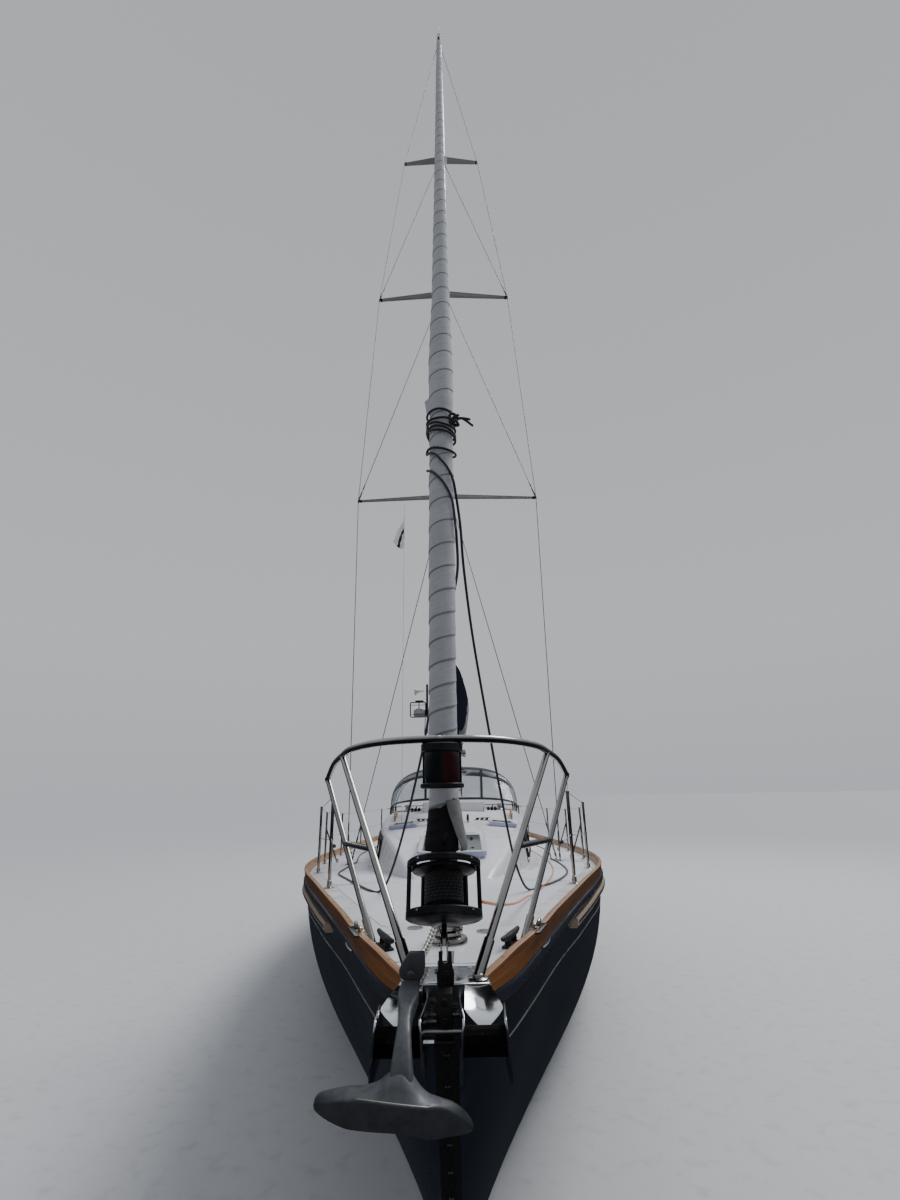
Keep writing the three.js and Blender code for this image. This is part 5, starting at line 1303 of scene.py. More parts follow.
def make_cage(place, top, wide):
    cage = Shape()
    lower = [(0.008, -0.014), (0.046, -0.014), (0.054, -0.009), (0.108, -0.005), (wide, 0.0), (wide, 0.017),
             (wide - 0.003, 0.02), (wide - 0.011, 0.02), (wide - 0.014, 0.012), (0.06, 0.006), (0.008, 0.006)]
    upper = [(wide - dr, top + h) for dr, h in mm(26, -9, 4, -17, 0, -14, 0, 0, 5, 4, 22, 6, 28, 2)]
    for profile in (lower, upper):
        turned(cage, profile, place, 72, loop=True)
    for part in (0.0, 0.29, 0.71, 1.0):
        block(cage, (wide - 0.014, -0.0085, 0.008), (wide - 0.001, 0.0085, top), 0.003, 0,
              place @ Matrix.Rotation(part * pi, 4, "Z"))
    for k in range(4):
        turn = place @ Matrix.Rotation(pi * (0.5 * k + 0.27), 4, "Z")
        for h in (0.011, top - 0.006):
            turned(cage, mm(4.5, 0, 4, 1.5, 0, 2), turn @ placed((wide, 0, h)) @ Matrix.Rotation(pi / 2, 4, "Y"), 12, 1)
    piece("furler_cage_rings", cage, [BLACK, STEEL], replaces=["furler_cage"])


def make_drum(place, top, flange):
    drum = Shape()
    profile = [(0.007, 0.014), (flange, 0.014), (flange + 0.001, 0.018), (flange, 0.022), (0.062, 0.028),
               (0.052, 0.034), (0.052, top - 0.044), (0.062, top - 0.034), (flange, top - 0.028),
               (flange + 0.001, top - 0.022), (flange, top - 0.017)]
    neck = mm(58, -14, 50, -8, 44, 4, 41, 30, 41, 43, 7, 44.5)
    turned(drum, profile + [(r, top + h) for r, h in neck], place, 64, loop=True)
    tube(drum, [place @ p for p in helix(0.0565, 0.0094, 9, 0.038)], 0.0046, 8, 1)
    lever = ((0.0, -0.036, top + 0.02), (0.004, -0.062, top + 0.045), (0.01, -0.058, top + 0.075))
    tube(drum, smooth([place @ Vector(p) for p in lever], 5), 0.005, 10)
    piece("furler_drum_turned", drum, [BLACK, SPOOL_LINE, STEEL], "furler", ["furler_drum"])


def make_furler():
    place = stay_place(DRUM_LOW)
    make_cage(place, DRUM_LENGTH, DRUM_RADIUS)
    make_drum(place, DRUM_LENGTH, DRUM_RADIUS - 0.018)
    stay = Shape()
    plate(stay, mm(-11.6, -22, 11.6, -22, 11.6, 22, -11.6, 22), 0.034, at(0, 0.03, PLATE_TOP + 0.0003), 0.002)
    for side in (-1, 1):
        plate(stay, mm(-14, -30, 14, -30, 16, 0, 14, 62, 8, 72, -8, 72, -14, 62, -16, 0), 0.005,
              axes(stay_at(1.585) + vec(side * 0.009 - 0.0025, 0, 0), STAY.cross(Vector(X)), STAY), 0.0012)
    for z, half, radius in ((1.592, 0.02, 0.006), (1.635, 0.016, 0.005)):
        rod(stay, stay_at(z) + vec(-half, 0, 0), stay_at(z) + vec(half, 0, 0), radius, 14)
    tube(stay, [stay_at(z) for z in (1.63, 1.66, 1.664, 1.70)], [0.011, 0.011, 0.008, 0.008], 20)
    rod(stay, stay_at(1.69), stay_at(16.43), WIRE, 12)
    tube(stay, [stay_at(z) for z in (16.2, 16.22, 16.36, 16.40, 16.43)], [0.006, 0.009, 0.009, 0.012, 0.012], 16)
    piece("forestay_wire", stay, STEEL, replaces=["forestay"])


SEAM_PITCH, SEAM_GROWTH, UPPER_GROWTH, UPPER_START = 0.066, 0.058, 0.025, 4.2
UPPER_PITCH = SEAM_PITCH + SEAM_GROWTH * (UPPER_START - GENOA_LOW)
UPPER_TURNS = log(UPPER_PITCH / SEAM_PITCH) / SEAM_GROWTH
TOP_PITCH = UPPER_PITCH + UPPER_GROWTH * (GENOA_TOP - UPPER_START)
SAIL_TURNS = UPPER_TURNS + log(TOP_PITCH / UPPER_PITCH) / UPPER_GROWTH
TURN_STEPS = 48


def seam_height(turns):
    """Height of the sail's edge after so many turns; each turn is taller than the one below."""
    if turns < UPPER_TURNS:
        return GENOA_LOW + SEAM_PITCH * (exp(SEAM_GROWTH * turns) - 1) / SEAM_GROWTH
    return UPPER_START + UPPER_PITCH * (exp(UPPER_GROWTH * (turns - UPPER_TURNS)) - 1) / UPPER_GROWTH


def sail_point(angle, z, proud):
    c, s = cos(angle), sin(angle)
    wrinkle = noise.noise(vec(c * 1.3 + 5, s * 1.3, z * 6.0))
    fine = noise.noise(vec(c * 3.0, s * 3.0 + 9, z * 16.0))
    lump = noise.noise(vec(c * 0.7, s * 0.7, z * 0.8 + 20))
    tied = 0.004 if 3.66 < z < 4.22 else 0.0
    r = genoa_radius(z) - 0.0035 + proud + 0.0014 * wrinkle + 0.0007 * fine + 0.002 * lump - tied
    return stay_at(z) + vec(r * c, r * s, 0)


def tack_row(t):
    """A row of the tack patch, t from its top to its foot, with pleats that run slantwise."""
    row = []
    for a in spread(195, 318, 20):
        z = 2.012 - 0.128 * t + (1 - t) * (0.03 * clamp((a - 262) / 50) - 0.008 * clamp((240 - a) / 45))
        pleat = sin(24 * t + 0.035 * a) * sin(pi * t) * (0.6 + 0.4 * sin(0.09 * a))
        row.append(round_sail(a, z, 0.002 + 0.0155 * t**1.3 - 0.004 * clamp((t - 0.85) / 0.15) + 0.0019 * pleat))
    return row


def make_genoa():
    """The rolled sail: one strip wound up the stay, its lower edge lying over the turn below."""
    shape, rings = Shape(), []
    for k in range(-TURN_STEPS, int(SAIL_TURNS * TURN_STEPS) + 1):
        turns, angle = k / TURN_STEPS, 2 * pi * (k % TURN_STEPS) / TURN_STEPS
        low, high = seam_height(turns), seam_height(turns + 1)
        rows = [(low, 0.0), (low + 0.0008, 0.003), (low + 0.007, 0.0034)]
        rows += [(low + (high - low) * p, 0.0034 * (1 - p)) for p in spread(0, 1, 9)[1:]]
        rings.append([sail_point(angle, clamp(z, GENOA_LOW, GENOA_TOP), proud) for z, proud in rows])
    # The two lip strips of each turn take the darker edge cloth: edge tape, and painted shadow under the turn's lower
    # edge.
    loft(shape, rings, closed=False, ends=False, pick=lambda j: 1 if j < 2 else 0)
    for z in (GENOA_LOW, GENOA_TOP):
        r = genoa_radius(z)
        turned(shape, [(0.012, -0.001), (r - 0.0035, -0.001), (r - 0.002, 0.001), (0.012, 0.001)], stay_at(z), 48,
               loop=True)
    shell(shape, [tack_row(t) for t in spread(0, 1, 22)], 0.003, 2)
    fold = []
    for z, a0, a1, grow in ((2.036, 280, 350, 0.003), (2.0, 287, 353, 0.008), (1.965, 297, 355, 0.014),
                            (1.93, 307, 357, 0.02), (1.9, 316, 358, 0.025), (1.884, 319, 356, 0.021)):
        fold.append([round_sail(a, z, grow + 0.003 * sin(pi * i / 10) + 0.001 * sin(90 * z + i))
                     for i, a in enumerate(spread(a0, a1, 11))])
    shell(shape, [smooth(line, 3) for line in zip(*fold)], 0.0025, 3)
    flap = [[round_sail(a, 4.155 + 0.15 * t, 0.001 + (198 - a) * 0.0011 * (0.4 + 0.6 * t))
             for a in spread(215, 176, 6)] for t in spread(0, 1, 8)]
    shell(shape, flap, 0.003)
    sail = piece("furled_genoa_cloth", shape, [SAIL, SEAM_TAPE_AND_SHADE, TACK_CLOTH, FOLD_CLOTH], "furler",
                 ["furled_genoa"], angle=60)


def make_wraps():
    """The sheets' last turns round the sail, and the hitch that holds them."""
    middles = [3.76, 3.945, 3.975, 4.01, 4.045, 4.13, 4.16]
    path, wraps, knot, steps = [], Shape(), Shape(), 36
    for k in range(5 * steps + 15):
        angle, part = 180 + 360 * k / steps, k / steps
        i = min(int(part), len(middles) - 2)
        tilt = 0.05 - 0.02 * clamp(part - 0.6) - 0.003 * max(part - 1, 0)
        z = middles[i] + (middles[i + 1] - middles[i]) * (part - i)
        z -= tilt * cos(radians(angle)) - 0.006 * sin(radians(2.3 * angle))
        path.append(round_sail(angle, z, SHEET / 2 + 0.0012 + 0.002 * sin(radians(1.7 * angle)) ** 2))
    tube(wraps, path, SHEET / 2, 10)
    turns = piece("jib_sheet_wraps", wraps, BLACK_ROPE, "furler", angle=180)
    hub = path[-1] + vec(0.012, -0.006, -0.055)
    hitch = [hub + vec(0.024 * sin(t * 2) + 0.004 * sin(5 * t), 0.016 * sin(3 * t) - 0.004,
                       0.034 * cos(t * 1.5) + 0.006 * cos(4 * t)) for t in spread(0, 4 * pi, 110)]
    tube(knot, hitch, SHEET / 2, 10)
    for end in ((0.095, 0.0, 0.005), (0.11, 0.006, -0.035)):
        tube(knot, smooth([hub, hub + vec(0.045, -0.01, 0.008), hub + Vector(end)], 6), SHEET / 2, 10)
    knot_piece = piece("jib_sheet_hitch", knot, BLACK_ROPE, "furler", angle=180)


# Coachroof and its gear

HATCH = axes(on_roof(0, 3.43), X, (0, 550, 105))
SIDE_HATCHES = {side: placed(on_roof(side * 0.55, 4.955)) @ Matrix.Rotation(side * 0.09, 4, "Y")
                @ Matrix.Rotation(0.02, 4, "X") for side in SIDES}
WINDOWS = ((4.5, 5.4), (5.6, 6.65), (6.85, 7.9))
WINDOW_HEIGHT = 1.53


def roof_ring(s, grow=0.0, drop=0.06):
    _, base, roof, edge, crown = table_row(ROOF, s)
    low, half = deck_edge(s)[1] - drop, roof - 0.045 + grow
    start, corner, end = (roof + 0.012 + grow, edge - 0.062), (roof + grow, edge + 0.001 + grow), (half, edge + grow)
    side = [(base + grow, low), start]
    for t in spread(0, 1, 8)[1:]:
        side.append(tuple((1 - t) ** 2 * a + 2 * t * (1 - t) * b + t**2 * c for a, b, c in zip(start, corner, end)))
    arch = [(part * half, edge + grow + crown * (1 - part**2)) for part in spread(1, -1, 19)[1:-1]]
    return [at(x, s, z) for x, z in side + arch + [(-x, z) for x, z in side[::-1]]]


def window_loop(s0, s1, grow, radius, per):
    """The outline of a cabin window as station and height."""
    loop = round_loop((s1 - s0) / 2 + grow, 0.09 + grow, radius, per)
    return [((s0 + s1) / 2 + x, WINDOW_HEIGHT + z) for x, z in loop]


def make_coachroof():
    shape, inner = Shape(), Shape()
    loft(shape, [roof_ring(s) for s in spread(2.74, 8.6, 66)])
    roof = piece("coachroof_moulding", shape, [WHITE, LINER], replaces=["coachroof"], angle=45)
    loft(inner, [roof_ring(s, -0.04, 0.2) for s in spread(2.97, 8.56, 40)], 1)
    tools = [inner, hull_box(-0.33, 0.33, 8.0, 8.66, 1.3, 2.2, slot=0)]
    for s0, s1 in WINDOWS:
        for side in SIDES:
            tools.append(Shape())
            plate(tools[-1], window_loop(s0, s1, 0, 0.05, 5), 0.7, facing_port(at(side - 0.35, 0, 0)), 0)
    for low, high, place in [((-0.23, -0.235, -0.2), (0.23, 0.235, 0.2), HATCH)] + [
            ((-0.11, -0.175, -0.15), (0.11, 0.175, 0.1), SIDE_HATCHES[side]) for side in SIDES]:
        tools.append(Shape())
        block(tools[-1], low, high, 0, 0, place)
    carve(roof, tools, angle=45)


def make_window_frames():
    """Frames that stand out from the window panes, found by looking in from the side."""
    frames = Shape()
    bpy.context.view_layer.update()
    for side, name in SIDES.items():
        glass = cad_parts[f"{name}_cabin_window"]
        back = glass.matrix_world.inverted()

        def wall(s, z, out):
            _, place, *_ = glass.ray_cast(back @ at(side * 3, s, z), back.to_3x3() @ vec(-side, 0, 0))
            return at((glass.matrix_world @ place).x + side * out, s, z)

        for s0, s1 in WINDOWS:
            outside, inside = window_loop(s0, s1, 0.012, 0.06, 6), window_loop(s0, s1, -0.012, 0.04, 6)
            loft(frames, [[wall(s, z, out) for s, z in line] for line, out in (
                (outside, 0.0005), (outside, 0.011), (inside, 0.011), (inside, 0.0005))], loop=True)
        dress(f"{name}_cabin_window", SMOKED, 0.0015)
    piece("cabin_window_frames", frames, BLACK)


def rim(shape, half_x, half_y, radius, wide, low, high, place, slot=0, ease=0.003):
    """A frame with rounded corners and eased edges, from low to high over the place's plane."""
    rings = []
    for inset, lift in ((0, low), (0, high - ease), (ease, high), (wide - ease, high), (wide, high - ease),
                        (wide, low)):
        outline = round_loop(half_x - inset, half_y - inset, max(radius - inset, 0.004), 6)
        rings.append([place @ vec(x, y, lift) for x, y in outline])
    loft(shape, rings, slot, loop=True)


def make_hatches():
    coaming = Shape()
    rim(coaming, 0.263, 0.268, 0.045, 0.03, -0.05, 0.0177, HATCH)
    lids = [("forward_hatch", HATCH, 0.288, 0.28, 0.05)]
    for side, name in SIDES.items():
        rim(coaming, 0.14, 0.205, 0.035, 0.028, -0.025, 0.0177, SIDE_HATCHES[side])
        lids.append((f"{name}_hatch", SIDE_HATCHES[side], 0.15, 0.215, 0.04))
    piece("hatch_coamings", coaming, SPAR)
    for node, place, x, y, radius in lids:
        lid = Shape()
        for inset, corner, wide, low, high, slot, ease in (
                (0, 0, 0.0085, 0.006, 0.0365, 1, 0.0015), (0.004, 0, 0.03, 0.0183, 0.0365, 0, 0.0015),
                (0.004, 0.004, 0.038, 0.0355, 0.0438, 0, 0.002)):
            rim(lid, x - inset, y - inset, radius - corner, wide, low, high, place, slot, ease)
        plate(lid, round_loop(x - 0.032, y - 0.032, radius - 0.025, 5), 0.014, place @ placed(up(0.0255)), 0.002, 2)
        for i, j in ((-1, -1), (-1, 1), (1, -1), (1, 1)):
            turned(lid, mm(13, 0, 13, 2, 10, 4, 0, 4.4), place @ placed((i * 0.6 * x, j * 0.55 * y, 0.0394)), 20, 3)
        piece(f"{node}_lid", lid, [SPAR, BLUE_EDGE, SMOKED, MATT_BLACK], node, [node])


def make_roof_mouldings():
    shape, grip = Shape(), Shape()
    panel(shape, 3.85, 4.74, lambda s: -0.235, lambda s: 0.235, 0.03, 30, roof_height, 0.05, 0.018)
    turned(shape, mm(170, -30, 170, 0, 165, 8, 150, 13, 0, 14), on_roof(0, 5.13), 48)
    slab(shape, -0.11, 0.11, 4.98, 5.28, 1.70, 1.7637, 0.012, segments=3)
    slab(shape, -0.46, 0.46, 7.12, 8.01, 1.932, 1.949, 0.007, segments=3)
    slab(shape, -0.46, 0.46, 7.12, 7.144, 1.77, 1.944, 0.006)
    for side in SIDES:
        for x, half, *rest in ((0.448, 0.012, 7.12, 8.01, 1.77, 1.944, 0.006),
                               (0.352, 0.009, 7.16, 8.6, 1.79, 1.861, 0.003)):
            slab(shape, side * x - half, side * x + half, *rest)
    piece("roof_mouldings", shape, WHITE)
    for s0, s1, inner, short in ((3.8, 4.68, 0.29, 0.09), (5.3, 5.84, 0.16, 0.09), (7.16, 8.0, 0.5, 0.09)):
        panel(grip, s0, s1, lambda s: inner, lambda s: roof_half(s) - short, 0.0025, 24, roof_height, 0.06)
    grip.mirror()
    panel(grip, 5.9, 7.05, lambda s: -0.66, lambda s: 0.66, 0.0025, 30, roof_height, 0.07)
    piece("roof_nonskid_panels", grip, NONSKID)


def make_handrails():
    bar, rings = Shape(), []

    def over(s, lift):
        return on_roof(roof_half(s) - 0.16, s, lift)

    for s in spread(5.9, 7.0, 60):
        size = 0.016 * min(1, 0.35 + min(s - 5.9, 7.0 - s) / 0.07)
        section = (squared(a, 0.7) for a in circle(16))
        rings.append([over(s, 0.062) + vec(size * x, 0, size * z) for x, z in section])
    loft(bar, rings)
    for s in spread(5.96, 6.94, 4):
        foot = []
        for t in spread(0, 1, 8):
            long = 0.045 - 0.025 * sin(pi * t * 0.9)
            foot.append([over(s, 0.002 + 0.058 * t) + vec(0.013 * cos(a), long * sin(a), 0) for a in circle(20)])
        loft(bar, foot)
        turned(bar, mm(6, 0, 6, 1.2, 0, 1.6), over(s, 0.0775), 12, 1)
    both_sides("handrail_wood", bar, [RAIL_TOP, PLUG], "handrail")


def make_roof_gear():
    gear = Shape()
    for k in (-1, 0, 1):
        base = at(0.6 + 0.055 * k, 7.62, roof_height(7.62, 0.6) + 0.004)
        block(gear, base + vec(-0.021, -0.075, 0), base + vec(0.021, 0.075, 0.042), 0.007)
        block(gear, base + vec(-0.014, -0.06, 0.04), base + vec(0.014, 0.075, 0.056), 0.005, 1)
    turned(gear, mm(0, 0, 66, 0, 68, 12, 50, 22, 44, 30, 40, 62, 50, 78, 56, 86, 56, 94, 30, 102, 0, 103),
           on_roof(0.74, 7.84), 40, 1)
    low = roof_height(5.52, 0.3)
    for k in range(3):
        turned(gear, mm(0, 0, 28, 0, 30, 4, 22, 12, 30, 20, 28, 25, 0, 26),
               at(0.30 + 0.06 * k, 5.52 + 0.02 * k, low + 0.006), 24, 1)
    slab(gear, 0.25, 0.47, 5.48, 5.6, low, low + 0.007, 0.003, 1)
    gear.mirror()
    for s, x in ((5.06, 0.17), (5.2, 0.175)):
        for foot in (on_roof(x, s), on_roof(-x, s)):
            rod(gear, foot, foot + up(0.035), 0.012, 14, 1)
            turned(gear, mm(0, -12, 30, -12, 32, -6, 24, 0, 32, 6, 30, 12, 0, 12), facing_port(foot + up(0.062)), 24)
    piece("roof_deck_gear", gear, [MATT_BLACK, STEEL])


# Dodger. Arches: station of the foot and of the top, half width, height of the foot and of the top.
ARCHES = [(8.03, 8.05, 1.05, 1.835, 1.975), (8.64, 8.5, 1.105, 1.8, 2.475), (8.9, 8.9, 1.125, 1.64, 2.53),
          (9.26, 9.48, 1.13, 1.56, 2.52)]
ARCH_POWER = 2.9
ANGLES = spread(0, pi, 81)


def arch_point(row, angle, grow=0.0):
    foot_s, top_s, half, foot, top = row
    across, lift = squared(angle, 2 / ARCH_POWER)
    z = foot + (top + grow - foot) * abs(lift)
    return at((half + grow) * across, foot_s + (top_s - foot_s) * (z - foot) / (top - foot), z)


def canopy_point(t, angle):
    """A point of the dodger: t runs 0 to 3 over the arches."""
    i = min(int(t), len(ARCHES) - 2)
    a, b, c, d = (arch_point(ARCHES[int(clamp(k, 0, len(ARCHES) - 1))], angle) for k in range(i - 1, i + 3))
    return curve_at(a, b, c, d, t - i) if i else b.lerp(c, t)


def make_dodger():
    canopy, glass, bind, hoops = Shape(), Shape(), Shape(), Shape()

    def canvas_point(t, a):
        p, middle = canopy_point(t, a), sin(pi * (t - 1) / 2)
        sag = 0.016 * middle**2 * sin(a) ** 0.5 + noise.noise(vec(p.x * 2, p.y * 5, 3)) * 0.006
        fold = 0.004 * sin(34 * a) * max(0.0, 1 - sin(a) * 2.2) * abs(middle)
        return p - vec(copysign(fold, p.x), 0, sag)

    def glass_point(t, a):
        p = canopy_point(t, a)
        wave = noise.noise(vec(p.x * 3.2, p.z * 2.4, 8)) * 0.011 * sin(pi * t)
        return p + vec(0, wave, -0.4 * wave)

    def strip(*lines):
        shell(bind, [[p + vec(0, -0.002, 0.002) for p in line] for line in lines], 0.0045)

    shell(canopy, [[canvas_point(t, a) for a in ANGLES] for t in spread(1, 3, 29)], 0.0022)
    shell(glass, [[glass_point(t, a) for a in ANGLES] for t in spread(0, 1, 15)], 0.0015)
    canopy_piece = piece("dodger_canvas", canopy, CANVAS, replaces=["dodger_canopy"], angle=60)
    glass_piece = piece("dodger_windows", glass, VINYL, angle=60)
    for t0, t1 in ((0, 0.07), (0.78, 1.06)):
        strip(*([canopy_point(t, a) for a in ANGLES] for t in (t0, t1)))
    for a0, a1 in ((0.0, 0.035), (pi, pi - 0.035), (1.238, 1.278), (pi - 1.238, pi - 1.278)):
        strip(*([canopy_point(t, a) for t in spread(0, 1, 15)] for a in (a0, a1)))
    strip(*([canopy_point(t, a) for a in ANGLES] for t in (2.93, 3.0)))
    bind_piece = piece("dodger_bindings", bind, BINDING, angle=60)
    feet = [at(x, 9.08, 1.506) for x in (1.065, -1.065)]
    for row in (ARCHES[1], ARCHES[3]):
        path = [feet[0]] + [arch_point(row, a, -0.027) for a in spread(0, pi, 41)] + [feet[1]]
        tube(hoops, smooth(path, 2), 0.012, 16)
    for point in feet:
        block(hoops, point + vec(-0.022, -0.045, -0.0137), point + vec(0.022, 0.045, 0.012))
        rod(hoops, point + vec(-0.03, 0, 0.004), point + vec(0.03, 0, 0.004), 0.006, 14)
    piece("dodger_hoops", hoops, STEEL, replaces=["dodger_frame"])


# Cockpit

WINCH = at(1.065, 10.15, 1.4923)
WHEEL, GRIP = 0.43, 0.0128


def make_cockpit():
    for node, look, bevel, angle in (
            ("cockpit_tub", WHITE, 0.012, 40), ("cockpit_coamings", WHITE, 0.014, 40),
            ("washboards", VARNISHED, 0.004, 32), ("companionway_hatch", WHITE, 0.007, 32),
            ("steering_pedestal", GREY_PLASTIC, 0.004, 45)):
        dress(node, look, bevel, angle)
    slats = Shape()
    for count, first, s0, s1 in ((13, -0.36, 8.82, 10.74), (20, -0.57, 10.8, 11.76)):
        for k in range(count):
            x = first + 0.06 * k
            slab(slats, x - 0.027, x + 0.027, s0, s1, 0.6, 0.612, 0.002)
    for s in spread(8.84, 10.72, 7):
        slab(slats, -0.39, 0.39, s - 0.02, s + 0.02, 0.598, 0.607, 0.001)
    for side in SIDES:
        for s0, s1, first in ((8.86, 9.2, 0), (10.64, 10.745, 0), (10.8, 11.7, 4)):
            for k in range(first, 8):
                x = side * (0.475 + 0.058 * k)
                top = deck_height((s0 + s1) / 2, x)
                slab(slats, x - 0.026, x + 0.026, s0, s1, top - 0.004, top + 0.008, 0.002)
    piece("cockpit_teak_slats", slats, BARE_TEAK)
    for name in SIDES.values():
        node, lid, count = f"{name}_locker_lid", Shape(), 7
        dress(node, WHITE, 0.008)
        low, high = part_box(node)
        for k in range(count):
            x = low[0] + 0.02 + (high[0] - low[0] - 0.04) * (k + 0.5) / count
            block(lid, (x - 0.028, low[1] + 0.03, high[2] - 0.003), (x + 0.028, high[1] - 0.03, high[2] + 0.007), 0.002)
        piece(f"{node}_slats", lid, BARE_TEAK, node)


def make_winches():
    winch, base = Shape(), placed(WINCH)
    turned(winch, mm(0, 0, 88, 0, 88, 6, 86, 18, 76, 26, 62, 36, 56, 46, 52, 70, 51.5, 90, 56, 108, 64, 122, 67, 126,
                     67, 130, 61, 134, 61, 139, 67, 143, 67, 148, 58, 152, 34, 157, 22, 158, 22, 150, 0, 150), base, 56,
           pick=lambda i: 1 if i in (12, 13, 14) else 0)
    for a in circle(24):
        block(winch, (0.051, -0.0018, 0.05), (0.0545, 0.0018, 0.1), 0.0007, 0, base @ Matrix.Rotation(a, 4, "Z"))
    arm = ((-0.03, 0, 0.158), (-0.06, 0.004, 0.157), (-0.078, 0.008, 0.14), (-0.08, 0.008, 0.128))
    tube(winch, smooth([base @ Vector(p) for p in arm], 5), 0.006, 12)
    both_sides("winch_drum", winch, [STEEL, MATT_BLACK], "winch")
    for side, name in SIDES.items():
        centre = vec(side * WINCH.x, WINCH.y, WINCH.z)
        wraps = [centre + vec(p.y * side, p.x, p.z) for p in helix(0.0595, 0.0145, 3, 0.056)]
        cord_piece(f"{name}_winch_turns", wraps, SHEET, BLACK_ROPE, stiffness="limp", lay="coiled")


def make_steering():
    wheel, guard, globe = Shape(), Shape(), Shape()
    centre, s = at(0, 11.12, 1.33), 10.945
    tube(wheel, [centre + vec(WHEEL * cos(a), 0, WHEEL * sin(a)) for a in circle(96)], TUBE, 16, loop=True)
    for a in circle(6):
        out = vec(cos(a + pi / 6), 0, sin(a + pi / 6))
        tube(wheel, [centre + out * r for r in (0.02, 0.07, 0.38, 0.42)], [0.0095, 0.0075, 0.0062, 0.008], 12)
    turned(wheel, mm(0, -18, 34, -18, 36, -14, 36, 12, 28, 18, 18, 20, 18, 29, 0, 30),
           axes(centre, X, (0, 0, -1)), 36)
    stitch = []
    for k in range(900):
        a, b = 2 * pi * k / 900, 2 * pi * k / 12
        r = WHEEL + GRIP * cos(b)
        stitch.append(centre + vec(r * cos(a), GRIP * sin(b), r * sin(a)))
    tube(wheel, stitch, 0.0011, 5, 1, loop=True)
    piece("steering_wheel_rim", wheel, [STEEL, MATT_BLACK], "steering_wheel", ["steering_wheel"])
    for side in SIDES:
        path = [at(side * x, s - back, z) for x, back, z in (
            (0.16, 0, 0.61), (0.16, 0, 1.2), (0.15, 0.02, 1.46), (0.09, 0.05, 1.535), (0, 0.055, 1.545))]
        tube(guard, smooth(path, 8), TUBE, 14)
    turned(guard, mm(89, 0, 89, 12, 84, 20, 80, 20), at(0, s, 1.388), 40)
    piece("pedestal_guard", guard, STEEL)
    turned(globe, mm(79, 0, 76, 30, 64, 56, 44, 73, 20, 81, 0, 82), at(0, s, 1.449), 48)
    piece("compass_dome", globe, SMOKED)


# Mast, boom and sail cover

# Spreaders: name, height, reach of the tip, sweep aft.
SPREADERS = (("lower_spreaders", 6.03, 1.282, 0.155), ("middle_spreaders", 9.8, 1.065, 0.125),
             ("upper_spreaders", 13.05, 0.674, 0.08))
MAST_FOOT, MAST_STEP, MAST_LENGTH, MAST_RAKE = 5.13, 1.764, 14.796, 0.18
BOOM_HEIGHT = 2.76


def mast_station(z):
    return MAST_FOOT + MAST_RAKE * (z - MAST_STEP) / MAST_LENGTH


def make_mast():
    shape, lines = Shape(), Shape()

    def mast_ring(s, z, scale):
        return [at(0.072 * scale * cos(a), s + 0.105 * scale * sin(a), z) for a in circle(48)]

    sizes = ((MAST_STEP, 1), (3, 1), (6, 1), (9.8, 1), (13.96, 1), (15, 0.887), (16.5, 0.72))
    loft(shape, [mast_ring(mast_station(z), z, scale) for z, scale in sizes])
    for z, deep in ((1.766, 0.02), (1.80, 0.012)):
        loft(shape, [mast_ring(MAST_FOOT, z + dz, scale) for scale, dz in (
            (1.0, 0.0), (1.18, 0.0), (1.18, deep - 0.004), (1.12, deep), (1.0, deep))])
    slab(shape, -0.038, 0.038, 5.12, 5.52, 16.44, 16.56, 0.008)
    for z in (2.714, 2.790):
        slab(shape, -0.026, 0.026, 5.2, 5.328, z, z + 0.016, 0.003, 1)
    rod(shape, at(0, 5.3, 2.70), at(0, 5.3, 2.815), 0.008, 14, 1)
    for s in (5.16, 5.48):
        turned(shape, mm(0, -14, 36, -14, 38, -10, 28, 0, 38, 10, 36, 14, 0, 14), facing_port(at(0, s, 16.45)), 28, 2)
    for x in (-0.009, 0.009):
        track = []
        for z in spread(1.85, 16.3, 12):
            track.append(at(x, mast_station(z) + 0.105 * (1 if z < 14 else 1 - 0.28 * (z - 13.96) / 2.54) + 0.004, z))
        for a, b in zip(track, track[1:]):
            rod(shape, a, b, 0.0035, 8, 1)
    piece("mast_extrusion", shape, [SPAR, STEEL, MATT_BLACK], replaces=["mast"])
    for x, s, z0, z1 in ((0.055, 5.05, 2.2, 15.9), (-0.055, 5.06, 2.2, 15.9), (0.03, 5.03, 2.9, 12.9)):
        a, b = at(x, s - 0.012, z0), at(x * 0.9, mast_station(z1) - 0.115, z1)
        tube(lines, [a.lerp(b, t) for t in spread(0, 1, 12)], 0.0045, 8)
    piece("mast_halyards", lines, GREY_ROPE, angle=180)


def make_masthead():
    top = Shape()
    rod(top, at(0, 5.22, 16.55), at(0, 5.22, 17.058), 0.005, 12)
    rod(top, at(0, 5.30, 16.55), at(0, 5.32, 16.86), 0.004, 10)
    for a in circle(3):
        end = at(0.036 * cos(a + 0.5), 5.32 + 0.036 * sin(a + 0.5), 16.845)
        rod(top, at(0, 5.32, 16.85), end, 0.0016, 8)
        turned(top, mm(0, -6, 10, -4, 12, 4, 0, 4), end, 14, 1)
    tube(top, [at(0, 5.20, 16.90), at(0, 5.36, 16.905)], 0.0018, 8)
    plate(top, mm(-8, 0, 30, 16, 34, -16, -8, -4), 0.0015, facing_port(at(-0.0008, 5.36, 16.905)), 0.0003, 1)
    turned(top, mm(34, 0, 36, 6, 36, 12, 31, 16, 31, 50, 34, 54, 30, 66, 0, 72), at(0, 5.4, 16.56), 32, 1,
           pick=lambda i: 2 if i == 3 else 1)
    piece("masthead_instruments", top, [STEEL, MATT_BLACK, WHITE_LENS])


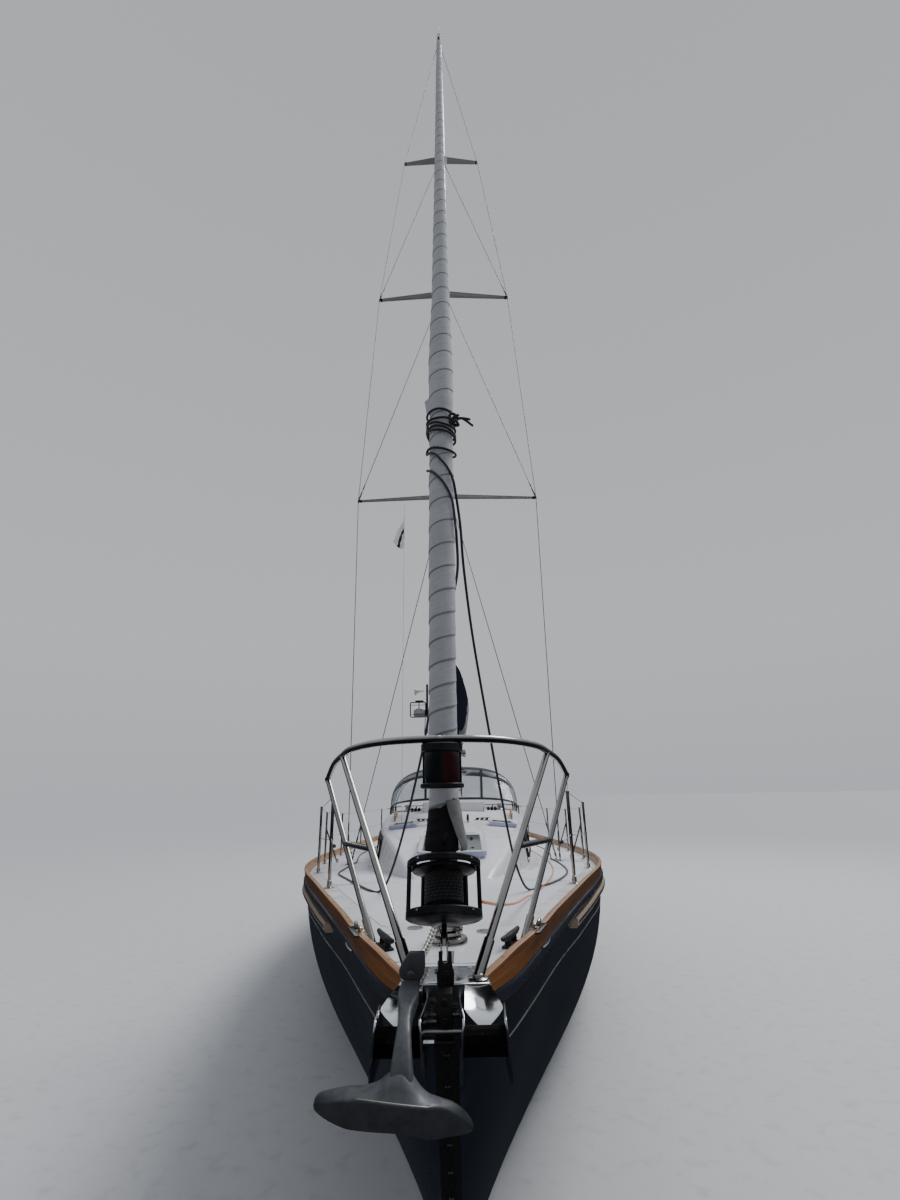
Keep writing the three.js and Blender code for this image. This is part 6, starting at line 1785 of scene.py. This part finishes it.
def make_mast_winches():
    winch = Shape()
    for z, s in ((2.30, 5.14), (2.52, 5.15)):
        turned(winch, mm(0, -20, 58, -20, 58, 0, 44, 12, 38, 22, 35, 52, 43, 70, 46, 74, 46, 84, 26, 92, 0, 93),
               axes(at(0.076, s, z), Y, Z), 36)
    for z in (2.10, 2.72):
        rod(winch, at(0.064, 5.14, z), at(0.104, 5.14, z), 0.011, 12)
        tube(winch, [at(0.106, 5.14, z + dz) for dz in (-0.07, -0.03, 0.03, 0.07)], [0.005, 0.009, 0.009, 0.005], 12)
    both_sides("mast_winches", winch, STEEL)


def make_spreaders():
    for name, height, reach, sweep in SPREADERS:
        shape, middle, tip = Shape(), mast_station(height), reach - 0.014

        def section(x, aft, rise, chord, thick):
            return [at(x, middle + aft + chord / 2 * cos(a), height + rise + thick / 2 * sin(a) * (1 - 0.25 * cos(a)))
                    for a in circle(24)]

        def along(part, scale=1.0):
            x = 0.06 + (tip - 0.06) * abs(part)
            t = clamp((x - 0.072) / (tip - 0.072))
            return section(copysign(x, part), sweep * t, 0.042 * t, (0.128 - 0.066 * t) * scale,
                           (0.036 - 0.014 * t) * scale)

        loft(shape, [along(part) for part in spread(-1, -0.001, 14) + spread(0.001, 1, 14)])
        for side in SIDES:
            loft(shape, [along(side * p, k) for p, k in ((0.962, 1.02), (0.967, 1.12), (0.995, 1.14), (1.0, 1.0))], 1)
            loft(shape, [section(side * (0.078 + d), sweep * 0.01, 0.0, 0.128 * k, 0.036 * k) for d, k in (
                (-0.015, 1.3), (0.0, 1.32), (0.012, 1.2), (0.03, 1.05))], 2)
        piece(f"{name}_foil", shape, [SPREADER, MATT_BLACK, SPAR], replaces=[name])


GOOSENECK = at(0, 5.3, BOOM_HEIGHT)


def make_boom():
    shape, rings = Shape(), []
    rod(shape, GOOSENECK - up(0.0296), GOOSENECK + up(0.0296), 0.022, 24, 1)
    rod(shape, GOOSENECK, GOOSENECK + vec(0, 0.12, 0), 0.02, 20, 1)
    for s, k in ((5.395, 0.86), (5.40, 0.97), (5.42, 1.0), (7.5, 1.0), (9.7, 1.0), (9.735, 0.97), (9.75, 0.86)):
        section = (squared(a, 0.8) for a in circle(40))
        rings.append([at(0.062 * k * x, s, BOOM_HEIGHT + 0.0837 * k * z) for x, z in section])
    loft(shape, rings)
    for s in (7.3, 8.9, 9.6):
        tube(shape, [at(0.02 * cos(a), s, 2.67 + 0.02 * sin(a)) for a in spread(pi, 2 * pi, 9)], 0.005, 10, 1)
    piece("boom_extrusion", shape, [SPAR, STEEL], "boom", ["boom"])


# Cover: station, half width, lowest and highest point over the boom, shift to port.
COVER = [(5.295, 0.168, -0.01, 0.89, 0.038), (5.48, 0.19, -0.04, 0.84, 0.034), (5.9, 0.19, -0.08, 0.62, 0.022),
         (6.8, 0.18, -0.085, 0.44, 0.008), (8.2, 0.16, -0.085, 0.33, 0.0), (9.3, 0.12, -0.08, 0.24, 0.0)]


def cover_section(s):
    for low, high in zip(COVER, COVER[1:]):
        if s <= high[0]:
            u = (s - low[0]) / (high[0] - low[0])
            ease = u * u * (3 - 2 * u) * 0.4 + u * 0.6
            return [p + (q - p) * ease for p, q in zip(low[1:], high[1:])]
    return COVER[-1][1:]


def cover_point(s, a):
    """A point of the stowed sail's cover, drawn in by its ties and creased between them."""
    half, low, high, aside = cover_section(s)
    across, lift = cos(a), sin(a)
    wide = (half * (1 - 0.38 * max(lift, 0)) + 0.012 * max(across, 0)) * squared(a, 0.72)[0]
    tie = 0.5 + 0.5 * cos(2 * pi * (s - 5.75) / 0.62)
    pull = 0.02 * tie**6 * (1 - abs(lift)) + 0.012 * (1 - tie) * max(-lift, 0)
    crease = noise.noise(vec(s * 3.4 + 1.6 * lift, across * 1.1, lift * 5)) * 0.014
    crease += noise.noise(vec(s * 9 + 4 * lift, across * 2, lift * 2)) * 0.005
    scale = 1 - (pull + abs(crease)) / max(half, 0.1)
    z = BOOM_HEIGHT + (low + high) / 2 + (high - low) / 2 * lift
    return at(aside + wide * scale, s, z - 0.01 * tie**4 * max(lift, 0))


def make_sail_cover():
    shape, seams = Shape(), Shape()
    stations = spread(5.295, 5.5, 14)[:-1] + spread(5.5, 9.3, 130)
    rings = [[cover_point(s, a) for a in circle(72)] for s in stations]

    def ring_near(s):
        return min(zip(stations, rings), key=lambda row: abs(row[0] - s))[1]

    loft(shape, rings)
    for s in (6.15, 7.0, 7.85, 8.7):
        tube(seams, [p + vec(copysign(0.001, p.x), 0, 0.001) for p in ring_near(s)], 0.0022, 6, loop=True)
    for k in range(9):
        for j in (50, 58):
            turned(seams, mm(0, -4, 11, -4, 12, 0, 8, 4, 0, 5), ring_near(5.75 + 0.42 * k)[j], 14, 1)
    cover = piece("sail_cover_canvas", shape, CANVAS, "boom", ["sail_cover"], angle=70)
    piece("sail_cover_seams", seams, [BINDING, STEEL], "boom")


def make_mast_side_gear():
    shape, s = Shape(), 5.02
    for a, b, radius, sides, slot in (
            ((-0.06, 0.08, 3.0), (-0.29, 0, 3.0), 0.011, 12, 1), ((-0.06, 0.08, 3.26), (-0.29, 0, 3.26), 0.009, 12, 1),
            ((-0.306, 0, 2.96), (-0.32, 0.01, 2.75), 0.0045, 8, 2),
            ((-0.27, 0, 2.96), (-0.284, 0.01, 2.75), 0.0045, 8, 2),
            ((-0.48, -0.03, 2.975), (-0.3, -0.03, 2.975), 0.003, 8, 2),
            ((-0.48, -0.03, 3.085), (-0.3, -0.03, 3.085), 0.003, 8, 2),
            ((-0.385, 0, 3.04), (-0.385, 0, 3.14), 0.006, 10, 2)):
        rod(shape, vec(0, s - MIDSHIP, 0) + Vector(a), vec(0, s - MIDSHIP, 0) + Vector(b), radius, sides, slot)
    for row in ((-0.298, -0.274, s - 0.02, s + 0.02, 2.94, 3.34, 0.005, 2),
                (-0.45, -0.31, s - 0.02, s + 0.055, 2.955, 3.035, 0.012, 0),
                (-0.43, -0.33, s - 0.01, s + 0.015, 3.128, 3.146, 0.003, 2)):
        slab(shape, *row)
    tube(shape, [at(-0.395 + x, s - 0.03, 3.03 + z) for x, z in round_loop(0.092, 0.088, 0.02, 5)], 0.0065, 10, 2,
         loop=True)
    turned(shape, mm(0, -50, 28, -50, 40, -40, 50, -10, 50, 30, 40, 45, 0, 50), at(-0.385, s + 0.02, 3.0), 32)
    turned(shape, mm(6, 0, 8, 30, 14, 60, 26, 90, 40, 108, 44, 112, 38, 108, 22, 88, 8, 50, 4, 20),
           axes(at(-0.325, s + 0.02, 3.262), Z, (0.25, 1, 0)), 32, 1)
    piece("mast_side_light", shape, [GREY_PLASTIC, SPAR, MATT_BLACK])


def make_burgee():
    shape, line, rows, across = Shape(), Shape(), [], 15
    for v in spread(0, 1, 19):
        row = []
        for u in spread(0, 1, across):
            hoist, end = Vector((-0.62, 5.82 - 0.30 * u)), Vector((-0.777 + 0.15 * u**1.3, 5.47 - 0.18 * u))
            p = hoist.lerp(end, v)
            fold = 0.034 * sin(2.6 * pi * v + 2.2 * u) * v**0.6 + 0.012 * sin(7 * u + 4 * v) * v
            row.append(at(p.x + 0.010 * sin(5.0 * v * pi) * u, 5.40 + fold, p.y))
        rows.append(row)
    shell(shape, rows, 0.0006)
    for k in range(18 * 2 * across):
        j = k % (2 * across)
        if 0.42 < min(j, 2 * across - 1 - j) / (across - 1) < 0.62:
            shape.slots[k] = 1
    flag = piece("burgee_cloth", shape, [FLAG_WHITE, FLAG_DARK], angle=60)
    top, foot = at(-0.62, 5.385, 6.03), on_roof(-0.62, 5.42, 0.002)
    tube(line, [top.lerp(foot, t) for t in spread(0, 1, 20)], 0.0022, 7)
    for z in (5.82, 5.52):
        turned(line, mm(0, -8, 5, -6, 6, 0, 5, 6, 0, 8), at(-0.62, 5.395, z), 12)
    piece("burgee_halyard", line, GREY_ROPE)


# Standing rigging and stern rail


def turnbuckle(shape, low, high, start=0.05, long=0.33):
    along = (high - low).normalized()

    def up_to(far):
        return low + along * far

    tube(shape, [up_to(start + long * t) for t in (0, 0.02, 0.1, 0.14, 0.86, 0.9, 0.98, 1.0)],
         [0.006, 0.006, 0.006, 0.0105, 0.0105, 0.006, 0.006, 0.006], 16)
    side = along.orthogonal().normalized()
    for edge in (side, along.cross(side)):
        block(shape, (-0.013, -0.003, 0), (0.013, 0.003, 0.05), 0.002, 0,
              axes(up_to(start - 0.03), edge, along.cross(edge)))
    rod(shape, up_to(start - 0.01) - side * 0.014, up_to(start - 0.01) + side * 0.014, 0.005, 12)
    tube(shape, [up_to(start + long + t) for t in (0.0, 0.01, 0.09, 0.1)], [0.006, 0.0085, 0.0085, 0.0055], 14)


def deck_plate(shape, foot):
    block(shape, foot + vec(-0.004, -0.024, -0.014), foot + vec(0.004, 0.024, 0.068), 0.003)
    block(shape, foot + vec(-0.03, -0.05, -0.002), foot + vec(0.03, 0.05, 0.004), 0.0015)


def make_shrouds():
    cap, low = Shape(), Shape()
    tips = [at(reach - 0.002, mast_station(height) + sweep, height + 0.042) for _, height, reach, sweep in SPREADERS]
    foot = on_deck(1.255, 5.44)
    points = [foot] + tips + [at(0.044, 5.33, 16.47)]
    for a, b in zip(points, points[1:]):
        rod(cap, a, b, WIRE, 10)
    for tip in tips:
        rod(cap, tip - up(0.018), tip + up(0.018), 0.0105, 16)
    for tip, (_, height, _, _) in zip(tips, SPREADERS[1:]):
        z = height - 0.11
        head = at(0.067, mast_station(z) + 0.01, z)
        rod(cap, tip, head, WIRE, 10)
        turnbuckle(cap, tip, head, 0.03, 0.16)
        rod(cap, head - (head - tip).normalized() * 0.12, head, 0.0075, 12)
    turnbuckle(cap, foot + up(0.03), tips[0], 0.04, 0.3)
    deck_plate(cap, foot)
    both_sides("cap_rigging", cap, RIGGING, "cap_shroud")
    foot, head = on_deck(1.255, 5.72), at(0.073, mast_station(5.9) + 0.018, 5.9)
    rod(low, foot + up(0.04), head, WIRE, 10)
    turnbuckle(low, foot + up(0.03), head, 0.04, 0.28)
    deck_plate(low, foot)
    both_sides("lower_rigging", low, RIGGING, "lower_shroud")


def make_backstay():
    shape = Shape()
    foot, head = on_deck(0, 12.38, -0.01), at(0, 5.527, 16.5)
    rod(shape, foot + up(0.07), head, WIRE, 10)
    turnbuckle(shape, foot + up(0.05), head, 0.03, 0.34)
    deck_plate(shape, foot + up(0.012))
    along = (head - foot).normalized()
    for far in (1.6, 9.5):
        tube(shape, [foot + along * (far + t) for t in (0, 0.02, 0.05, 0.1, 0.13, 0.15)],
             [0.006, 0.012, 0.017, 0.017, 0.012, 0.006], 16, 1)
    piece("backstay_wire", shape, [RIGGING, MATT_BLACK], replaces=["backstay"])


def make_pushpit():
    shape, light = Shape(), Shape()

    def rail_top(s):
        return deck_edge(s)[1] + 0.62

    right = [at(x, s, rail_top(min(s, 12.33))) for x, s in mm(60, 12330, 900, 12320, 1200, 12230, 1345, 11950,
                                                             1425, 11500)]
    rail = [vec(-p.x, p.y, p.z) for p in right[::-1]] + right
    tube(shape, smooth(rail, 8), TUBE, 18)
    tube(shape, smooth([p - up(0.3) for p in rail], 8), 0.011, 18)
    for side in SIDES:
        for x, s in ((0.9, 12.32), (1.345, 11.95), (1.425, 11.5)):
            foot = on_deck(side * x, s)
            rod(shape, foot - up(0.01), at(side * x, s, rail_top(s) - 0.002), TUBE, 18)
            foot_flange(shape, foot, 0.034)
    piece("pushpit_tubes", shape, STEEL, replaces=["pushpit"])
    turned(light, mm(0, 0, 30, 0, 30, 14, 26, 16, 26, 50, 30, 52, 28, 64, 0, 68),
           at(0.35, 12.335, rail_top(12.33) + 0.012), 28, pick=lambda i: 1 if i == 3 else 0)
    piece("stern_light", light, [MATT_BLACK, WHITE_LENS])


# Below the waterline

PROPELLER, SHAFT_SLOPE = 10.94, 0.185


def foil_ring(front, back, thick, z, points=22):
    side = []
    for k in range(points):
        part = (1 - cos(pi * k / (points - 1))) / 2
        half = 2.6 * thick * (sqrt(part) - part) * (1 - 0.35 * part)
        side.append((max(half, 0.002), front + part * (back - front)))
    return [at(x, s, z) for x, s in side] + [at(-x, s, z) for x, s in side[::-1]]


def make_keel_and_rudder():
    keel, rudder = Shape(), Shape()
    loft(keel, [foil_ring(*row) for row in (
        (4.7, 7.25, 0.26, -0.38), (4.82, 7.25, 0.25, -0.7), (5.04, 7.23, 0.238, -1.15), (5.27, 7.2, 0.23, -1.6),
        (5.29, 7.2, 0.232, -1.66), (5.335, 7.235, 0.286, -1.76), (5.35, 7.24, 0.3, -1.82), (5.365, 7.24, 0.298, -1.92),
        (5.385, 7.23, 0.275, -1.948), (5.40, 7.22, 0.255, -1.95))])
    piece("keel_fin", keel, ANTIFOULING, replaces=["keel"], angle=50)
    loft(rudder, [foil_ring(*row) for row in (
        (11.6, 12.18, 0.1, -0.15), (11.59, 12.19, 0.105, -0.155), (11.61, 12.12, 0.09, -0.85),
        (11.629, 12.062, 0.071, -1.55), (11.64, 12.05, 0.062, -1.56))])
    rod(rudder, at(0, STOCK, -0.35), at(0, STOCK, 0.3), 0.0365, 32, 1)
    piece("rudder_blade", rudder, [ANTIFOULING, STEEL], "rudder", ["rudder"], angle=50)
    dress("shaft_strut", BRONZE, 0.004)
    dress("engine", ENGINE_PAINT, 0.02)


def shaft_place(s):
    """A point on the propeller shaft, its Z along the shaft."""
    axis = vec(0, 1, -SHAFT_SLOPE)
    return axes(at(0, s, -0.5 + (PROPELLER - s) * SHAFT_SLOPE), X, axis.cross(Vector(X)))


def blade_ring(part):
    radius = 0.024 + 0.179 * part
    chord = 0.042 + 0.075 * sin(pi * min(part * 0.82 + 0.06, 1)) ** 1.1
    chord *= sqrt(max(1 - (max(part - 0.55, 0) / 0.46) ** 2.5, 0.02))
    thick, twist = 0.011 * (1 - 0.75 * part), atan2(0.21, 2 * pi * max(radius, 0.03) * 0.6)
    ring = []
    for a in circle(20):
        u, v = chord / 2 * cos(a), thick / 2 * sin(a)
        ring.append(vec(u * cos(twist) - v * sin(twist), radius, 0.92 * (u * sin(twist) + v * cos(twist))))
    return ring


def make_propeller():
    shape, anode, hub = Shape(), Shape(), shaft_place(PROPELLER)
    rod(shape, shaft_place(9.423).translation, hub.translation, 0.015, 24, 1)
    turned(shape, mm(0, -46, 30, -45, 34, -40, 33, 0, 29, 30, 24, 45, 20, 50, 20, 62, 14, 72, 0, 76), hub, 36)
    for a in circle(3):
        turn = hub @ Matrix.Rotation(a, 4, "Z")
        loft(shape, [[turn @ p for p in blade_ring(part)] for part in spread(0, 1, 14)])
    piece("propeller_blades", shape, [BRONZE, STEEL], "propeller", ["propeller"], angle=50)
    turned(anode, mm(15.2, -30, 22, -30, 30, -12, 30, 12, 22, 30, 15.2, 30), shaft_place(10.66), 28, loop=True)
    piece("shaft_anode", anode, CHAIN, "propeller")


# Studio


def make_world():
    """Pale sky for the camera; brighter overhead and dark at the skyline where metal and paint reflect it."""
    world = bpy.data.worlds.new("studio")
    bpy.context.scene.world = world
    world.use_nodes = True
    tree = world.node_tree
    split = add_node(tree, "SeparateXYZ", {0: add_node(tree, "TexCoord").outputs["Generated"]})

    def sky(stops, ahead=1.0):
        scale = add_node(tree, "MapRange", {"From Min": -1.0, "Value": split.outputs["Z"]})
        side = add_node(tree, "MapRange", {"From Min": -0.5, "From Max": 0.02, "To Min": ahead, "To Max": 1.0,
                                           "Value": split.outputs["Y"]})
        ramp = add_node(tree, "ValToRGB", {0: scale.outputs["Result"]})
        for _ in range(len(stops) - 2):
            ramp.color_ramp.elements.new(0.5)
        for element, (place, *color) in zip(ramp.color_ramp.elements, stops):
            element.position, element.color = place, (*color, 1)
        return add_node(tree, "Background", {"Color": ramp.outputs["Color"], "Strength": side.outputs["Result"]})

    seen = sky([(0.0, 0.49, 0.51, 0.545), (0.5, 0.495, 0.515, 0.55), (0.62, 0.55, 0.57, 0.6), (1.0, 0.46, 0.48, 0.51)])
    ambient = sky([(0.0, 0.2, 0.21, 0.23), (0.5, 0.3, 0.32, 0.35), (1.0, 0.62, 0.64, 0.68)])
    mirrored = sky([(0.0, 0.012, 0.014, 0.018), (0.46, 0.02, 0.022, 0.027), (0.52, 0.05, 0.055, 0.065),
                    (0.58, 0.2, 0.215, 0.24), (0.7, 0.56, 0.58, 0.62), (1.0, 0.76, 0.79, 0.84)], 0.5)
    rays = add_node(tree, "LightPath").outputs
    result = ambient
    for kind, shader in (("Is Glossy Ray", mirrored), ("Is Camera Ray", seen)):
        result = add_node(tree, "MixShader", {0: rays[kind], 1: result.outputs[0], 2: shader.outputs[0]})
    tree.links.new(result.outputs[0], tree.nodes["World Output"].inputs["Surface"])


def make_studio():
    make_world()
    for name, place, aim, size, power in (
            ("soft_key", (9, 4, 14), (0, -3, 1.5), 7, 500), ("soft_fill", (-9, -10, 8), (0, -4, 2), 7, 90),
            ("soft_rim", (5, 12, 15), (0, 0, 3), 8, 600)):
        data = bpy.data.lights.new(name, "AREA")
        data.energy, data.size = power, size
        lamp = show(name, data)
        lamp.location = place
        lamp.rotation_euler = (Vector(aim) - Vector(place)).to_track_quat("-Z", "Y").to_euler()
        lamp.visible_glossy = name == "soft_key"
    sun = bpy.data.lights.new("soft_sun", "SUN")
    sun.energy, sun.angle = 1.9, radians(30)
    show("soft_sun", sun).rotation_euler = vec(-0.5, -0.42, -0.8).to_track_quat("-Z", "Y").to_euler()
    mesh, made = bpy.data.meshes.new("studio_floor"), bmesh.new()
    bmesh.ops.create_circle(made, cap_ends=True, segments=96, radius=400)
    made.to_mesh(mesh)
    made.free()
    mesh.materials.append(make_paint("studio_paper", (0.5, 0.51, 0.53), (0.49, 0.5, 0.52), 0.8, 0.0002, 8.0))
    floor = show("studio_floor", mesh)
    floor.visible_glossy = False


for make in (
        make_hull, make_rails, make_topside_trim, make_stem_band, make_deck_panels, make_bow_fitting, make_anchor,
        make_windlass, make_cleats, make_pulpit, make_nav_light, make_lifelines, make_furler, make_genoa, make_wraps,
        make_coachroof, make_window_frames, make_hatches, make_roof_mouldings, make_handrails, make_roof_gear,
        make_dodger, make_cockpit, make_winches, make_steering, make_mast, make_masthead, make_mast_winches,
        make_spreaders, make_boom, make_sail_cover, make_mast_side_gear, make_burgee, make_shrouds, make_backstay,
        make_pushpit, make_keel_and_rudder, make_propeller, make_studio):
    make()
